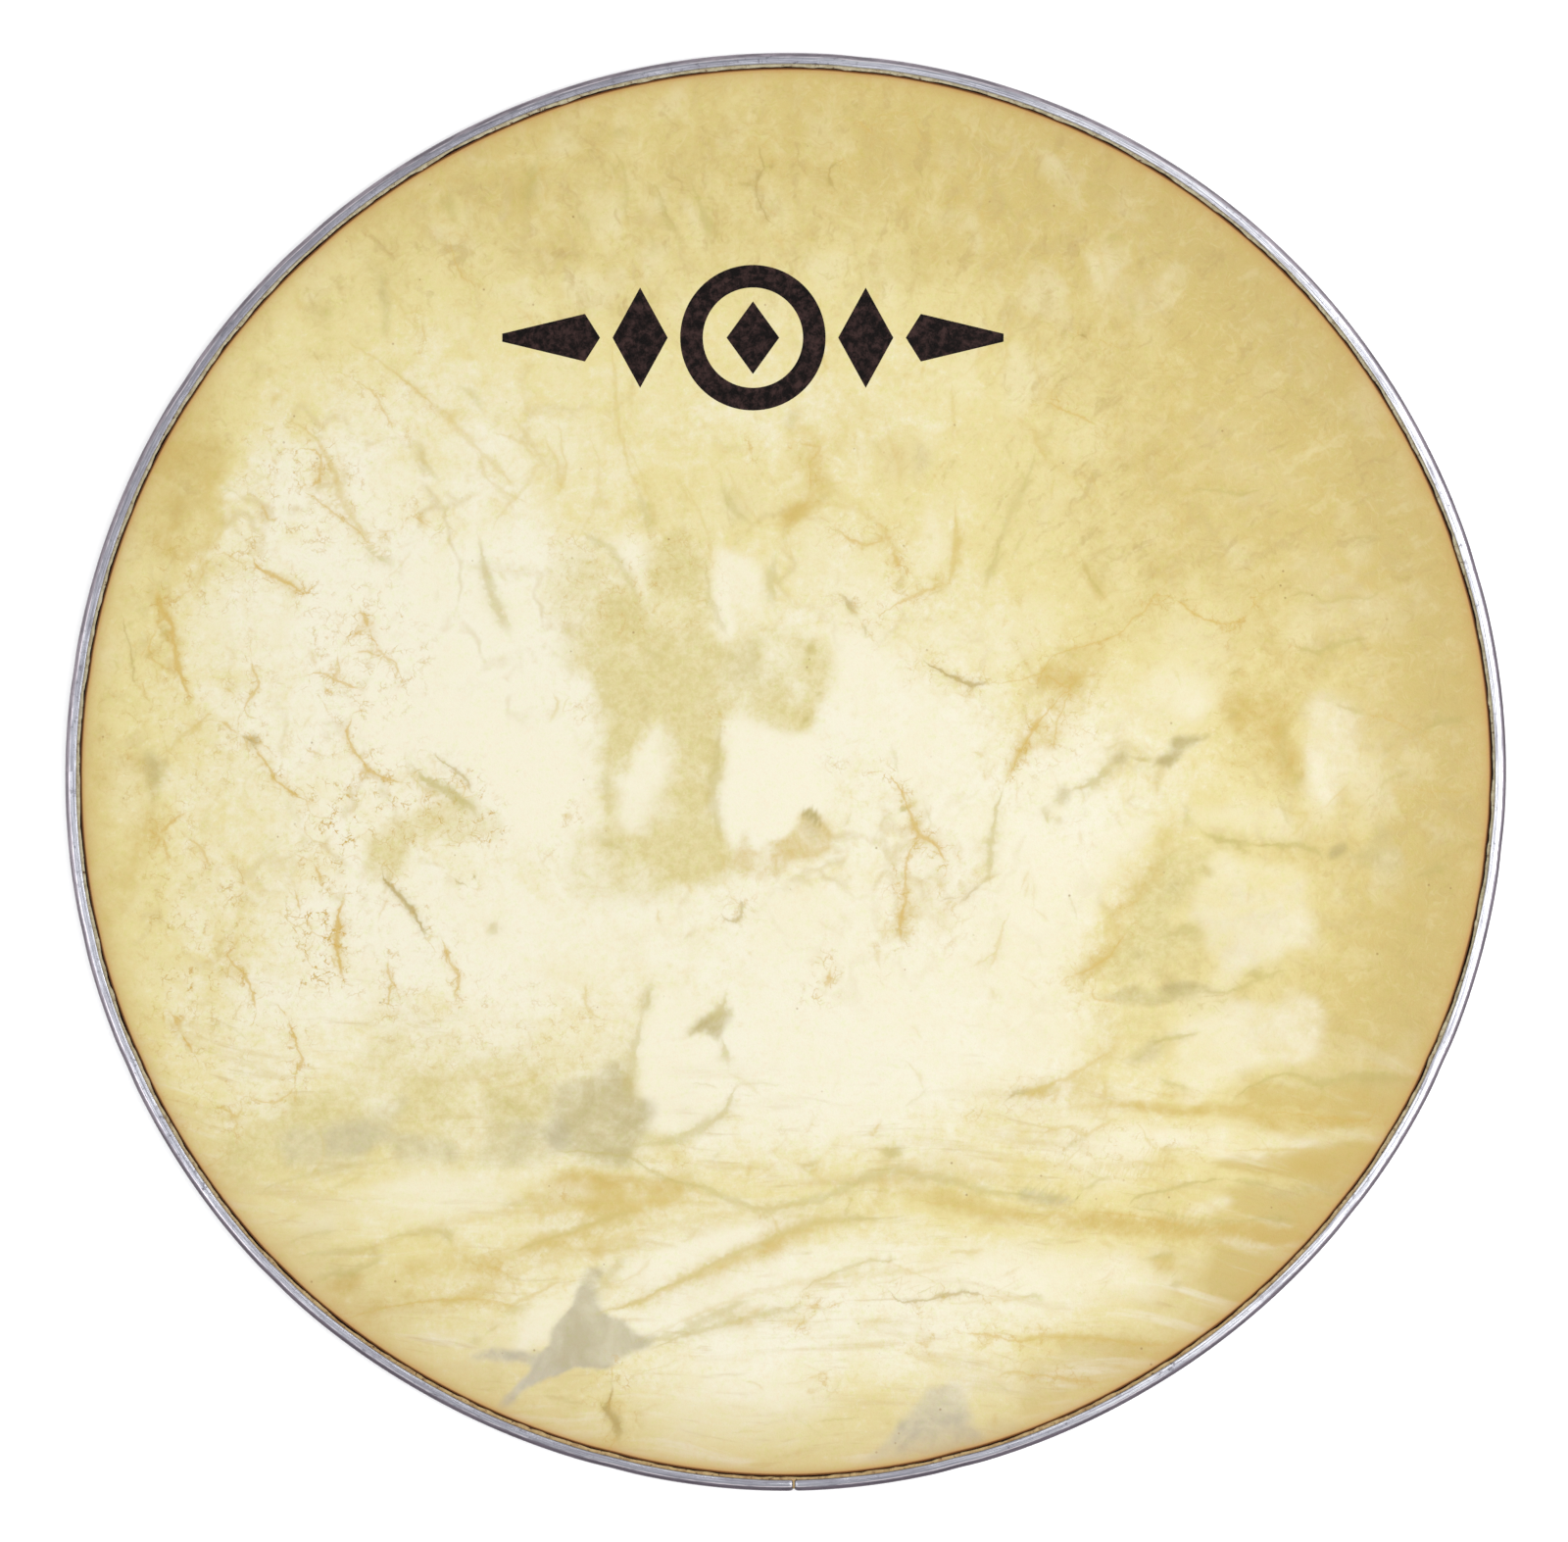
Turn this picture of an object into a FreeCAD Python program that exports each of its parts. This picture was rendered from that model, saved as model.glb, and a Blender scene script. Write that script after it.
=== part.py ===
import FreeCAD, Part
import math
import os

# Natural-skin drumhead for a 22 inch shell, lying with its playing face up.
# A hide is lapped round a welded wire ring and the lap is crimped inside a thin
# metal channel whose two ends meet at a butt joint.
#
# Frame: origin at the centre of the hoop's underside, +Z up through the playing
# face, +Y towards the printed mark. The butt joint of the channel is on -Y.
# All lengths in millimetres.

V = FreeCAD.Vector

# ---- driving dimensions -----------------------------------------------------
HOOP_OUTER_R = 287.0        # outside of the channel
SHELL_BORE_R = 279.7        # inside of the channel: slides over a 22 in (558.8) shell
HOOP_HEIGHT = 8.0           # underside of the channel to its crown
SHEET_T = 0.6               # sheet metal of the channel
BOTTOM_CORNER_R = 1.2       # outside radius of the two lower bends
CROWN_CORNER_R = 2.0        # outside radius of the upper bend
LIP_INNER_R = 282.5         # how far the folded crown reaches inwards
INNER_WALL_TOP = 5.0        # top of the inner wall, which carries the skin
JOINT_GAP = 0.8             # gap between the two ends of the channel
JOINT_ANGLE = -89.34        # where that gap is, seen from above, degrees from +X

SKIN_T = 0.9                # thickness of the dried hide
FLAP_INNER_R = 280.8        # knife-trimmed edge of the lap
FLAP_TOP = 7.38             # the lap lies just under the folded crown

WIRE_D = 4.24               # welded steel wire that the hide is lapped round
CLEAR = 0.02                # air left between curved faces that only touch

SECTORS = 4                 # rings are built from this many equal sectors

INK_T = 0.05                # thickness of the printed ink
MARK_X, MARK_Y = -13.0, 173.0   # centre of the printed mark on the playing face

# ---- derived ----------------------------------------------------------------
WALL_IN = SHELL_BORE_R + SHEET_T            # channel's inner wall, side facing the wire
WALL_OUT = HOOP_OUTER_R - SHEET_T           # channel's outer wall, side facing the wire
MID_R = 0.5 * (WALL_IN + WALL_OUT)          # centreline of wire and lap
SKIN_OUT_R = 0.5 * (WALL_OUT - WALL_IN) - CLEAR   # outer radius of the lap's bend
SKIN_IN_R = SKIN_OUT_R - SKIN_T                   # inner radius, facing the wire
WIRE_Z = SHEET_T + CLEAR + SKIN_OUT_R       # height of the wire's centre
SKIN_BOTTOM = INNER_WALL_TOP + CLEAR        # underside of the stretched skin
SKIN_TOP = SKIN_BOTTOM + SKIN_T             # playing face
FLAP_BOTTOM = FLAP_TOP - SKIN_T


class Profile:
    """A closed outline in the r-z half plane, made of lines and arcs."""

    def __init__(self, r, z):
        self.start = self.at = (r, z)
        self.edges = []

    def _v(self, p):
        return V(p[0], 0, p[1])

    def line(self, r, z):
        if math.hypot(r - self.at[0], z - self.at[1]) > 1e-7:
            self.edges.append(Part.LineSegment(self._v(self.at), self._v((r, z))).toShape())
            self.at = (r, z)
        return self

    def arc(self, centre, radius, a0, a1):
        """Arc about centre from angle a0 to a1 in degrees (0 along +r, 90 along +z).
        Bends are made of equal arcs of up to 30 degrees; the tiny rounded edges are one arc each."""
        pieces = max(1, round(abs(a1 - a0) / 30.0)) if radius > 0.5 else 1
        step = (a1 - a0) / pieces
        for k in range(pieces):
            b = a0 + k * step
            p = [(centre[0] + radius * math.cos(math.radians(a)),
                  centre[1] + radius * math.sin(math.radians(a))) for a in (b, b + 0.5 * step, b + step)]
            self.line(*p[0])
            self.edges.append(Part.Arc(*[self._v(q) for q in p]).toShape())
            self.at = p[2]
        return self

    def face(self):
        self.line(*self.start)
        return Part.Face(Part.Wire(self.edges))


def revolve(face, angle=360.0, parts=SECTORS):
    """One solid swept about +Z, with its surfaces parted at equal angles so that every
    edge of the ring is divided alike and the thin walls keep their thickness when meshed."""
    step = angle / parts
    sectors = []
    for k in range(parts):
        s = face.revolve(V(0, 0, 0), V(0, 0, 1), step)
        s.rotate(V(0, 0, 0), V(0, 0, 1), k * step)
        sectors.append(s)
    solid = sectors[0].fuse(sectors[1:])
    assert len(solid.Solids) == 1
    return solid.Solids[0]


def export(name, shape):
    for s in shape.Solids:
        assert s.isValid() and s.Volume > 0, name
    shape.exportStep(os.path.join("parts", name + ".step"))
    print(name, "solids", len(shape.Solids), "volume cm3", round(shape.Volume / 1000.0, 2),
          "z", round(shape.BoundBox.ZMin, 2), round(shape.BoundBox.ZMax, 2))


# ---- hoop channel: rolled strip, open only between lip and inner wall --------
def hoop_channel():
    t, rb, rc = SHEET_T, BOTTOM_CORNER_R, CROWN_CORNER_R
    half = t / 2.0
    p = Profile(SHELL_BORE_R, rb)
    # lower inside bend, floor, lower outside bend, outer wall, crown bend
    p.arc((SHELL_BORE_R + rb, rb), rb, 180, 270)
    p.arc((HOOP_OUTER_R - rb, rb), rb, 270, 360)
    p.arc((HOOP_OUTER_R - rc, HOOP_HEIGHT - rc), rc, 0, 90)
    # rounded edge of the folded lip
    p.arc((LIP_INNER_R + half, HOOP_HEIGHT - half), half, 90, 270)
    # back along the inside of the sheet
    p.arc((HOOP_OUTER_R - rc, HOOP_HEIGHT - rc), rc - t, 90, 0)
    p.arc((HOOP_OUTER_R - rb, rb), rb - t, 0, -90)
    p.arc((SHELL_BORE_R + rb, rb), rb - t, 270, 180)
    # rounded top edge of the inner wall, where the skin turns down
    p.arc((SHELL_BORE_R + half, INNER_WALL_TOP - half), half, 0, 180)
    gap_deg = math.degrees(JOINT_GAP / MID_R)
    ring = revolve(p.face(), 360.0 - gap_deg)
    ring.rotate(V(0, 0, 0), V(0, 0, 1), JOINT_ANGLE + gap_deg / 2.0)
    return ring


# ---- core ring: round steel wire, butt welded into a closed ring -------------
def core_ring():
    return Part.makeTorus(MID_R, WIRE_D / 2.0, V(0, 0, WIRE_Z), V(0, 0, 1))


# ---- the hide: playing face, lap round the wire, trimmed flap -----------------
def batter_skin():
    wall_c = (SHELL_BORE_R + SHEET_T / 2.0, INNER_WALL_TOP - SHEET_T / 2.0)
    r_in = SHEET_T / 2.0 + CLEAR
    r_out = r_in + SKIN_T
    fold_c = (HOOP_OUTER_R - CROWN_CORNER_R, FLAP_TOP - (CROWN_CORNER_R - SHEET_T - CLEAR))
    fold_out = CROWN_CORNER_R - SHEET_T - CLEAR
    fold_in = fold_out - SKIN_T
    edge = SKIN_T / 2.0
    lap = (MID_R, WIRE_Z)
    p = Profile(0.0, SKIN_BOTTOM)
    # underside of the playing face, over the inner wall and down into the channel
    p.line(wall_c[0], SKIN_BOTTOM)
    p.arc(wall_c, r_in, 90, 0)
    p.line(MID_R - SKIN_OUT_R, WIRE_Z)
    # under the wire and up the outer wall
    p.arc(lap, SKIN_OUT_R, 180, 360)
    p.line(fold_c[0] + fold_out, fold_c[1])
    # folded inwards under the crown, to the trimmed edge
    p.arc(fold_c, fold_out, 0, 90)
    p.line(FLAP_INNER_R + edge, FLAP_TOP)
    p.arc((FLAP_INNER_R + edge, FLAP_TOP - edge), edge, 90, 270)
    # back along the inner surface of the lap
    p.line(fold_c[0], FLAP_BOTTOM)
    p.arc(fold_c, fold_in, 90, 0)
    p.line(fold_c[0] + fold_in, WIRE_Z)
    p.arc(lap, SKIN_IN_R, 0, -180)
    p.line(wall_c[0] + r_out, wall_c[1])
    p.arc(wall_c, r_out, 0, 90)
    p.line(0.0, SKIN_TOP)
    return revolve(p.face())


# ---- printed mark: a plain ornament in black ink on the playing face ---------
def poly(points):
    pts = [V(MARK_X + x, MARK_Y + y, SKIN_TOP) for x, y in points]
    return Part.Face(Part.makePolygon(pts + [pts[0]])).extrude(V(0, 0, INK_T))


def disc(x, y, r):
    return Part.makeCylinder(r, INK_T, V(MARK_X + x, MARK_Y + y, SKIN_TOP))


def printed_mark():
    solids = [disc(0, 0, 29.0).cut(disc(0, 0, 20.0))]
    solids.append(poly([(0, 14.5), (10.5, 0), (0, -14.5), (-10.5, 0)]))
    for s in (-1, 1):
        solids.append(poly([(s * 34, 0), (s * 45, 20), (s * 56, 0), (s * 45, -20)]))
        solids.append(poly([(s * 61, 0), (s * 67, 9.5), (s * 100, 1.6), (s * 100, -1.6), (s * 67, -9.5)]))
    return Part.makeCompound(solids)


os.makedirs("parts", exist_ok=True)
nodes = {
    "hoop_channel": hoop_channel(),
    "core_ring": core_ring(),
    "batter_skin": batter_skin(),
    "printed_mark": printed_mark(),
}
for node, solid in nodes.items():
    export(node, solid)
names = list(nodes)
for i, a in enumerate(names):
    for b in names[i + 1:]:
        common = nodes[a].common(nodes[b])
        if common.Volume > 1e-6:
            print("overlap", a, b, common.Volume)
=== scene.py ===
import math

import bpy
import numpy as np
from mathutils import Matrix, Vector


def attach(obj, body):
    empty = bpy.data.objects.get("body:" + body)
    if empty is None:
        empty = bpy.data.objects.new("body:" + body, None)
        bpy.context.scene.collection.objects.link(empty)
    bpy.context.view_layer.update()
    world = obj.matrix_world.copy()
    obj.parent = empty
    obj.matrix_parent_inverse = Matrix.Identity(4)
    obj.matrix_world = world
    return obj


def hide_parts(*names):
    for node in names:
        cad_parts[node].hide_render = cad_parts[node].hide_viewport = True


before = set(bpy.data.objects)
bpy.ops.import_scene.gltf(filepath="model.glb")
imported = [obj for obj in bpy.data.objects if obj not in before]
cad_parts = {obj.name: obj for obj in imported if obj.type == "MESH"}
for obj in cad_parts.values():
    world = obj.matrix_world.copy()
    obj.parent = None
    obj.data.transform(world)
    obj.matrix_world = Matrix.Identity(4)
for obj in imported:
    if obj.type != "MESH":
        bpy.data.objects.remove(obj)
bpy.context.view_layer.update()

MM = 0.001

# Natural-skin drumhead: hide stretched over a channel hoop, lapped round a wire and
# crimped in. All pieces are drawn in millimetres here and scaled to metres once.
WALL_IN, WALL_OUT, MID_R = 280.3, 286.4, 283.35
WIRE_R, WIRE_Z = 2.12, 3.65
SKIN_T, SKIN_TOP = 0.9, 5.92
BEND_C = (280.0, 4.70)          # rounded top edge of the channel's inner wall
JOINT = math.radians(-89.34)    # butt joint of the channel
JOINT_GAP = 0.8
MARK = (-13.0, 173.0)


# ---------------------------------------------------------------- numeric noise
def noise2(x, y, size, seed, octaves=3, gain=0.5):
    """Smooth lattice noise, about -1..1, whose largest lumps are size mm across."""
    total, amp, norm = np.zeros_like(x, float), 1.0, 0.0
    for o in range(octaves):
        rng = np.random.default_rng(seed * 101 + o)
        grid = rng.uniform(-1, 1, (128, 128))
        u, v = x / size + 37.3 * o + 64, y / size + 11.9 * o + 64
        i, j = np.floor(u).astype(int), np.floor(v).astype(int)
        fu, fv = u - i, v - j
        fu, fv = fu ** 3 * (fu * (fu * 6 - 15) + 10), fv ** 3 * (fv * (fv * 6 - 15) + 10)
        g = lambda a, b: grid[(i + a) % 128, (j + b) % 128]
        total += amp * ((g(0, 0) * (1 - fu) + g(1, 0) * fu) * (1 - fv) + (g(0, 1) * (1 - fu) + g(1, 1) * fu) * fv)
        norm += amp
        amp *= gain
        size *= 0.5
    return total / norm * 1.6


def step(a, b, v):
    t = np.clip((v - a) / (b - a), 0, 1)
    return t * t * (3 - 2 * t)


# The hoop was bent by hand rollers, so it is out of round by about a millimetre.
# Radius error in mm every 15 degrees, anticlockwise from +X.
OUT_OF_ROUND = [0.56, 0.44, 0.29, 0.56, 0.56, 0.09, -0.46, -0.42, -0.73, -0.77, -0.54, -0.14,
                0.32, 1.03, 1.07, 1.30, -0.07, -0.57, -0.03, -0.65, -1.12, -0.77, 0.05, 0.25]
_deg = np.arange(0, 360, 0.5)
_err = np.interp(_deg, np.arange(0, 361, 15), OUT_OF_ROUND + OUT_OF_ROUND[:1])
_ker = np.exp(-0.5 * (np.arange(-12, 13) / 5.0) ** 2)
_err = np.convolve(np.r_[_err[-12:], _err, _err[:12]], _ker / _ker.sum(), "valid")
# Small dents left by the crimping tool: angle, inward depth in mm, half width in degrees.
for a, d, w in [(-6, .22, 1.6), (-24, .28, 1.3), (-38, .2, 1.5), (-76, .25, 1.2), (-104, .22, 1.4), (-135, .2, 1.5),
                (-156, .25, 1.3), (-167, .18, 1.2), (172, .22, 1.3), (147, .25, 1.4), (132, .18, 1.5), (84, .22, 1.3), (16, .2, 1.5)]:
    _err -= d * np.exp(-(((_deg - a + 180) % 360 - 180) / w) ** 2)


def round_error(phi):
    return np.interp(np.degrees(phi) % 360, np.r_[_deg, 360.0], np.r_[_err, _err[0]])


def shape_xy(r, phi):
    """The drawn radius and angle to the bent hoop's x and y; the middle of the skin stays."""
    r = r + round_error(phi) * step(190, 279, r)
    return r * np.cos(phi), r * np.sin(phi)


# ---------------------------------------------------------------- mesh helpers
def make_mesh(name, verts, faces, material, smooth=True):
    me = bpy.data.meshes.new(name)
    me.from_pydata([tuple(v) for v in np.asarray(verts, float) * MM], [], [tuple(int(i) for i in f) for f in faces])
    me.validate()
    me.update()
    me.materials.append(material)
    if smooth:
        me.polygons.foreach_set("use_smooth", np.ones(len(me.polygons), bool))
    ob = bpy.data.objects.new(name, me)
    bpy.context.scene.collection.objects.link(ob)
    return ob


def outward(ob):
    """Turns the faces of a closed mesh to face outwards."""
    import bmesh
    bm = bmesh.new()
    bm.from_mesh(ob.data)
    bmesh.ops.recalc_face_normals(bm, faces=bm.faces)
    bm.to_mesh(ob.data)
    bm.free()


def spline(points, spacing):
    """Catmull-Rom curve through the points, sampled about every spacing mm."""
    p = np.asarray(points, float)
    if len(p) == 2:
        n = max(2, int(np.hypot(*(p[1] - p[0])) / spacing) + 1)
        return p[0] + (p[1] - p[0]) * np.linspace(0, 1, n)[:, None]
    q = np.vstack([2 * p[0] - p[1], p, 2 * p[-1] - p[-2]])
    out = []
    for i in range(1, len(q) - 2):
        n = max(1, int(np.hypot(*(q[i + 1] - q[i])) / spacing) + 1)
        t = np.linspace(0, 1, n, endpoint=False)[:, None]
        a, b, c, d = q[i - 1], q[i], q[i + 1], q[i + 2]
        out.append(0.5 * (2 * b + (c - a) * t + (2 * a - 5 * b + 4 * c - d) * t ** 2 + (3 * b - a - 3 * c + d) * t ** 3))
    return np.vstack(out + [p[-1:]])


def arc(c, r, a0, a1, n):
    a = np.radians(np.linspace(a0, a1, n))
    return [(c[0] + r * math.cos(t), c[1] + r * math.sin(t)) for t in a]


# PATTERN-BEGIN
STROKES = [
    ("dark", 4.29, 0.473, [(-134.3, 233.4), (-134.3, 227.5), (-131.2, 220.9)]), ("dark", 5.72, 0.43, [(-98.7, 249), (-100.3, 239.3), (-102.2, 233.4), (-103.8, 223.6)]),
    ("dark", 2.86, 0.258, [(-115.9, 245.1), (-115.1, 235.3)]), ("vein", 1.17, 0.475, [(-133.9, 213.8), (-133.1, 206.8), (-130.4, 200.2), (-126.1, 193.1)]),
    ("dark", 6.68, 0.301, [(-174.6, 215.8), (-172.6, 209.9), (-166.8, 205.2), (-162.9, 200.2), (-160.1, 190.4), (-158.9, 182.6), (-157.8, 172.8)]),
    ("dark", 4.77, 0.43, [(-189.4, 181.8), (-184.4, 183.3), (-178.5, 184.9)]), ("tan", 2.35, 0.38, [(-196.1, 192.3), (-192.2, 182.6)]),
    ("tan", 3.13, 0.4275, [(-176.5, 172.8), (-157, 159.9), (-137.4, 143.5), (-121.8, 127.8), (-106.2, 112.2)]), ("vein", 0.78, 0.38, [(-157, 159.9), (-139.4, 145.4)]),
    ("tan", 2.35, 0.38, [(-160.9, 198.2), (-149.2, 178.6), (-141.3, 172.8)]), ("dark", 6.68, 0.301, [(-210.9, 168.9), (-205.9, 159.1), (-202, 147.4), (-200, 141.5)]),
    ("tan", 3.91, 0.57, [(-200, 141.5), (-188.3, 133.7), (-182.4, 123.9), (-178.5, 114.1), (-174.6, 104.4), (-165.6, 90.7)]),
    ("vein", 1.17, 0.665, [(-196.1, 127.8), (-188.3, 128.6), (-185.5, 123.9), (-186.3, 116.1), (-190.2, 113.4), (-193, 116.1)]),
    ("vein", 1.17, 0.57, [(-192.2, 112.2), (-184.4, 106.3), (-176.5, 100.4), (-166.8, 92.6)]), ("vein", 1.56, 0.475, [(-204.7, 125.9), (-203.1, 122)]),
    ("vein", 1.56, 0.57, [(-209.8, 108.3), (-205.9, 100.4), (-202, 101.2)]), ("vein", 1.17, 0.475, [(-188.3, 98.5), (-185.1, 93.4)]),
    ("tan", 3.13, 0.475, [(-229.3, 123.9), (-230.5, 104.4)]), ("vein", 1.17, 0.475, [(-173.8, 157.1), (-164.8, 151.3), (-160.1, 143.5), (-156.2, 135.6)]),
    ("dark", 3.34, 0.344, [(-147.2, 132.9), (-144.5, 123.9), (-137.4, 114.1)]),
    ("dark", 4.29, 0.344, [(-133.5, 154.4), (-126.5, 152.1), (-121.8, 145.4), (-119.8, 141.5)]), ("tan", 1.96, 0.38, [(-117.9, 135.6), (-106.2, 131.7), (-99.5, 124.7)]),
    ("vein", 1.96, 0.57, [(-149.2, 104.4), (-145.3, 100.4), (-141.3, 97.3)]), ("vein", 1.17, 0.475, [(-162.9, 95.8), (-155, 95.8)]),
    ("vein", 0.78, 0.475, [(-145.3, 180.6), (-143.3, 170.8)]), ("tan", 1.96, 0.38, [(-123.4, 127.8), (-117.9, 116.1), (-102.2, 106.3)]),
    ("tan", 1.96, 0.38, [(-96.4, 133.7), (-91.7, 123.9), (-89.7, 112.2)]),
    ("vein", 2.74, 0.855, [(-251.2, 73.9), (-250.8, 69.9), (-248.5, 64.5), (-246.1, 60.6), (-243.8, 57.4), (-244.6, 53.5), (-243, 46.5), (-242.2, 41.8), (-240.3, 35.9), (-237.1, 28.5)]),
    ("vein", 1.17, 0.57, [(-250.8, 57.4), (-252.8, 52.7), (-254, 47.7), (-251.6, 43.8), (-246.9, 41), (-243.8, 41.8)]),
    ("dark", 3.82, 0.43, [(-254.7, 47.7), (-253.2, 45.3)]), ("vein", 0.78, 0.38, [(-252.4, 43.8), (-250.8, 37.9), (-250, 34)]),
    ("crack", 1.17, 0.475, [(-264.5, 63.3), (-263.3, 55.5), (-261.4, 47.7), (-260.2, 39.8), (-259.4, 34)]),
    ("vein", 0.78, 0.475, [(-235.2, 74.6), (-239.1, 71.5), (-243, 68.4), (-244.2, 65.3)]), ("vein", 1.96, 0.475, [(-235.2, 74.6), (-232.1, 78.9), (-233.2, 82.9)]),
    ("vein", 0.78, 0.38, [(-229.3, 86.8), (-223.5, 87.5), (-217.6, 82.9), (-213.7, 84)]),
    ("vein", 2.35, 0.855, [(-213.3, 86.8), (-210.9, 81.7), (-205.9, 78.9), (-202, 77), (-198, 75), (-193, 71.1)]),
    ("dark", 4.29, 0.516, [(-170.7, 91.5), (-165.6, 87.9), (-160.1, 84.8), (-155.4, 80.9)]),
    ("dark", 5.25, 0.559, [(-123, 95.4), (-120.6, 84.8), (-117.9, 73.1), (-114, 63.3), (-109.3, 53.5)]),
    ("vein", 1.56, 0.76, [(-170.3, 66), (-167.9, 62.1), (-167.2, 58.2), (-169.9, 55.5), (-174.2, 52.7)]),
    ("vein", 1.17, 0.57, [(-167.2, 58.2), (-164, 51.6), (-160.1, 45.7), (-156.2, 43.8), (-153.1, 37.9)]),
    ("vein", 1.17, 0.57, [(-172.6, 46.5), (-166.8, 48.1), (-160.1, 44.9)]), ("vein", 1.17, 0.57, [(-178.5, 48.1), (-178.5, 41.8), (-180.4, 37.1)]),
    ("vein", 1.17, 0.665, [(-192.2, 37.9), (-186.3, 39.1), (-180.4, 37.1), (-175.8, 34.8), (-169.5, 32.4)]), ("vein", 1.17, 0.57, [(-184.4, 34), (-179.7, 30.8)]),
    ("vein", 1.56, 0.665, [(-213.3, 45.7), (-212.5, 41), (-210.2, 36.3), (-210.9, 32.4), (-214.1, 28.5), (-215.6, 24.2)]),
    ("vein", 1.17, 0.57, [(-224.6, 33.2), (-221.5, 32.4), (-219.5, 30.1)]), ("vein", 1.17, 0.38, [(-229.3, 24.2), (-233.2, 20.3), (-237.1, 16.4)]),
    ("vein", 1.17, 0.57, [(-226.6, 20.3), (-221.5, 17.6), (-217.6, 14.4)]), ("crack", 2.74, 0.855, [(-217.6, 15.2), (-214.9, 13.3), (-208.6, 11.3)]),
    ("vein", 1.37, 0.76, [(-211.3, 9.7), (-209.4, 5.8), (-205.9, 0.7), (-202.3, -4.3), (-196.1, -9), (-189.8, -12.2)]),
    ("vein", 1.56, 0.76, [(-173.4, 22.2), (-174.6, 16.4), (-173.4, 10.5), (-169.5, 4.7), (-164.8, -0.4), (-158.9, -2.8), (-152.3, -4.3)]),
    ("vein", 0.78, 0.475, [(-168.7, -5.1), (-169.5, -1.2), (-166.8, 0.7)]), ("vein", 1.17, 0.475, [(-192.2, 10.5), (-189, 7.4), (-184.4, 6.6)]),
    ("vein", 0.78, 0.475, [(-184.4, 28.1), (-182.4, 23)]),
    ("dark", 4.77, 0.774, [(-149.6, 3.9), (-147.6, -0.4), (-143.3, -3.2), (-137.4, -6.7), (-131.6, -9.8), (-125.7, -13.7), (-121.8, -18.8)]),
    ("crack", 1.56, 0.57, [(-141.3, 7.4), (-137.4, 4.7), (-132.7, 1.5), (-127.7, -3.2), (-124.9, -8.3)]),
    ("crack", 2.35, 0.855, [(-160.9, -38.7), (-159.7, -43.4), (-156.2, -47.4), (-152.3, -51.3), (-148.4, -56), (-145.3, -61.8), (-143.7, -66.9)]),
    ("vein", 1.56, 0.665, [(-137.4, -65.7), (-135.5, -71.6), (-132.7, -77.5), (-130.4, -83.3), (-132.4, -91.1)]),
    ("crack", 0.78, 0.57, [(-132.7, -42.3), (-129.6, -44.2), (-126.5, -46.2)]), ("crack", 1.56, 0.665, [(-124.5, -41.5), (-123.4, -42.7)]),
    ("dark", 4.77, 0.516, [(-118.7, -65.7), (-115.9, -61.8), (-114.8, -59.1)]),
    ("vein", 1.96, 0.76, [(-238.7, -16.1), (-243, -18.8), (-246.9, -21.5), (-248.9, -25.5), (-251.6, -31.7)]),
    ("vein", 1.56, 0.665, [(-248.9, -25.5), (-246.9, -30.5), (-246.1, -37.2)]), ("vein", 1.56, 0.57, [(-239.1, -25.5), (-234, -29.4), (-231.3, -34.4), (-228.5, -39.5)]),
    ("dark", 6.68, 0.387, [(-253.6, 8.6), (-252.8, -1.2), (-252.8, -11)]),
    ("tan", 2.35, 0.475, [(-250.8, 4.7), (-245, 9.7), (-241.1, 13.6), (-235.2, 17.6), (-230.5, 22.2)]),
    ("tan", 1.96, 0.38, [(-254.7, -12.9), (-255.5, -22.7), (-258.6, -30.5), (-260.6, -40.3), (-264.5, -50.1)]),
    ("vein", 2.35, 0.9025, [(-176.5, -50.1), (-178.1, -56), (-178.9, -61.8), (-178.9, -69.6), (-177.7, -77.5), (-176.5, -83.3)]),
    ("vein", 1.56, 0.76, [(-189, -35.6), (-186.3, -40.3), (-184.4, -46.2)]), ("vein", 0.78, 0.475, [(-196.1, -32.5), (-189, -35.6)]),
    ("vein", 1.17, 0.665, [(-196.1, -46.2), (-194.9, -52), (-193.7, -56.7)]),
    ("vein", 1.56, 0.76, [(-223.5, -70.8), (-221.5, -75.5), (-216.4, -80.2), (-213.7, -85.3), (-212.5, -90.4), (-210.9, -95.1)]),
    ("vein", 1.37, 0.665, [(-158.2, -74.7), (-158.6, -79.4), (-157, -83.3), (-155.4, -87.2)]), ("vein", 1.17, 0.665, [(-158.9, -95.1), (-158.2, -88.8), (-157, -83.3)]),
    ("tan", 2.35, 0.475, [(-93.6, 32.8), (-91.3, 28.1), (-92.5, 23), (-95.2, 19.1)]),
    ("vein", 0.63, 0.4275, [(-200, -57.9), (-195.3, -61.8), (-191.4, -59.9), (-187.5, -64.6), (-182.4, -66.9)]),
    ("vein", 0.63, 0.38, [(-196.1, -69.6), (-191.4, -72.4), (-189, -77.5), (-184.4, -79.4)]), ("vein", 0.63, 0.38, [(-187.5, -64.6), (-189, -69.6), (-191.4, -72.4)]),
    ("vein", 0.63, 0.3325, [(-196.1, -5.1), (-191.4, -9.8), (-189.8, -16.1), (-184.4, -18.8), (-178.5, -17.6)]),
    ("vein", 0.63, 0.3325, [(-180.4, -5.1), (-174.6, -9.8), (-167.9, -8.3)]), ("vein", 0.63, 0.38, [(-189.8, -16.1), (-192.2, -22.7), (-187.5, -27.8), (-180.4, -29.4)]),
    ("vein", 0.63, 0.3325, [(-149.2, -2), (-144.5, -7.1), (-145.3, -13.7), (-139.4, -18.8)]), ("vein", 0.63, 0.3325, [(-178.5, -36.4), (-171.8, -33.3), (-167.9, -37.2)]),
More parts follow.
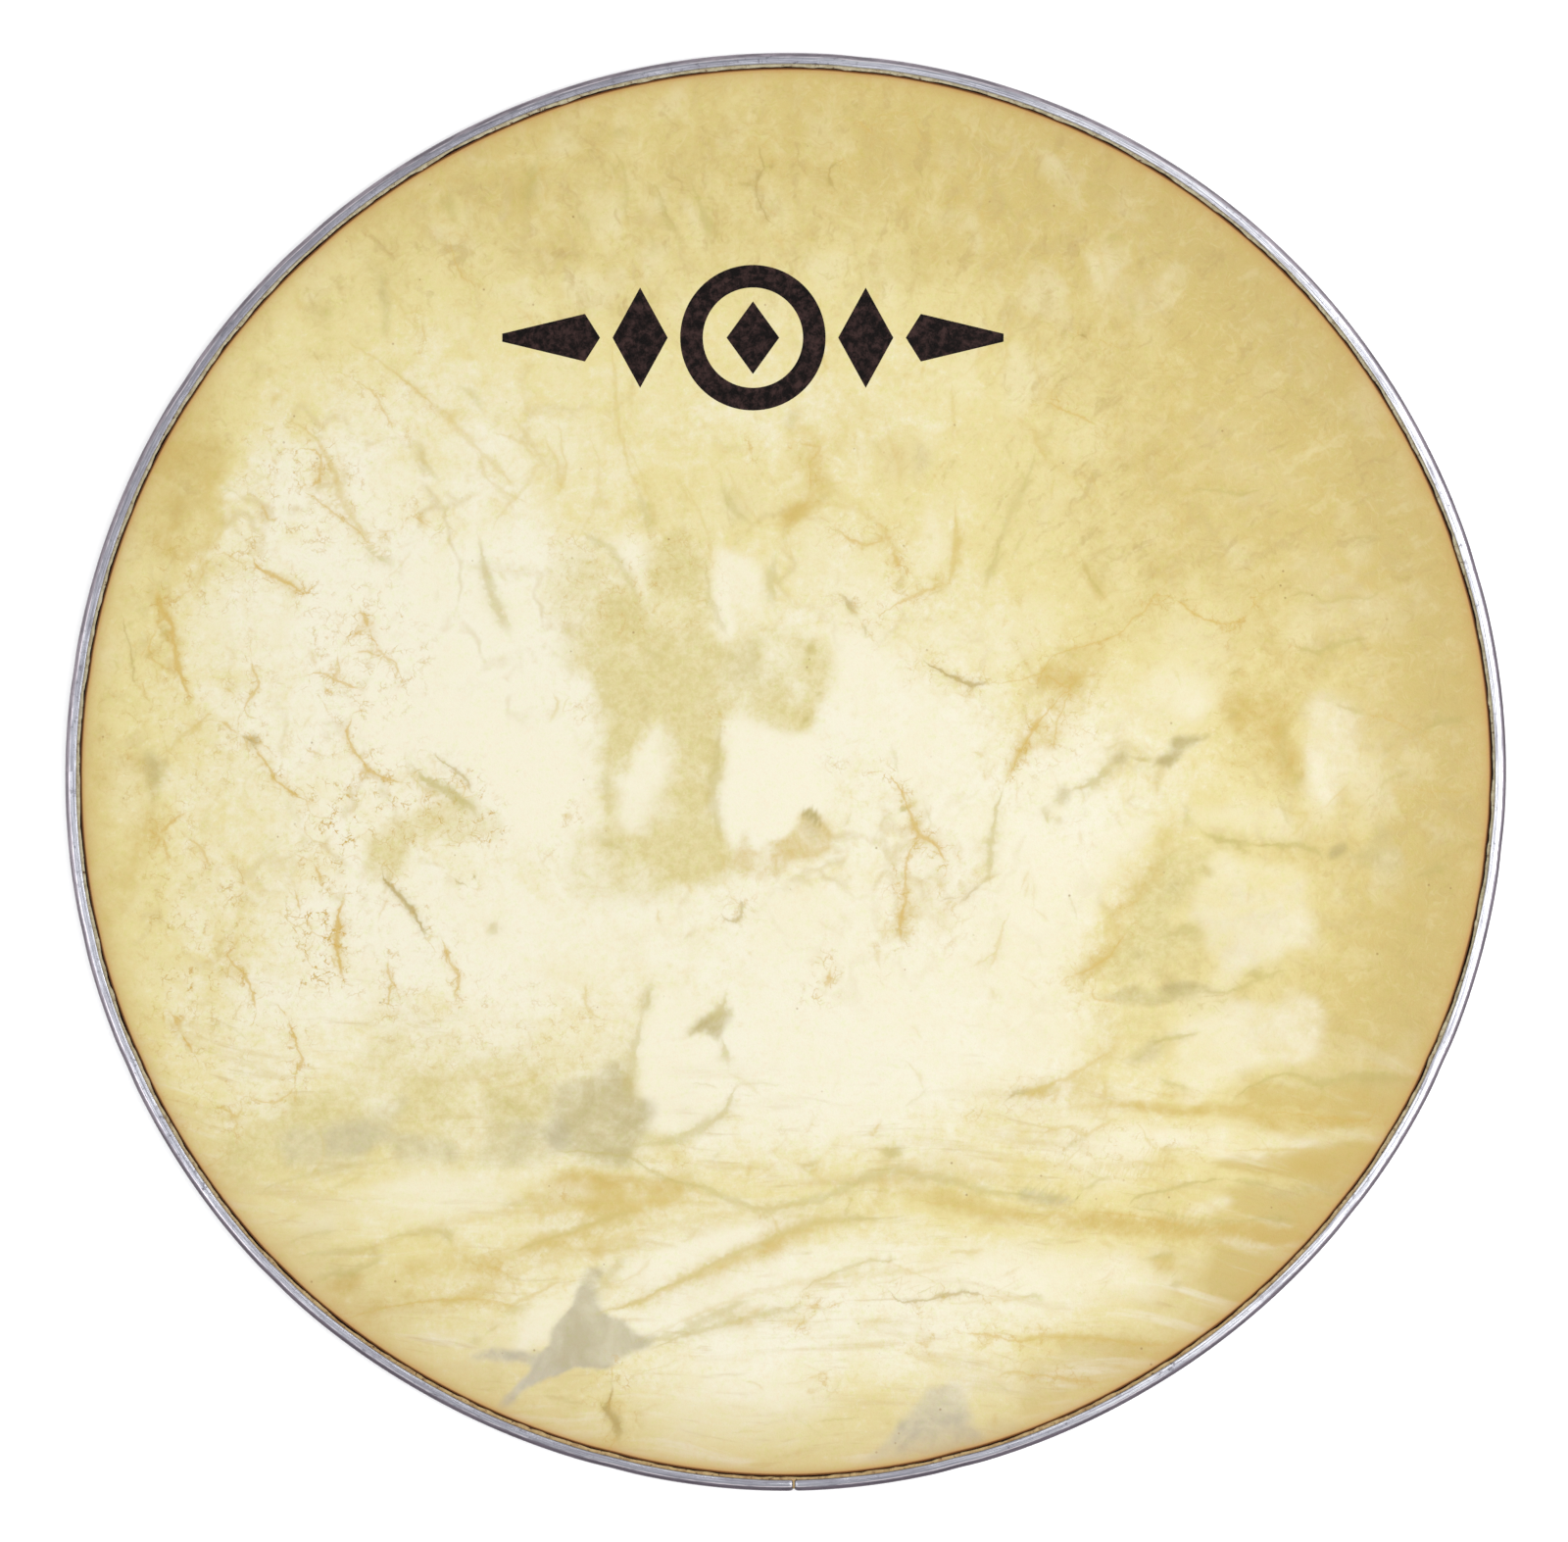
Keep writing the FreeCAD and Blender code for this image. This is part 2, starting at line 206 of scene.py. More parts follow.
    ("vein", 0.63, 0.3325, [(-155, -24.7), (-149.2, -21.5), (-141.3, -22.7), (-135.5, -20)]), ("vein", 3.52, 0.855, [(-246.1, -95.1), (-243, -99), (-241.1, -103.7)]),
    ("vein", 1.56, 0.855, [(-241.1, -103.7), (-238.3, -108.7), (-235.6, -112.6)]),
    ("vein", 1.37, 0.76, [(-198.4, -98.2), (-196.5, -104.8), (-194.5, -110.7), (-192.6, -114.6), (-195.3, -120.5), (-196.1, -125.6)]),
    ("vein", 1.17, 0.57, [(-196.1, -125.6), (-200, -130.2), (-207, -132.2), (-213.7, -129.5)]),
    ("vein", 1.17, 0.57, [(-227.4, -133.4), (-222.7, -134.9), (-219.5, -138.1), (-216.4, -133.4)]), ("vein", 1.17, 0.57, [(-219.5, -138.1), (-218.4, -143.9)]),
    ("vein", 0.78, 0.38, [(-237.1, -157.6), (-229.3, -156.8), (-222.7, -152.9)]),
    ("dark", 2.86, 0.301, [(-210.9, -171.3), (-205.9, -165.4), (-192.2, -161.5), (-176.5, -157.6), (-157, -155.7)]),
    ("tan", 1.96, 0.38, [(-210.9, -181.1), (-200, -179.1), (-192.2, -176.4)]), ("dark", 2.39, 0.301, [(-200, -188.9), (-188.3, -184.2), (-176.5, -183)]),
    ("dark", 2.86, 0.387, [(-196.1, -193.6), (-184.4, -192), (-168.7, -190.8), (-162.9, -188.9)]),
    ("dark", 4.29, 0.516, [(-190.2, -203.8), (-180.4, -200.6), (-170.7, -198.7), (-162.9, -194.8), (-158.9, -190.8)]),
    ("dark", 6.68, 0.516, [(-166, -188.1), (-161.7, -191.6)]), ("dark", 2.86, 0.43, [(-160.9, -186.9), (-149.2, -184.2), (-137.4, -183), (-132.7, -181.9)]),
    ("dark", 5.72, 0.602, [(-137.4, -186.9), (-133.1, -182.6)]),
    ("tan", 2.44, 0.57, [(-176.5, -218.2), (-164.8, -215.5), (-153.1, -212.4), (-141.3, -211.2), (-125.7, -210.4), (-110.1, -212.4), (-100.3, -208.4), (-88.6, -202.6)]),
    ("vein", 0.78, 0.38, [(-174.6, -217.8), (-153.1, -212.4), (-125.7, -210.4), (-110.1, -212.4)]),
    ("dark", 3.82, 0.301, [(-114, -218.2), (-108.1, -214.3), (-100.3, -211.6)]), ("vein", 1.96, 0.57, [(-119.8, -196.7), (-112, -199.8)]),
    ("dark", 2.86, 0.344, [(-115.9, -173.3), (-108.1, -172.5), (-102.2, -169.3)]), ("tan", 3.91, 0.475, [(-110.1, -192.8), (-98.3, -186.9), (-86.6, -183)]),
    ("dark", 4.77, 0.387, [(-126.5, -228.4), (-121, -225.6)]), ("dark", 2.39, 0.387, [(-119.8, -224.1), (-114, -220.2)]),
    ("dark", 3.82, 0.344, [(-87.4, 253.7), (-86.2, 250.6)]), ("dark", 4.77, 0.473, [(-69.8, 253.7), (-62, 256.5)]),
    ("dark", 2.86, 0.43, [(-70.2, 249), (-66.3, 243.9), (-63.9, 238.5), (-63.1, 232.2), (-63.9, 225.6), (-62, 217)]),
    ("dark", 2.86, 0.516, [(-54.2, 235.3), (-50.2, 230.7), (-49.5, 225.6), (-46.7, 218.9), (-42.4, 213.1)]),
    ("dark", 3.34, 0.516, [(-38.5, 237.3), (-35, 229.5), (-31.9, 221.7), (-27.2, 211.9)]),
    ("dark", 3.34, 0.344, [(-85.8, 225.6), (-81.5, 221.7), (-78.8, 216.6), (-78, 211.1)]),
    ("crack", 1.37, 0.57, [(-11.1, 250.2), (-9.6, 245.1), (-8.4, 241.2), (-11.1, 237.3), (-11.5, 232.2), (-10.4, 226.7), (-7.6, 221.7), (-4.5, 217.7)]),
    ("crack", 1.96, 0.57, [(-8.4, 241.2), (-3.7, 242)]), ("crack", 1.56, 0.475, [(-20.1, 234.6), (-16.2, 234.2), (-11.5, 233.4)]),
    ("crack", 1.56, 0.665, [(22.1, 241.2), (19.7, 242), (17, 239.3), (18.2, 234.6), (20.1, 231.4)]), ("dark", 4.29, 0.516, [(22.9, 265.4), (25.2, 262.3)]),
    ("vein", 0.98, 0.475, [(26.8, 260), (30.7, 258), (35.8, 252.9)]), ("vein", 2.35, 0.475, [(31.5, 274.1), (34.2, 272.5)]),
    ("vein", 0.78, 0.38, [(50.2, 264.7), (53, 255.7), (54.9, 250.2)]), ("tan", 1.56, 0.38, [(58.1, 245.1), (60.8, 238.5), (61.2, 234.6)]),
    ("tan", 1.56, 0.475, [(69.8, 249), (69, 240), (71.7, 232.2), (73.7, 226.7)]), ("tan", 1.96, 0.475, [(77.6, 247.9), (78.8, 241.2), (81.5, 236.1)]),
    ("tan", 1.17, 0.285, [(89.3, 247.9), (90.1, 241.2)]), ("tan", 1.56, 0.38, [(98.3, 241.2), (100.3, 232.2)]), ("tan", 1.56, 0.285, [(2.2, 274.4), (2.5, 267.4)]),
    ("tan", 1.96, 0.38, [(8, 217.7), (10.4, 215.4)]),
    ("tan", 2.35, 0.4275, [(-69.8, 170.8), (-68.2, 161.8), (-67.8, 147.4), (-66.3, 136.8), (-63.9, 127.8), (-61.2, 117.3)]),
    ("dark", 4.77, 0.473, [(-59.2, 114.1), (-56.1, 104.4), (-52.6, 92.6)]),
    ("tan", 1.96, 0.4275, [(-90.5, 139.5), (-89.3, 130.6), (-87.4, 122.7), (-88.6, 116.1), (-91.7, 109.4)]),
    ("tan", 1.96, 0.475, [(13.9, 190.4), (13.9, 179.8), (14.3, 166.9), (18.2, 157.9)]), ("dark", 3.82, 0.344, [(6.1, 146.2), (2.5, 139.5), (2.2, 132.9)]),
    ("tan", 1.56, 0.3325, [(-12.3, 146.2), (-11.5, 136.8)]), ("tan", 3.13, 0.3325, [(-33, 139.5), (-31.9, 135.6)]),
    ("vein", 1.56, 0.475, [(-14.3, 130.6), (-13.5, 125.9)]), ("vein", 1.37, 0.475, [(4.5, 130.6), (13.9, 129), (10.4, 123.9), (10, 116.1), (10.4, 111)]),
    ("tan", 1.56, 0.4275, [(28, 135.6), (28, 129), (29.9, 123.1)]), ("dark", 4.29, 0.387, [(14.3, 111), (15.8, 107.9)]),
    ("dark", 4.29, 0.516, [(-25.2, 116.1), (-23.3, 109.4), (-20.1, 104.4), (-16.2, 100.4), (-12.3, 97.7)]),
    ("tan", 1.96, 0.38, [(-43.6, 118.8), (-39.7, 109.4), (-35.8, 105.5)]), ("dark", 3.34, 0.43, [(-81.5, 96.5), (-77.6, 92.6), (-72.1, 89.9)]),
    ("tan", 4.69, 0.285, [(-73.7, 113.4), (-71, 101.6)]), ("tan", 3.13, 0.38, [(-65.5, 104.4), (-63.1, 101.6)]),
    ("vein", 1.56, 0.475, [(19, 97.7), (24, 93.8), (30.7, 89.9)]), ("vein", 1.56, 0.475, [(39.7, 96.5), (41.3, 89.9)]),
    ("tan", 1.96, 0.475, [(67.8, 104.4), (68.6, 88.7)]), ("dark", 3.34, 0.387, [(99.9, 130.6), (98.3, 121.2), (93.3, 109.4), (88.2, 99.3), (85.4, 88.7)]),
    ("tan", 2.35, 0.38, [(90.5, 143.5), (99.9, 134.5)]), ("tan", 1.96, 0.38, [(65.9, 156.4), (66.7, 147.4), (67.1, 130.6)]),
    ("tan", 2.35, 0.475, [(55.3, 163), (54.2, 156.4)]), ("vein", 1.56, 0.57, [(58.5, 119.2), (60.4, 117.7)]),
    ("tan", 1.56, 0.38, [(94.4, 191.6), (93.3, 185.3), (89.3, 175.9), (87.4, 163), (81.5, 154)]), ("light", 2.74, 0.57, [(-39.7, 47.7), (-33.4, 57.4)]),
    ("light", 2.35, 0.475, [(-47.5, 20.3), (-43.6, 34), (-39.7, 46.5)]), ("dark", 5.72, 0.602, [(7.2, 49.6), (11.9, 47.7)]),
    ("dark", 3.82, 0.688, [(7.2, 21.9), (10, 20.3)]), ("dark", 3.34, 0.516, [(12.7, 31.6), (14.3, 30.1)]),
    ("dark", 5.25, 0.516, [(-4.5, 88.7), (-5.3, 77), (-5.3, 69.2), (-3.7, 64.1)]),
    ("dark", 2.86, 0.387, [(-31.9, 84.8), (-30.7, 73.1), (-29.5, 67.2), (-26, 59.4), (-22.1, 53.5)]),
    ("dark", 3.82, 0.387, [(-78.8, 94.6), (-69, 87.9), (-63.1, 77), (-58.5, 69.2)]),
    ("dark", 4.77, 0.516, [(-26, 20.3), (-27.2, 6.6), (-28.7, -5.1), (-28, -16.9), (-26, -28.6)]), ("dark", 4.77, 0.301, [(-57.3, 49.6), (-48.3, 43.8)]),
    ("dark", 4.77, 0.258, [(-71, 69.2), (-63.1, 65.3)]), ("dark", 3.34, 0.258, [(-57.3, 34), (-55.3, 18.3)]),
    ("dark", 4.77, 0.344, [(-71, 2.7), (-71.7, -5.1), (-70.2, -16.9)]), ("dark", 3.82, 0.344, [(-78.8, -24.7), (-69, -29.4), (-61.2, -32.5)]),
    ("tan", 1.56, 0.475, [(-51.4, -54), (-49.5, -61.8)]), ("vein", 2.35, 0.57, [(-88.6, -16.9), (-85.4, -18.8)]), ("vein", 1.56, 0.57, [(-82.3, 25.8), (-80.7, 24.2)]),
    ("vein", 1.56, 0.57, [(-26.8, 23.4), (-25.2, 22.2)]), ("vein", 1.56, 0.57, [(-87, 77.8), (-85.8, 76.2)]),
    ("crack", 2.74, 0.665, [(20.1, 70.3), (23.7, 69.2), (26.8, 64.5), (29.1, 61.3)]), ("crack", 1.56, 0.475, [(30.7, 59.4), (32.3, 53.5)]),
    ("vein", 1.56, 0.475, [(22.1, 95.4), (26.8, 92.6), (32.6, 90.7), (40.5, 92.6)]), ("vein", 2.35, 0.76, [(42.4, 88.7), (45.6, 79.7)]),
    ("vein", 1.37, 0.57, [(36.6, 61.3), (40.5, 64.5), (48.3, 68.4), (56.1, 72.3), (62.8, 74.3)]),
    ("tan", 1.96, 0.57, [(62.8, 74.3), (65.9, 77), (67.1, 84.8), (68.2, 94.6)]), ("dark", 3.82, 0.516, [(86.2, 94.6), (83.5, 84.8), (80.7, 77), (78.8, 72.3)]),
    ("crack", 1.96, 0.8075, [(54.2, 44.5), (60, 41), (65.9, 37.9), (71.7, 35.2), (77.6, 34.8), (81.5, 35.2)]),
    ("vein", 0.98, 0.475, [(81.5, 35.2), (89.3, 35.9), (99.1, 37.9), (105, 41.8)]), ("tan", 2.35, 0.38, [(65.1, 31.6), (77.6, 28.9)]),
    ("tan", 1.56, 0.475, [(73.7, 7.4), (77.6, 7.4), (79.6, 4.7)]), ("tan", 1.56, 0.475, [(78.8, 0.7), (80, -3.2)]),
    ("vein", 1.76, 0.76, [(40.5, -0.4), (44.4, -5.1), (47.1, -9.8), (49.5, -16.9), (53.4, -24.7), (58.1, -27.8), (62, -31.7), (63.9, -37.2)]),
    ("dark", 4.29, 0.774, [(46.3, -13.3), (47.9, -16.5)]),
    ("vein", 1.96, 0.7125, [(53.4, -26.6), (49.5, -31.7), (47.9, -38.4), (47.9, -48.1), (47.1, -56), (45.6, -61.8), (46.3, -67.7)]),
    ("dark", 4.77, 0.516, [(44.8, -64.2), (46.3, -67.3)]), ("dark", 3.34, 0.559, [(87, -5.1), (84.7, -12.9), (82.7, -24.7), (81.5, -36.4), (81.5, -44.2)]),
    ("tan", 1.56, 0.475, [(99.1, 18.3), (93.3, 8.6), (88.6, -1.2), (87, -5.1)]), ("dark", 4.77, 0.516, [(80, -40.7), (81.5, -43.8)]),
    ("crack", 1.56, 0.475, [(79.6, -44.2), (73.7, -48.9), (69, -52)]), ("crack", 1.17, 0.475, [(67.8, -50.1), (62, -51.3)]),
    ("crack", 1.37, 0.57, [(-26, -56), (-24, -59.1), (-20.1, -59.9), (-17.4, -56.7), (-18.2, -50.1)]), ("tan", 1.96, 0.38, [(-15.4, -71.6), (-13.1, -73.9)]),
    ("vein", 2.74, 0.665, [(18.2, -77.5), (17, -83.3), (15.8, -87.2)]), ("vein", 1.56, 0.475, [(19, 3.5), (20.5, 1.9)]),
    ("tan", 1.96, 0.4275, [(89.3, -56), (86.2, -63.8), (83.5, -73.5), (80.7, -79.4)]), ("tan", 1.96, 0.38, [(81.5, -85.3), (83.5, -91.1)]),
    ("dark", 4.29, 0.645, [(-53.4, -83.3), (-55.3, -91.1), (-57.3, -99)]), ("dark", 4.77, 0.688, [(-23.3, -87.2), (-26, -95.1), (-31.9, -99)]),
    ("tan", 1.56, 0.475, [(-80, -83.3), (-79.6, -91.1), (-76.8, -97), (-72.9, -99)]), ("tan", 1.56, 0.38, [(97.2, -44.2), (95.2, -50.1)]),
    ("dark", 5.72, 0.516, [(-57.3, -95.1), (-58.5, -102.9), (-60, -110.7), (-62.4, -122.4), (-61.2, -134.2)]),
    ("dark", 3.34, 0.559, [(-26, -104.8), (-24, -112.6), (-22.9, -118.5)]),
    ("dark", 4.29, 0.559, [(-17.4, -123.6), (-20.1, -126.3), (-22.1, -132.2), (-26, -137.3), (-31.9, -141.2), (-37.7, -143.9), (-43.6, -146.7), (-51.4, -147.8), (-57.3, -149)]),
    ("dark", 4.77, 0.301, [(-29.5, -152.9), (-26.4, -154.5)]), ("tan", 4.89, 0.57, [(-15.8, -158), (-12.3, -158.8)]),
    ("tan", 3.91, 0.57, [(3.3, -155.7), (9.2, -157.6), (14.3, -153.7)]), ("dark", 2.86, 0.344, [(4.1, -156), (9.2, -157.6), (13.5, -154.5)]),
    ("dark", 4.77, 0.774, [(36.6, -150.6), (41.6, -151.7), (48.3, -149.8)]), ("tan", 1.96, 0.57, [(30.7, -145.1), (35.8, -143.9), (38.5, -138.1)]),
    ("dark", 4.29, 0.516, [(-94.4, -151.7), (-78.8, -151.7), (-63.1, -153.7), (-57.3, -156.8), (-51.4, -160.7), (-43.6, -163.5), (-31.9, -166.2), (-24, -170.1), (-16.2, -172.5), (-8.4, -175.2), (-0.6, -173.3), (11.1, -171.3), (19, -168.6), (26.8, -164.7), (34.6, -160.7), (40.5, -158.4), (48.3, -160), (56.1, -161.5), (65.9, -163.5), (71.7, -165.4), (79.6, -167.4), (89.3, -168.2), (101.1, -170.1)]),
    ("dark", 2.39, 0.344, [(22.9, -171.3), (26.8, -170.1), (24.8, -177.2), (38.5, -178.3)]),
    ("tan", 3.91, 0.5225, [(-94.4, -186.2), (-82.7, -183), (-74.9, -179.1), (-63.1, -175.2), (-53.4, -171.3), (-43.6, -171.3)]),
    ("tan", 2.93, 0.38, [(-43.6, -188.1), (-37.7, -185.8), (-33.8, -181.1)]),
    ("dark", 3.34, 0.43, [(-76.8, -216.3), (-69, -214.3), (-59.2, -211.6), (-47.5, -205.7), (-35.8, -200.6), (-28, -195.5), (-16.2, -190.8), (-4.5, -185.8), (7.2, -181.1), (19, -179.1), (30.7, -178.3), (40.5, -179.5)]),
    ("tan", 5.87, 0.3325, [(-76.8, -216.3), (-59.2, -211.6), (-35.8, -200.6), (-16.2, -190.8), (7.2, -181.1), (30.7, -178.3)]),
    ("dark", 4.29, 0.43, [(-61.2, -192.8), (-66.3, -195.5), (-70.2, -200.6), (-74.1, -206.5), (-78, -210.4)]), ("tan", 3.91, 0.38, [(-76.8, -188.9), (-71, -190.8)]),
    ("dark", 4.29, 0.473, [(-57.3, -228), (-43.6, -224.1), (-31.9, -218.2), (-20.1, -213.1), (-12.3, -210.4)]),
    ("dark", 3.82, 0.473, [(-55.3, -231.1), (-39.7, -224.9), (-24, -220.2), (-8.4, -216.3), (3.3, -214.3), (9.2, -211.6)]),
    ("vein", 1.96, 0.57, [(7.2, -212.4), (15.1, -213.5)]), ("vein", 1.56, 0.57, [(3.3, -222.1), (9.2, -218.2)]),
    ("dark", 1.91, 0.43, [(5.3, -208.4), (13.1, -202.6), (22.9, -198.7), (32.6, -195.5), (40.5, -195.1), (45.6, -194)]),
    ("dark", 3.34, 0.516, [(39.7, -194.8), (42.8, -195.5)]),
    ("crack", 1.56, 0.6175, [(40.5, -206.5), (44.4, -210.4), (50.2, -211.6), (62, -209.6), (71.7, -207.7), (79.6, -209.2)]),
    ("tan", 1.96, 0.475, [(63.9, -192), (73.7, -191.6), (79.6, -190.8)]),
    ("tan", 2.93, 0.5225, [(50.2, -171.3), (62, -172.1), (73.7, -174), (85.4, -177.2), (89.3, -181.1)]),
    ("vein", 2.35, 0.57, [(52.2, -227.2), (56.1, -228.8), (57.3, -226)]), ("vein", 1.17, 0.57, [(71.7, -224.1), (81.5, -224.9), (91.3, -227.2), (101.1, -226.4)]),
    ("tan", 1.96, 0.57, [(83.5, -241.7), (89.3, -239.7), (101.1, -240.9)]),
    ("crack", 3.52, 0.855, [(-69.8, -242.9), (-69, -247.5), (-71, -253.4), (-69, -257.3), (-67.1, -261.2), (-66.3, -269)]),
    ("crack", 1.56, 0.76, [(-74.1, -251.5), (-71, -255.4)]), ("vein", 1.96, 0.665, [(-64.7, -245.2), (-63.1, -246.8)]),
    ("vein", 1.56, 0.57, [(14.3, -242.9), (15.8, -244.4)]), ("vein", 1.56, 0.57, [(-89.3, -169.3), (-87.8, -170.9)]),
    ("vein", 1.56, 0.57, [(-44.4, -153.7), (-42.8, -155.3)]), ("tan", 2.44, 0.38, [(7.2, -247.5), (13.1, -246.8)]),
    ("vein", 1.56, 0.475, [(74.9, -133.4), (76.4, -134.9)]), ("crack", 1.96, 0.57, [(87.4, -132.2), (91.3, -128.3), (99.1, -127.1)]),
    ("tan", 2.93, 0.475, [(6.1, -269), (5.3, -273)]), ("tan", 2.93, 0.475, [(83.5, -255.4), (83.5, -263.2)]),
    ("crack", 1.76, 0.95, [(116.7, 174), (118.7, 174), (120.6, 172.8)]), ("vein", 0.63, 0.3325, [(124.5, 171.6), (127.7, 170.8), (130.4, 169.7)]),
    ("dark", 2.39, 0.473, [(126.9, 209.1), (127.7, 211.9), (130, 213.4), (133.1, 213.1), (135.5, 210.3)]),
    ("tan", 1.56, 0.285, [(136.3, 208), (138.6, 205.2), (141, 203.7)]), ("tan", 1.17, 0.4275, [(95.2, 243.2), (97.2, 235.3), (100.3, 230.3)]),
    ("tan", 1.17, 0.285, [(120.6, 223.6), (122.6, 217)]), ("tan", 1.17, 0.3325, [(106.9, 220.9), (109.7, 214.6)]), ("dark", 3.34, 0.258, [(121, 162.6), (122.6, 161.1)]),
    ("vein", 1.17, 0.6175, [(101.9, 147.4), (105, 146.6), (108.1, 145.4), (112.8, 143.5), (117.5, 141.5), (122.6, 138.8), (124.5, 138)]),
    ("dark", 2.86, 0.344, [(103.4, 147), (105.8, 145.8)]), ("tan", 1.17, 0.285, [(103, 161.1), (101.9, 153.2), (101.9, 147.4)]),
    ("tan", 1.96, 0.475, [(99.1, 139.5), (99.9, 133.7), (101.9, 127.8), (105, 123.1)]), ("tan", 1.96, 0.475, [(107.7, 120), (106.2, 113.4), (105.8, 107.5)]),
    ("vein", 0.98, 0.38, [(121.4, 122), (122.6, 116.1), (124.5, 110.2)]), ("tan", 2.35, 0.38, [(134.3, 104.4), (135.9, 99.3)]),
    ("dark", 1.67, 0.559, [(161.7, 112.6), (171.5, 112.2), (178.5, 111), (182.4, 110.6), (187.1, 112.2), (191.4, 113.4)]),
    ("dark", 3.34, 0.473, [(180.1, 110.6), (184, 111.4)]), ("tan", 0.98, 0.2375, [(194.9, 112.2), (202.7, 111.8)]),
    ("tan", 1.17, 0.38, [(202.7, 135.6), (206.6, 136), (210.6, 136.8)]), ("tan", 1.17, 0.38, [(212.1, 130.2), (215.2, 132.1)]),
    ("dark", 1.91, 0.387, [(224.2, 93), (232.1, 93.4), (239.9, 94.6)]), ("tan", 0.98, 0.285, [(221.5, 111), (228.9, 112.2)]),
    ("tan", 3.13, 0.285, [(155.8, 227.5), (160.5, 220.9), (162.1, 217)]),
    ("tan", 3.13, 0.665, [(117.5, 86.8), (119.5, 81.7), (121.8, 77), (124.5, 72.3), (127.3, 69.2), (129.2, 66.4)]),
    ("dark", 2.39, 0.516, [(117.9, 85.6), (120.6, 79.3), (123.8, 73.9), (127.7, 68)]),
    ("vein", 0.98, 0.57, [(149.9, 73.1), (146.8, 69.2), (143.3, 64.5), (138.2, 60.6), (134.3, 56.3), (130.4, 53.5), (120.6, 50.8), (112.8, 48.4), (106.9, 45.7), (103.4, 41), (100.3, 35.2)]),
    ("vein", 1.17, 0.6175, [(103.4, 39.5), (108.1, 35.9), (112.8, 34), (115.5, 34.4)]),
    ("vein", 0.98, 0.665, [(115.5, 36.7), (110.1, 30.1), (105, 24.2), (100.3, 19.1), (96.4, 12.5), (93.3, 6.6), (88.6, -3.2)]),
    ("vein", 0.78, 0.57, [(113.6, 32.4), (110.8, 26.2), (108.1, 18.3), (106.5, 8.6)]), ("tan", 4.69, 0.38, [(112.8, 34), (118.3, 40.2), (123, 47.3)]),
    ("vein", 1.17, 0.7125, [(154.6, 68.4), (157.8, 67.2), (161.7, 64.1), (166.8, 61), (173.4, 59), (180.1, 59.8), (185.1, 63.3)]),
    ("tan", 1.17, 0.5225, [(185.1, 63.3), (189, 68.4), (194.9, 71.9)]), ("tan", 1.17, 0.38, [(194.9, 73.1), (198, 77), (198.8, 80.9)]),
    ("dark", 1.67, 0.473, [(199.6, 68.4), (202.7, 70.3), (206.6, 71.5), (210.6, 70.3), (214.5, 68), (218.4, 68), (224.2, 69.2), (232.1, 69.2), (236, 71.5), (237.9, 72.3)]),
    ("tan", 1.17, 0.3325, [(212.5, 75), (216.4, 77.8), (223.1, 80.1), (232.1, 82.1)]), ("crack", 1.56, 0.95, [(189.8, 77.4), (191.4, 76.2)]),
    ("dark", 2.86, 0.645, [(202, 51.6), (204.7, 49.6), (208.6, 48.1), (212.5, 47.7), (216.4, 49.6), (221.5, 51.2), (228.1, 52.4), (234, 54.3)]),
    ("dark", 3.82, 0.344, [(213.7, 48.4), (219.9, 49.6)]), ("tan", 1.96, 0.285, [(147.2, 79.3), (152.7, 80.9)]), ("tan", 1.56, 0.4275, [(144.1, 43.8), (145.3, 40.6)]),
    ("tan", 1.56, 0.475, [(167.5, 40.2), (169.1, 41.8)]), ("dark", 1.67, 0.43, [(176.5, 38.7), (180.1, 40.6), (182.4, 41.8)]),
    ("tan", 2.74, 0.285, [(185.1, 35.9), (191, 37.9), (191.8, 33.2)]), ("dark", 2.39, 0.516, [(219.5, 26.9), (222.3, 25.4), (228.1, 23.8), (232.4, 22.6)]),
    ("dark", 4.29, 0.43, [(219.9, 26.5), (222.7, 25.8)]), ("vein", 1.17, 0.475, [(232.8, 22.6), (237.9, 21.5), (243.8, 19.5), (249.7, 16.4), (252.4, 14.4)]),
    ("tan", 1.17, 0.285, [(230.1, 17.6), (232.1, 22.2), (234, 26.9), (234, 34)]),
    ("dark", 3.1, 0.645, [(251.6, 14), (255.5, 17.2), (260.2, 19.1), (265.3, 20.3), (269.2, 21.1), (273.1, 21.5)]),
    ("dark", 2.39, 0.559, [(258.6, 18.3), (260.2, 22.2), (261, 24.6)]), ("dark", 4.29, 0.602, [(238.7, 9.3), (241.1, 7.8)]),
    ("dark", 1.91, 0.344, [(240.7, 9.3), (244.2, 11.7)]), ("tan", 0.98, 0.285, [(228.9, 2.7), (229.3, 8.6), (230.9, 14.4)]),
    ("dark", 1.91, 0.301, [(236.4, -12.2), (237.9, -5.5), (241.8, -3.2), (247.7, -0), (252, 0.7)]),
    ("vein", 0.78, 0.3325, [(250.8, -7.1), (257.5, -7.9), (265.3, -8.3), (273.1, -7.5)]),
    ("tan", 1.17, 0.38, [(214.5, -14.9), (218.4, -11), (222.3, -7.5), (225.4, -4.3)]),
    ("tan", 2.35, 0.38, [(194.9, -12.9), (202, -16.5), (208.2, -17.2), (204.7, -22.7), (200, -27)]), ("dark", 4.77, 0.473, [(203.1, -2), (206.3, -3.9)]),
    ("dark", 4.29, 0.344, [(197.7, 24.2), (198.8, 15.2), (198, 7.4), (200.4, 1.5), (203.9, -2.4)]), ("dark", 2.86, 0.43, [(105, -21.9), (103.8, -16.9), (105, -12.9)]),
    ("dark", 7.16, 0.602, [(105, -12.9), (109.7, -9.4), (113.6, -7.5)]),
    ("dark", 4.29, 0.688, [(110.8, -8.6), (116.7, -6.7), (122.6, -4.3), (126.9, -1.2), (130.8, 2.7), (133.1, 5)]),
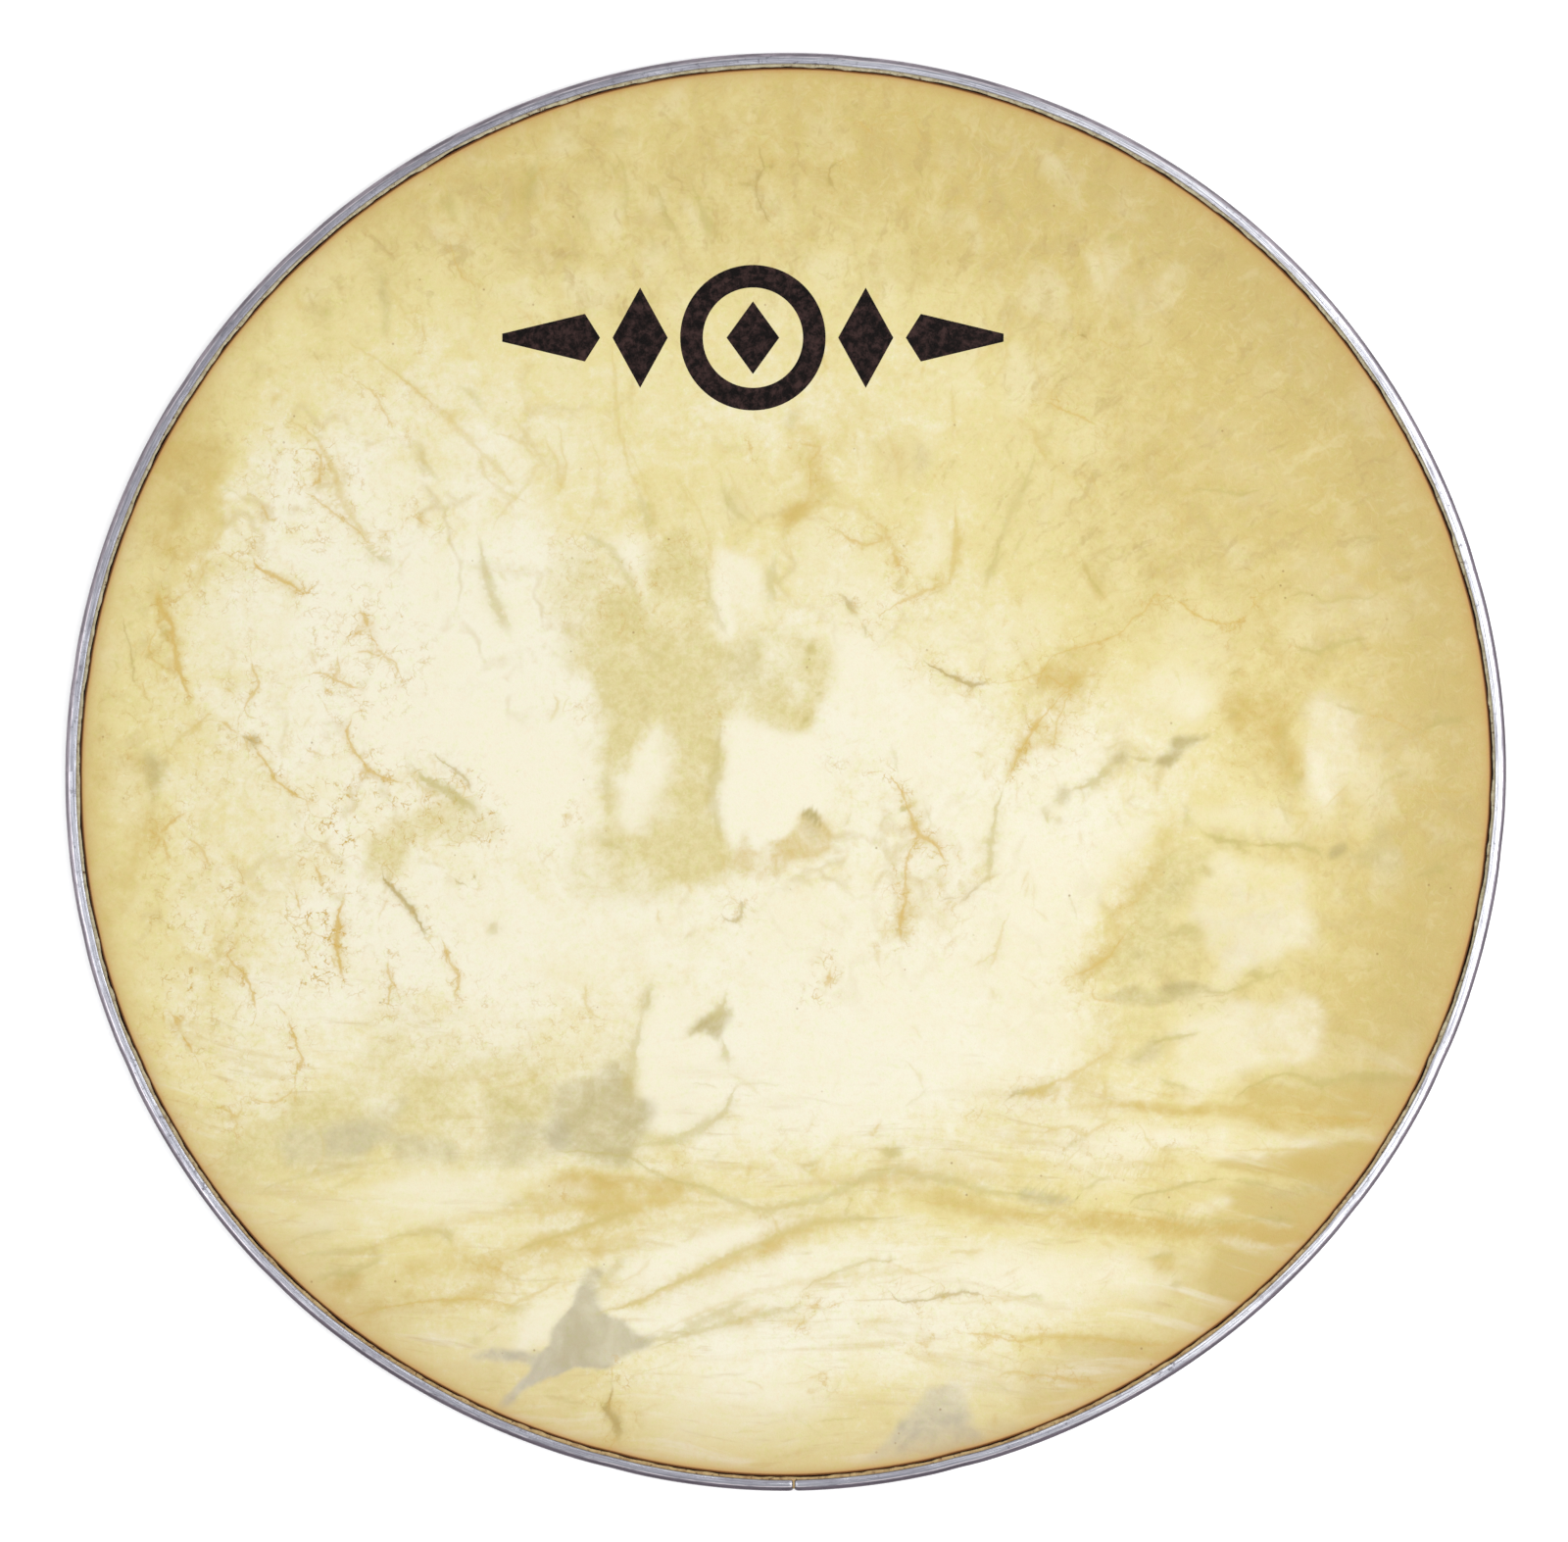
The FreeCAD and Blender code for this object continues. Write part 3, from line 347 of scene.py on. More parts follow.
    ("dark", 6.68, 0.602, [(131.2, 4.7), (134.3, 6.6), (138.6, 6.2)]), ("dark", 2.86, 0.645, [(136.3, 6.2), (142.1, 5), (148, 4.3)]),
    ("tan", 1.96, 0.38, [(171.5, 9.7), (175.4, 5), (180.1, 3.5), (185.5, 5.4)]), ("dark", 2.39, 0.43, [(175.4, 20.7), (178.1, 22.6), (180.4, 24.2)]),
    ("tan", 1.56, 0.38, [(178.5, 16.8), (180.4, 17.9)]), ("dark", 3.34, 0.387, [(157, -11.4), (159.7, -15.3), (160.5, -20), (165.2, -22.7)]),
    ("dark", 4.29, 0.774, [(165.2, -22.7), (169.1, -25.8), (175.4, -27.4), (181.6, -28.6), (187.9, -29)]),
    ("dark", 2.39, 0.688, [(185.1, -29), (194.9, -29.4), (202.7, -29.4), (208.6, -30.5), (212.5, -33.3), (214.5, -36.8)]),
    ("dark", 2.86, 0.344, [(225.8, -33.3), (232.4, -33.7)]), ("dark", 3.34, 0.559, [(248.5, -41.9), (253.6, -41.5), (259.8, -39.1), (266.1, -37.2)]),
    ("tan", 1.56, 0.3325, [(241.1, -49.7), (245.7, -52.4), (252.4, -54)]), ("dark", 3.34, 0.559, [(268.4, -30.9), (273.1, -29.4), (278.6, -31.7)]),
    ("tan", 2.35, 0.57, [(264.5, 35.2), (268.4, 37.9), (273.9, 39.1)]), ("tan", 1.96, 0.475, [(257.1, 76.2), (263.3, 78.9)]),
    ("dark", 4.77, 0.559, [(147.2, -66.5), (155.8, -64.9), (161.3, -63), (164.4, -66.1), (160.9, -68.5)]), ("dark", 6.68, 0.387, [(137.8, -72.4), (142.5, -74.7)]),
    ("tan", 5.08, 0.5225, [(145.6, -42.7), (151.1, -39.9)]), ("vein", 1.96, 0.5225, [(142.9, -48.9), (139.4, -51.7), (135.5, -54.4)]),
    ("dark", 4.29, 0.43, [(164.4, -37.6), (168.3, -40.3), (171.5, -41.5)]), ("dark", 6.68, 0.301, [(151.9, -44.2), (155.8, -48.1)]),
    ("vein", 1.37, 0.57, [(137, -63), (132.4, -69.6), (126.5, -75.5), (120.6, -79.4), (114.4, -81.8)]),
    ("vein", 1.37, 0.475, [(121.4, -86.5), (123.8, -90.8), (130.8, -91.9)]),
    ("dark", 2.39, 0.516, [(168.3, -88.4), (175.4, -88), (181.2, -86.5), (187.1, -83.3), (193, -81.4), (199.6, -79)]),
    ("dark", 4.77, 0.559, [(182.4, -81.8), (187.1, -80.6), (191.4, -81)]), ("tan", 1.56, 0.38, [(93.6, -48.9), (95.2, -43), (98.3, -38.7)]),
    ("tan", 1.17, 0.285, [(97.9, -54), (101.9, -56.7), (105.8, -60.6)]), ("dark", 2.86, 0.473, [(93.3, -129.1), (99.1, -127.5), (105, -125.6), (109.7, -123.2)]),
    ("tan", 2.74, 0.6175, [(91.3, -129.5), (101.1, -127.1), (109.7, -123.2), (114.8, -120.9), (120.6, -117.3), (126.5, -113.4), (131.6, -111.5)]),
    ("dark", 4.77, 0.43, [(133.5, -114.6), (140.2, -113.8), (145.6, -109.9), (148.4, -107.6)]),
    ("dark", 2.39, 0.645, [(144.9, -108), (151.9, -106.8), (157.8, -105.6), (166, -103.7)]), ("dark", 4.77, 0.516, [(145.6, -108), (149.6, -107.2)]),
    ("dark", 2.15, 0.43, [(147.2, -122), (153.9, -124.4), (159.3, -125.9), (158.6, -129.5)]), ("tan", 1.96, 0.475, [(126.1, -121.6), (128.1, -126.3), (124.9, -131)]),
    ("vein", 1.37, 0.6175, [(193.3, -135.7), (206.6, -136.9), (218.4, -138.5), (228.1, -139.2), (234.8, -138.8)]),
    ("dark", 3.82, 0.602, [(177.3, -133), (180.1, -129.5), (185.1, -125.6), (191, -123.6), (194.9, -121.2), (200.8, -120.5), (206.6, -122.4), (214.5, -124.4), (220.3, -123.2), (228.1, -121.2), (237.9, -121.6), (247.7, -122.4), (253.2, -121.6)]),
    ("dark", 6.68, 0.387, [(197.3, -124), (200.8, -124.8)]), ("dark", 5.25, 0.387, [(210.9, -124.8), (214.1, -124)]),
    ("tan", 2.44, 0.5225, [(177.3, -151.4), (191, -150.6), (206.6, -151), (226.2, -151), (234.8, -148.2)]),
    ("dark", 1.67, 0.645, [(136.3, -173.6), (140.2, -169.3), (146, -168.2), (153.9, -166.6), (161.7, -164.3), (169.5, -163.1), (175.8, -161.9)]),
    ("dark", 2.39, 0.473, [(175, -161.9), (183.2, -163.5), (194.9, -164.7)]),
    ("vein", 1.17, 0.475, [(116.7, -175.2), (128.4, -176.4), (140.2, -177.2), (151.9, -179.9), (160.5, -181.1)]),
    ("dark", 2.39, 0.43, [(136.3, -173.3), (146, -175.2), (155.8, -177.2), (165.6, -179.1), (175.4, -179.5), (184, -179.1)]),
    ("dark", 2.86, 0.516, [(180.1, -179.5), (191, -178.3), (198.8, -179.1), (207.4, -179.9)]), ("crack", 1.17, 0.76, [(196.1, -177.2), (197.7, -178.3)]),
    ("dark", 4.29, 0.43, [(93.3, -169), (101.1, -170.1), (108.9, -170.5), (114, -171.3)]), ("crack", 1.17, 0.76, [(115.9, -171.7), (117.1, -169.3)]),
    ("dark", 2.39, 0.43, [(115.9, -167.8), (121.4, -165.4), (125.3, -162.7), (130.8, -162.3)]),
    ("tan", 1.96, 0.475, [(101.1, -146.3), (106.9, -142.4), (114.8, -142), (120.6, -144.7), (125.3, -141.6), (133.1, -137.7)]),
    ("dark", 1.91, 0.344, [(108.1, -152.1), (114.8, -148.2), (120.6, -145.1)]), ("tan", 2.44, 0.3325, [(108.9, -157.6), (113.2, -153.7)]),
    ("tan", 1.76, 0.4275, [(140.2, -139.6), (144.1, -145.9), (147.2, -149.8), (153.9, -150.6), (162.5, -150.6)]),
    ("tan", 1.96, 0.38, [(136.3, -155.7), (142.1, -155.7), (148.4, -157.6)]), ("dark", 2.86, 0.344, [(149.6, -151), (153.9, -149.8)]),
    ("tan", 1.96, 0.3325, [(151.9, -155.3), (160.1, -157.6)]), ("dark", 3.34, 0.688, [(142.9, -194.4), (147.2, -193.6), (151.9, -193.6), (157, -193.6)]),
    ("tan", 2.93, 0.57, [(143.3, -193.6), (150.3, -195.1), (157, -193.2)]), ("dark", 2.39, 0.473, [(151.5, -205.3), (155, -204.5), (158.9, -203.4)]),
    ("tan", 2.93, 0.4275, [(124.5, -186.5), (127.7, -188.1), (132.7, -190.8)]), ("dark", 2.15, 0.43, [(92.5, -209.2), (99.1, -209.2), (104.6, -210)]),
    ("tan", 1.96, 0.475, [(172.6, -192.4), (183.2, -190.8), (194.9, -191.6), (206.6, -192), (213.3, -189.3)]),
    ("dark", 2.39, 0.516, [(170.7, -207.3), (175.4, -209.2), (181.2, -210.4), (185.9, -209.6)]), ("tan", 2.44, 0.38, [(171.5, -200.6), (182.4, -202.6), (189.8, -204.5)]),
    ("tan", 2.93, 0.7125, [(91.7, -227.2), (101.1, -225.6), (108.9, -225.3), (118.7, -226), (130.4, -226.8), (138.2, -228), (148, -228.8), (156.6, -228)]),
    ("vein", 1.17, 0.3325, [(101.1, -225.6), (118.7, -226), (138.2, -228), (151.9, -228.8)]),
    ("vein", 1.56, 0.57, [(94.4, -240.5), (101.1, -240.5), (108.9, -241.7), (118.7, -242.9), (127.3, -243.6)]), ("dark", 2.86, 0.344, [(101.1, -240.1), (103.8, -240.9)]),
    ("tan", 4.4, 0.475, [(148, -234.2), (153.9, -230.3), (162.1, -224.1)]), ("dark", 3.34, 0.387, [(162.9, -221), (169.9, -218.6), (175.8, -216.3)]),
    ("dark", 8.59, 0.301, [(-277.4, -1.2), (-271.2, -5.1)]),
    ("tan", 5.87, 0.475, [(-129.6, -200.6), (-110.1, -192.8), (-90.5, -185.8), (-78.8, -181.1), (-59.2, -175.2), (-43.6, -171.7), (-23.3, -173.3)]),
    ("dark", 2.86, 0.344, [(-110.1, -192), (-90.5, -185), (-74.9, -179.5), (-59.2, -174.8)]),
    ("tan", 5.38, 0.475, [(-71, -214.3), (-55.3, -210.4), (-39.7, -201.4), (-20.1, -194.8), (-0.6, -185.8), (19, -181.1)]),
    ("tan", 7.33, 0.38, [(89.3, -177.2), (116.7, -179.9), (148, -183.4), (179.3, -185.8), (206.6, -184.2)]),
    ("light", 5.47, 0.285, [(-135.5, 153.2), (-117.9, 135.6), (-96.4, 112.2)]), ("light", 5.47, 0.285, [(-157, 139.5), (-137.4, 112.2), (-110.1, 96.5)]),
    ("light", 6.26, 0.285, [(-149.2, 202.1), (-129.6, 178.6), (-110.1, 155.2)]), ("light", 5.08, 0.285, [(-184.4, 151.3), (-160.9, 123.9), (-137.4, 96.5)]),
    ("light", 5.08, 0.285, [(-78.8, 143.5), (-74.1, 131.7), (-74.9, 120)]), ("light", 5.47, 0.3325, [(-47.5, 112.2), (-43.6, 100.4), (-31.9, 94.6)]),
    ("light", 5.87, 0.285, [(54.2, 108.3), (58.1, 96.5), (58.1, 80.9)]), ("light", 5.87, 0.285, [(95.2, 84.8), (101.1, 96.5), (110.8, 112.2)]),
    ("light", 5.47, 0.285, [(108.9, 143.5), (112.8, 131.7), (114.8, 122)]), ("light", 4.69, 0.285, [(30.7, 112.2), (34.6, 104.4), (36.6, 96.5)]),
    ("light", 4.69, 0.2375, [(-82.7, 241.2), (-76.8, 229.5), (-72.9, 215.8)]), ("light", 4.69, 0.2375, [(-59.2, 241.2), (-56.1, 229.5), (-53.4, 217.7)]),
    ("light", 4.69, 0.2375, [(-43.6, 233.4), (-38.9, 223.6), (-35, 213.8)]), ("light", 4.69, 0.2375, [(-145.3, 229.5), (-141.3, 215.8), (-136.7, 202.1)]),
    ("light", 4.69, 0.2375, [(-110.1, 237.3), (-112, 225.6), (-117.9, 213.8)]), ("light", 4.69, 0.209, [(73.7, 223.6), (77.6, 206), (81.5, 190.4)]),
    ("light", 4.69, 0.209, [(40.5, 252.9), (44.4, 243.2), (48.3, 233.4)]), ("tan", 6.84, 0.285, [(108.9, -251.5), (132.4, -239.7), (151.9, -228.8)]),
    ("tan", 5.47, 0.285, [(38.5, 273.3), (62, 270.5), (85.4, 265.4)]), ("tan", 2.35, 0.323, [(-117.5, 95), (-112.8, 103.6), (-102.6, 114.9), (-98.3, 125.1)]),
    ("tan", 2.35, 0.342, [(-2.9, 90.3), (4.5, 100.4), (15.8, 106.3), (30.3, 103.6), (42, 91.8), (44.8, 80.5)]),
    ("tan", 2.35, 0.342, [(-13.1, 97.7), (1.4, 99.3), (8.8, 106.3), (13.1, 112.2), (24.4, 116.5)]),
    ("tan", 1.96, 0.323, [(-42, 116.5), (-35, 104.4), (-30.3, 91.8), (-30.3, 80.9)]), ("tan", 1.96, 0.304, [(8.8, 129.4), (13.1, 112.2)]),
    ("tan", 1.96, 0.304, [(38.9, 147), (40.5, 135.6), (44.8, 123.9), (46.3, 112.2)]),
    ("tan", 1.96, 0.304, [(97.2, 138.4), (102.6, 126.6), (117.1, 114.9), (124.5, 104.4)]), ("tan", 2.35, 0.323, [(68.2, 106.3), (67.4, 88.7), (66.7, 74.6)]),
    ("tan", 2.35, 0.285, [(-78.8, 135.6), (-74.1, 120), (-76.4, 104.4), (-82.7, 93.4)]),
    ("tan", 2.74, 0.285, [(-63.1, 131.7), (-55.3, 112.2), (-50.6, 96.5), (-39.7, 88.7)]), ("tan", 2.35, 0.285, [(-24, 123.9), (-19.4, 112.2), (-8.4, 96.5)]),
    ("tan", 2.35, 0.285, [(-110.1, 143.5), (-100.3, 129.8), (-94.4, 120)]), ("tan", 3.52, 0.285, [(214.5, 88.7), (234, 73.1), (253.6, 69.2)]),
    ("dark", 3.34, 0.2924, [(228.1, 90.7), (238.7, 93.4)]), ("dark", 3.34, 0.2924, [(256.7, 77), (263.3, 78.6)]), ("dark", 4.29, 0.3268, [(264.5, 37.9), (271.5, 38.7)]),
    ("tan", 3.13, 0.323, [(251.6, -7.1), (265.3, -7.5), (273.1, -8.3)]), ("tan", 3.52, 0.285, [(237.9, -46.2), (249.7, -54), (265.3, -56)]),
    ("dark", 3.34, 0.2924, [(128.4, 84.8), (125.3, 73.1)]), ("tan", 3.13, 0.323, [(108.9, -134.2), (140.2, -132.6), (179.3, -135.7), (234, -140.4)]),
    ("tan", 2.93, 0.285, [(116.7, -161.5), (148, -163.9), (179.3, -177.2), (206.6, -184.2)]), ("tan", 2.93, 0.285, [(148, -196.7), (183.2, -200.6), (210.6, -199.1)]),
    ("tan", 2.93, 0.285, [(62, -212.4), (81.5, -210.8), (101.1, -209.2)]), ("dark", 3.91, 0.46, [(-99.1, 244.3), (-101.9, 233.4), (-103.4, 224)]),
    ("dark", 3.13, 0.4, [(-138.2, 232.6), (-134.3, 223.6), (-129.2, 216.2)]), ("dark", 2.74, 0.34, [(-71.7, 245.9), (-66.3, 236.5)]),
    ("dark", 3.13, 0.38, [(-56.1, 218.5), (-53, 210.7), (-52.2, 204.5)]), ("dark", 2.74, 0.36, [(-35.8, 229.5), (-31.1, 215.8), (-29.9, 209.1)]),
    ("tan", 2.35, 0.36, [(6.5, 218.5), (11.9, 207.6)]), ("tan", 2.35, 0.34, [(82.3, 236.1), (78, 217.7), (82.3, 205.2)]), ("tan", 2.35, 0.3, [(50.2, 238.1), (47.9, 217)]),
    ("tan", 2.35, 0.3, [(95.6, 238.1), (93.3, 219.3)]), ("tan", 2.35, 0.3, [(27.6, 249.8), (26, 232.6)]),
    ("tan", 2.35, 0.34, [(77.6, 190.4), (82.3, 170.8), (71.7, 158.3)]), ("tan", 2.35, 0.34, [(101.1, 179.4), (100.3, 159.1), (107.3, 146.6)]),
    ("tan", 2.35, 0.3, [(124.5, 209.9), (128.4, 192.7)]), ("dark", 2.74, 0.3, [(136.3, 191.2), (140.2, 177.9)]),
    ("tan", 2.35, 0.3, [(148, 166.9), (154.2, 151.3), (151.9, 135.6)]), ("tan", 2.35, 0.3, [(171.5, 143.5), (180.1, 127), (194.9, 123.9)]),
    ("tan", 2.35, 0.3, [(206.6, 123.9), (214.5, 108.3)]), ("tan", 2.35, 0.3, [(62, 268.6), (58.8, 252.9), (62, 241.2)]), ("tan", 2.35, 0.28, [(116.7, 249), (114.4, 231)]),
    ("tan", 3.91, 0.28, [(-184.4, -196.7), (-129.6, -178.7), (-78.8, -173.3), (-39.7, -167)]),
    ("tan", 3.91, 0.28, [(-137.4, -213.1), (-78.8, -189.7), (-31.9, -177.9), (11.1, -171.7)]),
    ("tan", 3.52, 0.26, [(-63.1, -228.8), (-16.2, -209.2), (22.9, -201.4), (65.9, -199.1)]), ("tan", 3.52, 0.26, [(77.6, -153.7), (116.7, -157.6), (159.7, -155.3)]),
    ("light", 5.47, 0.34, [(-129.6, -185.8), (-78.8, -180.3), (-39.7, -174)]), ("light", 5.47, 0.34, [(-71, -200.6), (-24, -185.8), (11.1, -179.5)]),
    ("light", 5.47, 0.34, [(-39.7, -224.1), (7.2, -208.4), (46.3, -206.9)]),
]
PATCHES = [
    ("dark", 3.1, 0.22, [(-162.9, 202.1), (-157, 194.3), (-156.2, 170.8), (-160.9, 172.8), (-163.2, 190.4)]),
    ("ochre", 9.4, 0.35, [(-254.7, 123.9), (-243, 143.5), (-221.5, 151.3), (-221.5, 135.6), (-229.3, 112.2), (-231.3, 94.6), (-254.7, 88.7)]),
    ("tan", 2.3, 0.55, [(-249.7, 62.1), (-243, 57.4), (-243.8, 51.6), (-248.9, 54.3)]),
    ("tan", 5.5, 0.25, [(-248.9, 82.9), (-239.1, 88.7), (-229.3, 82.9), (-233.2, 73.1), (-245, 72.3)]),
    ("veil", 3.5, 0.6, [(-157, -18.8), (-137.4, -11), (-119.8, -12.9), (-117.1, -24.7), (-125.7, -28.6), (-141.3, -30.5), (-149.2, -40.3), (-158.9, -46.2), (-167.9, -40.3), (-168.7, -28.6), (-164.8, -22.7)]),
    ("veil", 10.2, 0.3, [(-157, -120.5), (-133.5, -116.6), (-94.4, -114.6), (-94.4, -153.7), (-125.7, -145.9), (-153.1, -142)]),
    ("lilac", 4.7, 0.528, [(-202, -142), (-184.4, -140), (-160.9, -134.2), (-149.2, -132.2), (-157, -145.9), (-176.5, -155.7), (-196.1, -155.7)]),
    ("lilac", 3.9, 0.44, [(-158.9, -145.9), (-137.4, -143.9), (-133.5, -153.7), (-153.1, -157.6)]),
    ("lilac", 3.9, 0.44, [(-117.9, -138.1), (-94.4, -138.1), (-86.6, -145.9), (-102.2, -155.7), (-125.7, -153.7)]),
    ("tan", 2.7, 0.5, [(-184.4, -202.6), (-170.7, -200.6), (-167.9, -204.5), (-176.5, -210.4), (-178.5, -214.3), (-186.3, -210.4)]),
    ("lilac", 2.3, 0.704, [(-114, -253.4), (-106.2, -245.6), (-100.3, -239.7), (-86.6, -220.2), (-86.6, -237.8), (-94.4, -241.7), (-102.2, -247.5), (-110.1, -255.4)]),
    ("lilac", 3.1, 0.308, [(-117.9, -233.9), (-102.2, -231.1), (-94.4, -233.9), (-100.3, -239.7), (-114, -237.8)]),
    ("tan", 3.1, 0.4, [(-0.6, 104.4), (7.2, 106.3), (13.1, 104.4), (11.1, 99.3), (1.4, 99.3)]),
    ("lilac", 3.9, 0.264, [(47.5, 129.8), (54.2, 131.7), (59.2, 127.8), (58.1, 120), (50.2, 118.8)]),
    ("veil", 7, 0.62, [(-90.5, 88.7), (-78.8, 93.4), (-67.1, 84.8), (-59.2, 71.1), (-53.4, 88.7), (-43.6, 94.6), (-28, 93.4), (-31.1, 80.9), (-31.9, 71.1), (-28, 61.3), (-22.1, 53.5), (-10.4, 57.4), (-0.6, 60.6), (11.1, 54.3), (17, 45.7), (14.3, 34), (10.4, 19.1), (-8.4, 20.7), (-24.8, 21.5), (-39.7, 18.3), (-47.5, 24.2), (-59.2, 14.4), (-69, 6.6), (-76.8, 16.4), (-78.8, 34), (-88.6, 41.8), (-93.6, 57.4), (-94.4, 73.1)]),
    ("veil", 5.9, 0.6, [(-76.8, 18.3), (-59.2, 14.4), (-63.1, 6.6), (-67.8, -5.1), (-67.8, -22.7), (-63.1, -26.6), (-74.9, -28.6), (-78.8, -24.7), (-74.1, -16.9), (-76.8, -1.2)]),
    ("veil", 5.9, 0.66, [(-43.6, 26.2), (-24.8, 20.3), (-25.6, 8.6), (-27.2, -5.1), (-27.2, -20.8), (-24, -32.5), (-16.2, -40.3), (-39.7, -44.2), (-41.6, -24.7), (-39.7, -5.1), (-40.9, 10.5)]),
    ("veil", 7, 0.62, [(-88.6, -24.7), (-78.8, -23.9), (-63.1, -27.8), (-43.6, -24.7), (-24, -30.5), (-14.3, -36.4), (-16.2, -42.3), (-28, -48.1), (-43.6, -50.1), (-55.3, -54), (-71, -56), (-82.7, -50.1), (-88.6, -40.3)]),
    ("tan", 2.7, 0.6, [(-22.1, -36.4), (-15.4, -24.7), (-12.3, -30.5), (-6.5, -29.4), (4.1, -22.7), (5.3, -16.9), (14.3, -16.1), (17, -28.6), (11.1, -36.4), (3.3, -38.4), (-2.5, -42.3), (-14.3, -44.2)]),
    ("lilac", 9.4, 0.2992, [(-26, 51.6), (-16.2, 57.4), (-6.5, 55.5), (-4.5, 45.7), (-6.5, 34), (-16.2, 30.1), (-24, 34), (-26, 41.8)]),
    ("light", 5.1, 0.95, [(-30.7, 73.9), (-26, 86.8), (-22.1, 88.7), (-18.2, 82.9), (-19.4, 73.1), (-20.9, 59.4), (-23.3, 53.5), (-28, 61.3)]),
    ("light", 5.1, 0.84, [(-18.2, 84), (-12.3, 84.8), (-10, 73.1), (-12.3, 64.5), (-17, 68.4)]),
    ("light", 4.7, 0.95, [(-24.8, 19.1), (-0.6, 19.1), (7.2, 16.4), (14.3, 10.5), (14.3, -14.9), (5.3, -16.9), (-0.6, -24.7), (-8.4, -29.4), (-14.3, -26.6), (-22.1, -32.5), (-24.8, -22.7), (-27.2, -5.1), (-25.2, 8.6)]),
    ("light", 5.1, 0.89, [(-58.5, 6.6), (-52.2, 16.4), (-47.5, 19.1), (-46.7, 12.5), (-43.6, 6.6), (-42.8, -5.1), (-43.6, -18.8), (-53.4, -24.7), (-63.1, -25.5), (-67.1, -22.7), (-67.8, -9), (-63.1, 0.7)]),
    ("light", 5.5, 0.84, [(-72.1, 94.6), (-57.3, 93.4), (-53.4, 80.9), (-57.3, 73.1), (-63.1, 78.9)]),
    ("dark", 1.6, 0.95, [(6.5, -15.7), (11.9, -15.7), (11.9, -20), (6.5, -20)]), ("lilac", 2.7, 0.396, [(5.7, -20.8), (12.7, -20.8), (12.7, -27.8), (6.5, -28.6)]),
    ("lilac", 4.7, 0.484, [(-94.4, -122.4), (-78.8, -120.5), (-65.1, -116.6), (-59.2, -126.3), (-53.4, -128.3), (-51.4, -138.1), (-59.2, -149.8), (-57.3, -155.7), (-71, -155.7), (-94.4, -149.8)]),
    ("dark", 6.3, 0.25, [(-94.4, -122.4), (-78.8, -120.5), (-65.1, -116.6), (-59.2, -126.3), (-53.4, -128.3), (-51.4, -138.1), (-59.2, -149.8), (-57.3, -155.7), (-71, -155.7), (-94.4, -149.8)]),
    ("dark", 2.3, 0.75, [(-37.7, -99), (-29.9, -97), (-24, -95.1), (-24.8, -102.9), (-28, -108.7), (-33.8, -104.8), (-38.5, -106.8)]),
    ("tan", 3.9, 0.3, [(-94.4, -155.7), (-71, -155.7), (-39.7, -159.6), (-35.8, -166.2), (-63.1, -164.7), (-94.4, -163.9)]),
    ("lilac", 2.7, 0.748, [(-94.4, -224.1), (-86.6, -216.3), (-80.7, -206.5), (-74.1, -208.4), (-71, -218.2), (-59.2, -224.9), (-55.3, -228), (-63.1, -231.1), (-74.9, -237.8), (-86.6, -239.7), (-94.4, -242.9)]),
    ("ochre", 3.9, 0.4, [(50.2, -171.3), (77.6, -172.5), (101.1, -175.2), (101.1, -181.9), (77.6, -181.1), (54.2, -177.2)]),
    ("lilac", 3.1, 0.748, [(30.7, -276.9), (40.5, -265.1), (50.2, -251.5), (56.1, -245.6), (67.8, -241.7), (71.7, -251.5), (73.7, -259.3), (77.6, -267.1), (77.6, -270.2), (54.2, -274.9)]),
    ("veil", 7, 0.4, [(191.8, 34), (199.6, 32), (204.7, 22.2), (203.5, 10.5), (209.8, -1.2), (204.7, -7.1), (196.9, -1.2), (191, 10.5), (193.3, 22.2)]),
    ("dark", 2, 0.85, [(146.8, 3.5), (149.2, 7), (155, 11.3), (162.9, 13.3), (172.2, 15.6), (166.8, 10.9), (158.6, 7.4), (153.5, 3.1), (149.6, 1.9)]),
    ("tan", 3.1, 0.4, [(144.1, -5.1), (148, 1.9), (151.1, 0.4), (150.3, -5.1), (155.8, -8.3), (151.1, -11)]),
    ("tan", 3.1, 0.42, [(194.9, -29.4), (208.6, -30.9), (215.2, -36.4), (214.5, -41.5), (206.6, -41.1), (200.4, -34.8)]),
    ("dark", 2, 0.65, [(217.2, -32.9), (220.3, -30.1), (224.2, -29.4), (226.6, -32.5), (224.6, -36.4), (219.2, -37.2)]),
    ("dark", 3.5, 0.42, [(234.4, -24.7), (237.1, -18.8), (241.1, -20.8), (244.2, -26.6), (248.1, -30.5), (248.1, -36.4), (241.8, -40.3), (234, -39.1), (223.1, -39.1), (228.1, -34.8), (232.4, -31.7)]),
    ("lilac", 4.7, 0.264, [(234.4, -24.7), (237.1, -18.8), (241.1, -20.8), (244.2, -26.6), (248.1, -30.5), (248.1, -36.4), (241.8, -40.3), (234, -39.1), (228.1, -34.8)]),
    ("tan", 3.5, 0.35, [(212.5, -42.3), (220.3, -50.1), (227, -46.2), (230.9, -40.3), (223.1, -39.5)]),
    ("veil", 3.1, 0.7, [(164.4, -27.8), (171.5, -31.7), (167.5, -38), (172.2, -42.7), (162.1, -40.7), (158.2, -46.2), (156.2, -52), (153.9, -59.1), (160.5, -61.4), (165.2, -64.2), (166, -69.6), (156.6, -72.4), (148.8, -73.9), (144.9, -79.4), (141, -84.1), (128.4, -84.5), (121.8, -83.7), (124.5, -77.5), (130.4, -69.6), (134.7, -61.8), (136.7, -54), (140.6, -46.2), (144.5, -40.3), (150.3, -36.4), (156.2, -32.5), (159.7, -29)]),
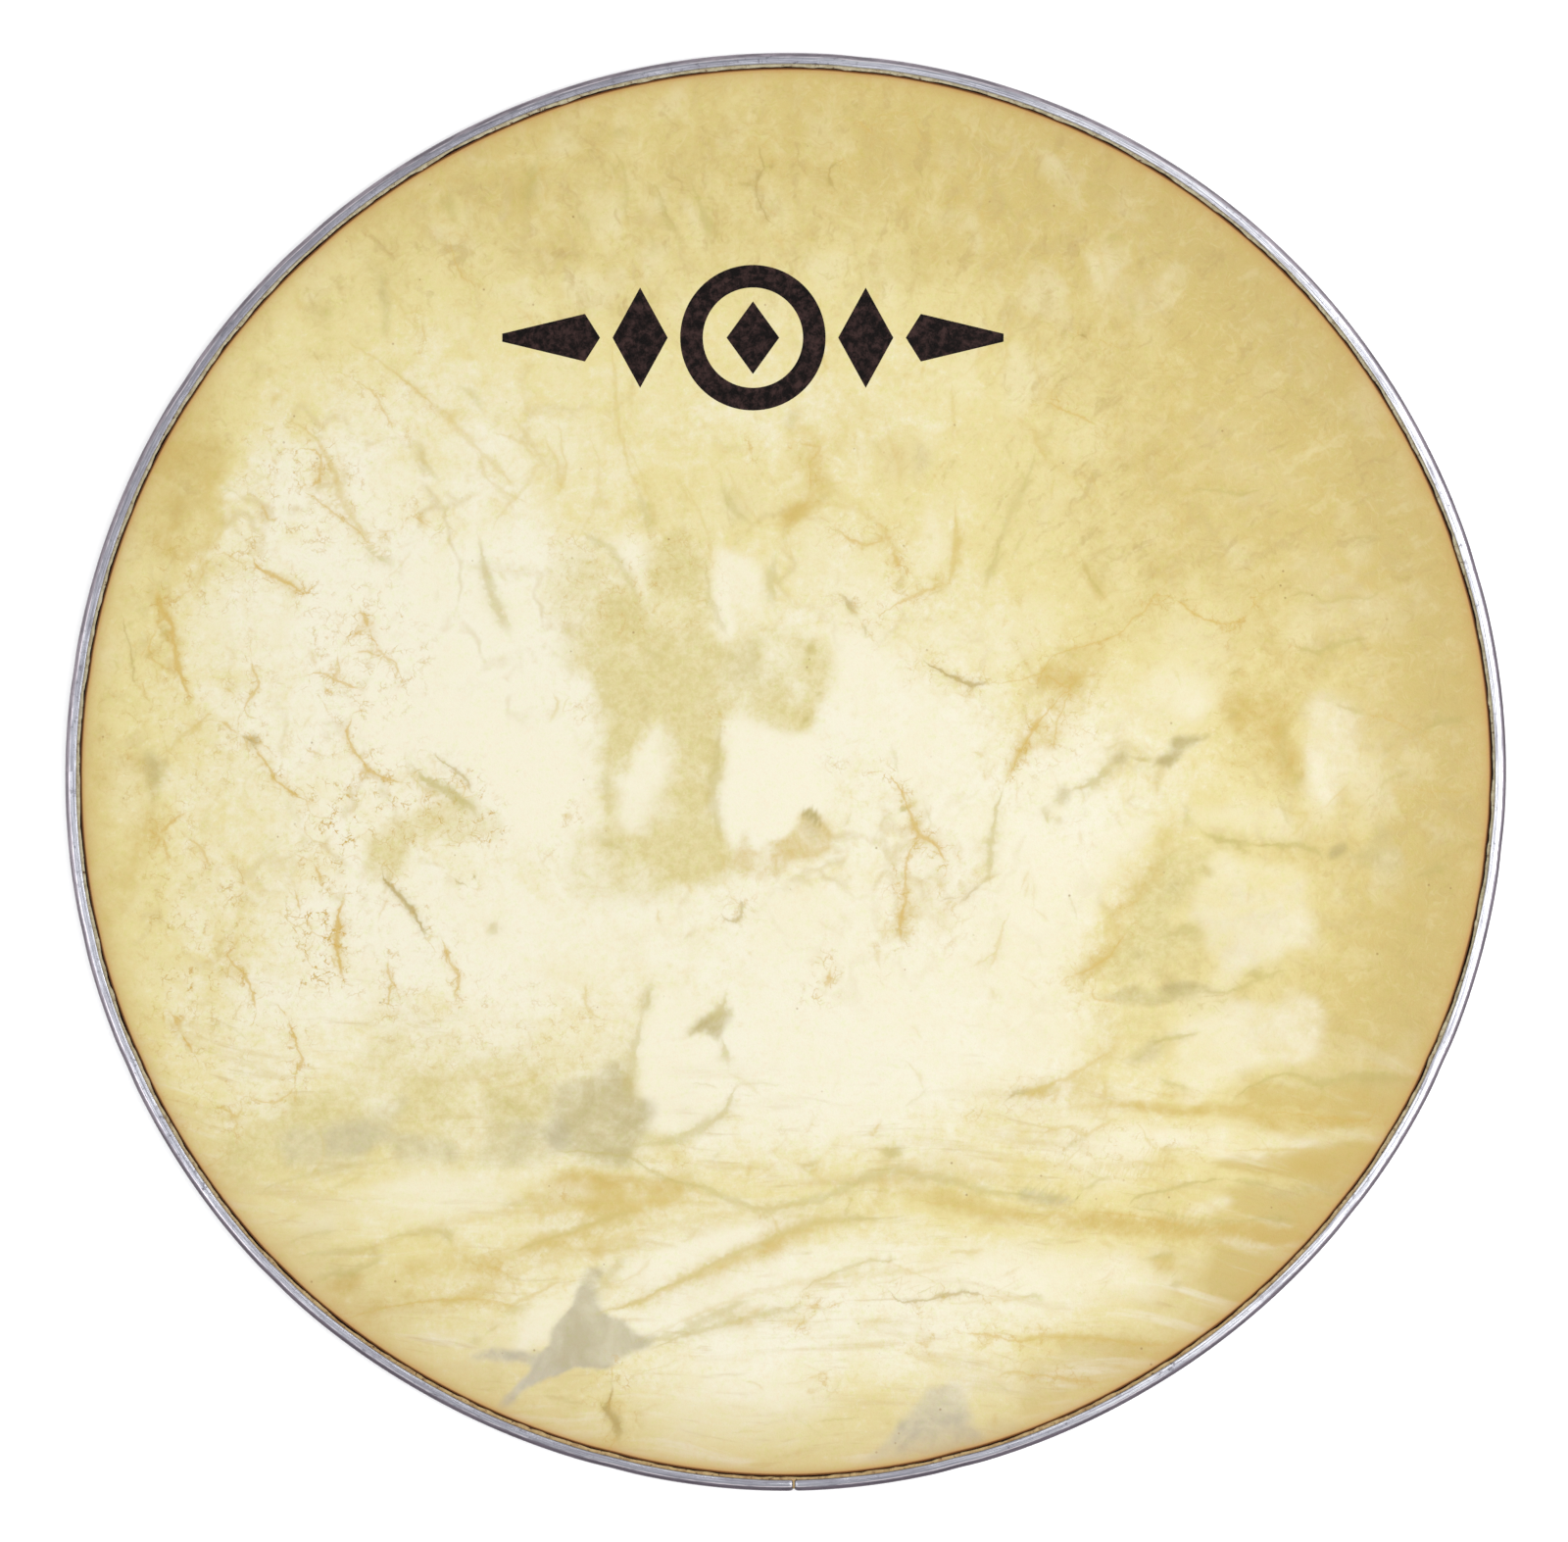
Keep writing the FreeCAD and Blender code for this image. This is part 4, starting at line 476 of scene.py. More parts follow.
    ("tan", 3.5, 0.38, [(157.4, -18.8), (151.9, -24.7), (146, -32.5), (137, -37.6), (132.4, -47.4), (125.3, -59.9), (119.1, -69.6), (115.9, -83.3), (124.5, -83.3), (130.4, -73.5), (136.3, -59.9), (142.1, -46.2), (150.3, -38), (156.2, -31.7), (162.1, -24.7)]),
    ("dark", 2.3, 0.6, [(123.8, -89.6), (128.8, -90.8), (136.3, -87.2), (148, -88), (155.8, -85.3), (165.6, -85.3), (169.9, -86.5), (171.5, -88.4), (162.1, -91.5), (151.9, -95.1), (140.2, -95.4), (130.8, -95.4), (127.7, -93.1)]),
    ("tan", 5.5, 0.3, [(208.6, -76.3), (214.5, -77.5), (216.8, -88), (212.5, -90.4), (209.8, -84.1)]),
    ("lilac", 3.5, 0.44, [(134.3, -116.6), (140.2, -111.5), (148, -106.8), (154.2, -109.9), (151.9, -116.2), (142.1, -117.7)]),
    ("veil", 5.5, 0.45, [(121.4, -96.2), (140.2, -95.1), (161.7, -95.8), (157.8, -102.9), (142.1, -105.2), (128.4, -110.7), (122.6, -106.8)]),
    ("tan", 3.9, 0.38, [(122.6, -99), (129.2, -98.2), (133.1, -106.8), (132.4, -113.8), (124.5, -115.4)]),
    ("tan", 2, 0.48, [(128.4, -131.4), (155.8, -131), (175.4, -133), (194.9, -134.9), (210.6, -136.9), (230.1, -138.5), (238.7, -141.6), (232.1, -142.4), (210.6, -142.4), (194.9, -142.4), (183.2, -140.4), (171.5, -138.1), (155.8, -136.1), (132.4, -134.2)]),
    ("dark", 3.1, 0.4, [(225.4, -121.6), (251.6, -122), (249.7, -127.9), (234, -128.7), (226.2, -126.3)]),
    ("tan", 3.1, 0.35, [(180.1, -131), (187.1, -125.9), (198.8, -123.2), (214.5, -126.3), (234, -123.2), (250.4, -124.8), (245.7, -132.2), (239.9, -138.5), (230.1, -137.3), (214.5, -135.3), (194.9, -134.2)]),
    ("ochre", 3.9, 0.4, [(180.1, -131), (187.1, -125.9), (198.8, -123.2), (214.5, -126.3), (234, -123.2), (250.4, -124.8), (245.7, -132.2), (239.9, -138.5), (230.1, -137.3), (214.5, -135.3), (194.9, -134.2)]),
    ("light", 4.7, 0.32, [(182.4, -142.8), (206.6, -143.1), (228.1, -144.3), (232.4, -147.4), (222.3, -150.2), (194.9, -150.2), (175.4, -149.4), (173.4, -144.3)]),
    ("ochre", 2.3, 0.6, [(177.3, -151.4), (234.8, -149.8), (229.3, -161.5), (210.6, -161.5), (194.9, -159.6), (179.3, -157.6), (173.4, -154.1)]),
    ("tan", 2.3, 0.3, [(191, -151.4), (234.8, -149.8), (229.3, -161.5), (210.6, -161.5), (198.8, -157.6)]),
    ("dark", 2.3, 0.5, [(189.4, -161.9), (198.8, -162.3), (212.5, -163.1), (227.8, -162.3), (224.6, -167.8), (210.6, -167.8), (194.9, -167.8), (182.4, -165)]),
    ("lilac", 2.7, 0.308, [(137, -173.3), (142.1, -169), (149.9, -171.3), (154.2, -175.6), (144.9, -176)]),
    ("tan", 2.3, 0.42, [(93.3, -173.6), (116.7, -174.4), (132.4, -177.2), (148, -179.9), (167.5, -181.1), (191, -181.1), (207.4, -180.3), (203.5, -186.9), (191, -188.9), (175.4, -186.9), (155.8, -186.2), (136.3, -185.8), (120.6, -184.2), (101.1, -182.2), (93.3, -181.1)]),
    ("ochre", 3.1, 0.45, [(175.4, -167.4), (183.2, -165.4), (206.6, -168.6), (215.2, -171.3), (207.4, -178.3), (183.2, -178.3), (177.3, -175.2)]),
    ("light", 4.3, 0.58, [(157.8, -177.2), (161.7, -172.5), (169.5, -171.3), (177.7, -172.5), (175.4, -177.2), (165.6, -178.3)]),
    ("lilac", 2.3, 0.616, [(95.2, -167.8), (106.9, -167.8), (115.1, -169.7), (113.2, -173.3), (101.9, -172.9), (93.3, -171.3)]),
    ("ochre", 3.5, 0.5, [(173.4, -192.4), (194.9, -192), (212.5, -190.1), (206.6, -198.7), (194.9, -205.3), (185.1, -212.4), (171.5, -207.7), (171.5, -200.6)]),
    ("ochre", 5.5, 0.45, [(93.3, -228.8), (116.7, -228), (151.9, -229.9), (136.3, -240.5), (112.8, -249.5), (93.3, -255.4)]),
    ("light", 7, 0.36, [(-184.4, 88.7), (-149.2, 84), (-125.7, 73.1), (-121.8, 53.5), (-98.3, 37.9), (-82.7, 26.2), (-78.8, 2.7), (-79.6, -24.7), (-94.4, -32.5), (-115.9, -24.7), (-119.8, -12.9), (-141.3, 10.5), (-149.2, 0.7), (-168.7, 6.6), (-174.6, 22.2), (-176.5, 34), (-192.2, 41.8), (-207.8, 37.9), (-233.2, 53.5), (-233.2, 71.1), (-215.6, 73.1), (-196.1, 68.4)]),
    ("light", 5.9, 0.53, [(-170.7, 34), (-157, 34.8), (-133.5, 28.1), (-106.2, 18.3), (-82.7, 9.7), (-80.7, -20.8), (-109.3, -24.7), (-117.1, -7.1), (-137.4, 7.4), (-147.2, 8.6), (-157, -0.4), (-167.9, 8.6)]),
    ("light", 5.1, 0.53, [(-173.8, -56), (-160.9, -47.4), (-145.3, -67.7), (-138.2, -83.3), (-153.1, -80.2), (-171.8, -83.3), (-175.8, -67.7)]),
    ("light", 4.7, 0.42, [(-184.4, -37.2), (-176.5, -32.5), (-170.7, -40.3), (-176.5, -48.1), (-183.6, -45)]),
    ("light", 6.3, 0.44, [(-145.3, -40.3), (-129.6, -36.4), (-102.2, -52), (-78.8, -56.7), (-39.7, -52.8), (-31.1, -63.8), (-39.7, -83.3), (-54.5, -79.4), (-71, -83.3), (-98.3, -83.3), (-129.6, -83.3), (-133.5, -63.8), (-141.3, -56)]),
    ("light", 4.7, 0.42, [(-130.4, -83.3), (-125.7, -102.9), (-117.9, -107.6), (-102.2, -102.9), (-82.7, -91.1), (-86.6, -83.3)]),
    ("light", 4.7, 0.63, [(-53.4, -85.3), (-39.7, -87.2), (-38.9, -95.1), (-37.3, -107.6), (-24.8, -112.6), (-19.4, -124.4), (-26, -134.9), (-39.7, -142), (-52.2, -142.8), (-57.3, -134.2), (-58.5, -116.6), (-54.5, -99)]),
    ("light", 10.9, 0.53, [(-16.2, -46.2), (19, -44.2), (40.5, -44.2), (42.4, -67.7), (54.2, -63.8), (77.6, -50.1), (112.8, -69.6), (116.7, -83.3), (121.4, -99), (116.7, -114.6), (91.3, -124.4), (62, -134.2), (38.5, -138.1), (19, -147.8), (-4.5, -149), (-15.4, -142), (-16.2, -83.3)]),
    ("light", 7, 0.53, [(17.4, 57.4), (32.6, 55.5), (50.2, 39.8), (62, 32), (73.7, 30.1), (71.7, 8.6), (77.6, -24.7), (63.9, -27.8), (52.2, -12.9), (40.5, 2.7), (26.8, 16.4), (17, 28.1), (15.8, 37.9)]),
    ("light", 5.5, 0.53, [(88.6, -5.1), (97.2, 10.5), (116.7, 17.6), (128.4, 8.2), (115.9, -1.2), (103, -8.3), (105.8, -24.7), (113.6, -20), (144.1, -16.1), (151.1, -21.5), (136.3, -35.6), (116.7, -65.7), (95.2, -61.8), (84.7, -44.2)]),
    ("light", 5.9, 0.42, [(164.4, -14.9), (194.9, -8.3), (202, -22.7), (171.5, -21.5), (162.9, -20)]),
    ("light", 5.9, 0.38, [(212.5, 34), (229.3, 25.4), (234, 2.7), (225.4, -5.1), (214.5, -12.2), (207.4, -5.1), (207.4, 20.3)]),
    ("light", 5.9, 0.53, [(164.4, -43.4), (175.4, -33.3), (198.8, -34.4), (209.8, -44.2), (206.6, -66.9), (191, -74.7), (172.2, -82.5), (169.1, -68.5), (158.9, -55.2)]),
    ("light", 5.9, 0.53, [(157.4, -99.7), (179.3, -91.1), (210.6, -90.4), (211.3, -113.8), (191, -117.7), (176.1, -128.7), (160.5, -129.5), (156.6, -110.7)]),
    ("light", 5.9, 0.36, [(77.6, 64.5), (100.3, 72.3), (108.9, 57.4), (97.2, 46.5), (82.3, 37.9), (62.8, 46.5), (58.8, 56.7)]),
    ("light", 7, 0.27, [(125.3, 33.2), (148, 41), (172.2, 34), (167.5, 19.1), (148, 12.1), (129.2, 11.3), (118.7, 18.3)]),
    ("light", 5.5, 0.32, [(116.7, -138.1), (148, -138.5), (175.4, -142), (171.5, -149), (148, -150.6), (136.3, -160.7), (110.8, -157.6), (101.9, -149.8)]),
    ("tan", 3.9, 0.42, [(-250.8, 129.8), (-223.5, 135.6), (-221.1, 112.2), (-223.5, 90.7), (-241.1, 84.8), (-254, 88.7)]),
    ("dark", 7, 0.2, [(-248.9, 123.9), (-227.4, 127.8), (-226.6, 104.4), (-239.1, 96.5), (-250.8, 102.4)]),
    ("tan", 3.5, 0.4, [(-279, 5.8), (-254.7, 8.6), (-250, -12.9), (-254.7, -42.3), (-269.6, -63.8), (-278.2, -44.2)]),
    ("tan", 5.5, 0.2, [(-246.9, -38.4), (-213.7, -36.4), (-210.9, -77.5), (-235.2, -83.3), (-248.9, -67.7)]),
    ("veil", 5.5, 0.5, [(-213.7, -142), (-202, -133.4), (-182.4, -130.2), (-164, -107.6), (-171.8, -102.1), (-157, -88), (-136.7, -99.7), (-115.9, -109.9), (-94.4, -102.9), (-70.2, -106), (-58.5, -106.8), (-58.5, -126.3), (-50.6, -142), (-38.9, -156.8), (-31.1, -166.2), (-58.5, -157.6), (-94.4, -152.9), (-125.7, -157.6), (-157, -160), (-183.6, -157.6), (-207, -162.3), (-215.6, -172.5), (-226.6, -158.4), (-222.7, -145.9)]),
    ("dark", 4.7, 0.3, [(-125.7, -127.1), (-94.4, -124.4), (-63.1, -117.7), (-57.3, -134.2), (-50.6, -147.8), (-63.1, -153.7), (-94.4, -149), (-117.9, -142)]),
    ("light", 5.5, 0.32, [(-89.7, -99.7), (-78.8, -102.1), (-67.1, -112.6), (-78.8, -118.5), (-87.4, -110.7)]),
    ("light", 7.8, 0.17, [(-178.5, -107.6), (-141.3, -102.9), (-137.4, -122.4), (-172.6, -125.6)]),
    ("tan", 3.5, 0.38, [(-102.2, -159.6), (-78.8, -155.3), (-55.3, -161.5), (-31.1, -167.4), (-39.7, -171.7), (-63.1, -171.3), (-78.8, -177.2), (-94.4, -182.6), (-102.2, -177.2)]),
    ("light", 4.3, 0.37, [(-94.4, -162.3), (-78, -161.5), (-82.7, -170.9), (-94.4, -173.3)]),
    ("tan", 4.7, 0.32, [(-178.5, -214.3), (-157, -196.7), (-133.5, -192.8), (-110.1, -196.7), (-117.1, -210), (-145.3, -211.6), (-164, -218.2), (-141.3, -238.9), (-157, -235)]),
    ("light", 5.1, 0.44, [(-62.4, -196.7), (-39.7, -185.8), (-16.2, -179.5), (8, -175.6), (-0.6, -182.6), (-31.9, -194.4), (-55.3, -204.5), (-66.3, -208.4)]),
    ("light", 5.1, 0.44, [(-61.2, -220.2), (-39.7, -210.8), (-8.4, -197.5), (19, -188.9), (39.3, -186.9), (30.7, -195.9), (-0.6, -209.2), (-31.9, -217.8), (-54.5, -225.6)]),
    ("light", 5.9, 0.32, [(-196.1, -185.8), (-199.2, -177.2), (-182.4, -167), (-137.4, -161.5), (-110.1, -166.2), (-117.9, -176.4), (-141.3, -180.7), (-164.8, -184.2)]),
    ("light", 4.7, 0.47, [(-109.3, -220.2), (-94.4, -208.4), (-83.5, -207.7), (-87.4, -218.2), (-99.1, -229.6), (-109.3, -231.1)]),
    ("lilac", 2, 0.616, [(-79.6, -200.6), (-71, -196.7), (-74.1, -208.4), (-68.6, -220.2), (-52.2, -225.6), (-63.1, -234.2), (-78.8, -240.1), (-94.4, -244), (-106.2, -249.5), (-114, -255.8), (-116.3, -253.8), (-102.2, -239.7), (-117.1, -236.2), (-126.5, -231.9), (-117.9, -230.7), (-98.3, -233.9), (-89, -222.5), (-82.7, -212.4)]),
    ("dark", 3.5, 0.3, [(-79.6, -200.6), (-71, -196.7), (-74.1, -208.4), (-68.6, -220.2), (-52.2, -225.6), (-63.1, -234.2), (-78.8, -240.1), (-94.4, -239.7), (-89, -222.5), (-82.7, -212.4)]),
    ("lilac", 3.9, 0.44, [(77.6, -259.3), (90.1, -258.5), (101.9, -262.4), (81.5, -270.2), (73.7, -267.1)]),
    ("light", 7.8, 0.27, [(71.7, -185.8), (112.8, -186.5), (155.8, -190.1), (170.7, -192), (155.8, -211.6), (116.7, -217), (77.6, -217), (48.3, -211.6), (43.2, -198.7), (62.8, -192.8)]),
    ("light", 7.8, 0.21, [(-45.6, -240.5), (-16.2, -224.9), (30.7, -218.6), (39.3, -235.8), (22.9, -255.4), (-16.2, -259.3), (-47.5, -255.4)]),
    ("tan", 3.1, 0.34, [(38.5, -163.9), (58.1, -165.8), (93.3, -174.4), (93.3, -181.1), (69.8, -176.4), (46.3, -171.7), (30.7, -175.6)]),
    ("light", 4.7, 0.32, [(117.5, -162.3), (136.3, -158), (144.9, -160), (132.4, -167), (117.5, -171.7)]),
    ("tan", 4.7, 0.26, [(93.3, -123.2), (120.6, -120.1), (136.3, -126.3), (155.8, -130.2), (124.5, -136.5), (101.1, -134.2)]),
    ("tan", 8.6, 0.24, [(116.7, 151.3), (168.3, 155.2), (175.4, 123.9), (160.5, 88.7), (136.3, 100.4), (124.5, 123.9)]),
    ("tan", 7, 0.26, [(-0.6, 151.3), (30.7, 151.3), (62, 135.6), (58.1, 120), (22.9, 112.2), (-0.6, 88.7)]),
    ("tan", 4.7, 0.3, [(101.9, 41), (128.4, 53.5), (125.3, 34), (108.9, 10.5), (94, 2.7), (89.3, 14.4)]),
    ("tan", 7, 0.34, [(175.4, 57.4), (202.7, 53.5), (206.6, 34), (202.7, -1.2), (191, -5.1), (180.1, 10.5), (175.4, 34)]),
    ("tan", 5.5, 0.24, [(50.2, -24.7), (81.5, -24.7), (77.6, -44.2), (58.1, -67.7), (44.4, -63.8)]),
    ("net", 5.5, 0.6, [(-202, -54), (-178.5, -54), (-176.5, -83.3), (-196.1, -87.2), (-203.9, -67.7)]),
    ("net", 5.5, 0.55, [(-196.1, -1.2), (-178.5, -1.2), (-175.8, -44.2), (-176.5, -83.3), (-188.3, -83.3), (-196.1, -44.2)]),
    ("net", 5.5, 0.6, [(-180.4, -1.2), (-149.2, 2.7), (-117.9, -5.1), (-117.9, -28.6), (-149.2, -32.5), (-180.4, -28.6)]),
    ("net", 7, 0.5, [(-258.6, -36.4), (-213.7, -32.5), (-210.9, -79.4), (-235.2, -87.2), (-254.7, -79.4)]),
    ("net", 7, 0.45, [(-254.7, 96.5), (-211.7, 96.5), (-210.9, 65.3), (-235.2, 57.4), (-254.7, 65.3)]),
    ("net", 7, 0.45, [(-219.5, 139.5), (-180.4, 139.5), (-164.8, 104.4), (-172.6, 84.8), (-211.7, 96.5)]),
    ("net", 7.8, 0.35, [(-196.1, 73.1), (-149.2, 73.1), (-145.3, 26.2), (-188.3, 26.2)]),
    ("net", 7.8, 0.35, [(-274.3, 37.9), (-223.5, 37.9), (-215.6, -5.1), (-270.4, -12.9)]),
    ("net", 6.3, 0.35, [(-94.4, 96.5), (-31.9, 96.5), (-31.9, 57.4), (-86.6, 57.4)]), ("net", 6.3, 0.3, [(171.5, 57.4), (206.6, 57.4), (206.6, -5.1), (175.4, -5.1)]),
    ("net", 6.3, 0.35, [(89.3, 57.4), (128.4, 57.4), (124.5, 10.5), (89.3, 2.7)]), ("net", 6.3, 0.3, [(101.1, -138.1), (163.6, -138.1), (163.6, -161.5), (101.1, -161.5)]),
    ("net", 6.3, 0.35, [(-274.3, -83.3), (-219.5, -83.3), (-215.6, -138.1), (-246.9, -145.9), (-266.5, -114.6)]),
    ("net", 6.3, 0.3, [(-164.8, -83.3), (-94.4, -83.3), (-63.1, -106.8), (-94.4, -122.4), (-157, -114.6)]),
    ("veil", 7, 0.6, [(-49.1, 18.3), (-24.8, 20.3), (-25.6, 8.6), (-27.2, -5.1), (-27.2, -20.8), (-24, -32.5), (-39.7, -40.3), (-58.5, -30.9), (-57.3, -18.8), (-52.2, -9.4), (-48.3, 2.7)]),
    ("veil", 9.4, 0.25, [(-78.8, 84.8), (-39.7, 92.6), (-28, 57.4), (15.1, 53.5), (11.1, 18.3), (-39.7, 10.5), (-63.1, -24.7), (-78.8, -16.9), (-74.9, 18.3)]),
    ("light", 2.7, 0.55, [(-67.8, -23.1), (-68.6, -12.2), (-64.7, -3.6), (-56.1, 7.4), (-50.2, 14.8), (-48.3, 12.5), (-49.1, 2.7), (-52.6, -9.4), (-58.8, -18), (-64.7, -23.9)]),
    ("light", 6.3, 0.28, [(-0.6, 88.7), (15.8, 100.4), (32.6, 96.5), (40.5, 77), (38.5, 53.5), (22.9, 34), (19, 57.4), (3.3, 73.1)]),
    ("light", 5.5, 0.26, [(-110.1, 96.5), (-100.3, 112.2), (-86.6, 104.4), (-88.6, 88.7), (-96, 65.3), (-106.2, 73.1)]),
    ("light", 5.5, 0.26, [(-22.1, 104.4), (-4.5, 112.2), (3.3, 104.4), (-12.3, 100.4)]),
    ("light", 5.5, 0.24, [(50.2, 104.4), (63.9, 112.2), (65.9, 88.7), (58.1, 73.1), (48.3, 80.9)]),
    ("light", 5.5, 0.24, [(30.7, 139.5), (50.2, 147.4), (62, 135.6), (54.2, 116.1), (38.5, 120)]),
    ("light", 5.5, 0.22, [(-94.4, 139.5), (-78.8, 151.3), (-74.9, 131.7), (-82.7, 116.1), (-94.4, 123.9)]),
    ("veil", 4.7, 0.42, [(142.1, -34.8), (156.6, -27.4), (173.8, -32.5), (164, -42.3), (154.2, -54.4), (149.6, -64.2), (164, -64.2), (161.7, -76.3), (137, -88.8), (124.9, -81.4), (137, -66.5), (142.1, -54.4)]),
    ("veil", 4.7, 0.45, [(237.5, -12.9), (242.2, -17.6), (249.7, -32.5), (254.3, -42.3), (239.9, -42.3), (220.3, -39.9), (230.1, -32.5), (234.8, -25.1)]),
    ("tan", 5.5, 0.28, [(176.1, 31.2), (195.7, 28.5), (200.8, 16.4), (205.5, -3.2), (198.4, -3.2), (191, 11.7), (181.2, 21.5)]),
    ("light", 9.4, 0.3, [(148, 57.4), (171.5, 69.2), (183.2, 53.5), (180.1, 26.2), (161.7, 20.3), (148, 34)]),
    ("light", 8.6, 0.24, [(210.6, 26.2), (234, 34), (253.6, 22.2), (255.5, -5.1), (234, -20.8), (214.5, -24.7), (206.6, -5.1)]),
    ("light", 9.4, 0.12, [(159.7, -99), (194.9, -91.1), (234, -87.2), (253.6, -99), (245.7, -118.5), (206.6, -118.5), (183.2, -122.4), (155.8, -116.6)]),
    ("light", 9.4, 0.26, [(191, 96.5), (218.4, 88.7), (241.8, 65.3), (234, 53.5), (206.6, 65.3)]),
    ("light", 9.4, 0.24, [(155.8, 143.5), (191, 139.5), (210.6, 112.2), (191, 104.4), (163.6, 120)]),
    ("light", 7.8, 0.24, [(128.4, 209.9), (155.8, 190.4), (148, 174.7), (120.6, 190.4)]),
    ("tan", 3.9, 0.36, [(185.5, -156.4), (205.1, -155.3), (230.5, -153.7), (227.8, -165), (213.7, -167.8), (193.7, -166.2)]),
    ("tan", 3.1, 0.32, [(171.5, -174.8), (193.7, -179.1), (216.4, -180.3), (213.7, -188.9), (188.3, -186.2), (171.5, -183.4)]),
    ("dark", 2.3, 0.3, [(89.3, -167), (106.9, -167.8), (115.9, -171.7), (101.1, -174), (92.5, -171.7)]),
    ("veil", 3.1, 0.4, [(182.8, -129.9), (199.6, -120.1), (216.4, -124.4), (250, -122.8), (244.6, -129.9), (221.9, -129.9), (199.6, -131.4)]),
    ("light", 7.8, 0.32, [(101.1, -138.1), (155.8, -142), (210.6, -145.9), (206.6, -153.7), (148, -155.7), (108.9, -151.7)]),
    ("light", 9.4, 0.32, [(38.5, -196.7), (93.3, -188.9), (148, -196.7), (136.3, -212.4), (77.6, -216.3), (46.3, -212.4)]),
    ("light", 10.2, 0.3, [(38.5, -235.8), (97.2, -228), (132.4, -231.9), (116.7, -247.5), (62, -251.5)]),
    ("light", 10.2, 0.3, [(-149.2, -153.7), (-94.4, -149.8), (-78.8, -161.5), (-125.7, -173.3), (-157, -169.3)]),
    ("light", 10.2, 0.3, [(-63.1, -192.8), (-16.2, -177.2), (7.2, -185), (-16.2, -208.4), (-55.3, -216.3)]),
    ("light", 10.2, 0.34, [(-63.1, -247.5), (-8.4, -239.7), (15.1, -251.5), (-0.6, -271), (-47.5, -271)]),
    ("light", 8.6, 0.32, [(-125.7, -220.2), (-94.4, -212.4), (-82.7, -224.1), (-102.2, -239.7), (-125.7, -235.8)]),
    ("veil", 7.8, 0.36, [(-239.1, -134.2), (-184.4, -130.2), (-157, -142), (-184.4, -157.6), (-223.5, -161.5), (-235.2, -149.8)]),
    ("dark", 2.3, 0.34, [(-255.9, 9.7), (-248.5, 7.4), (-247.3, -5.1), (-251.6, -17.6), (-255.1, -12.9), (-256.7, -1.2)]),
    ("dark", 1.2, 0.4, [(-246.5, -92.7), (-241.8, -96.6), (-237.5, -108), (-243.8, -102.9)]),
    ("dark", 1.2, 0.34, [(-250.8, 60.6), (-243.8, 59), (-242.2, 52.7), (-247.7, 53.5)]),
    ("dark", 1.2, 0.3, [(-256.3, 52.7), (-250, 49.6), (-250.8, 43.4), (-255.5, 46.5)]),
]
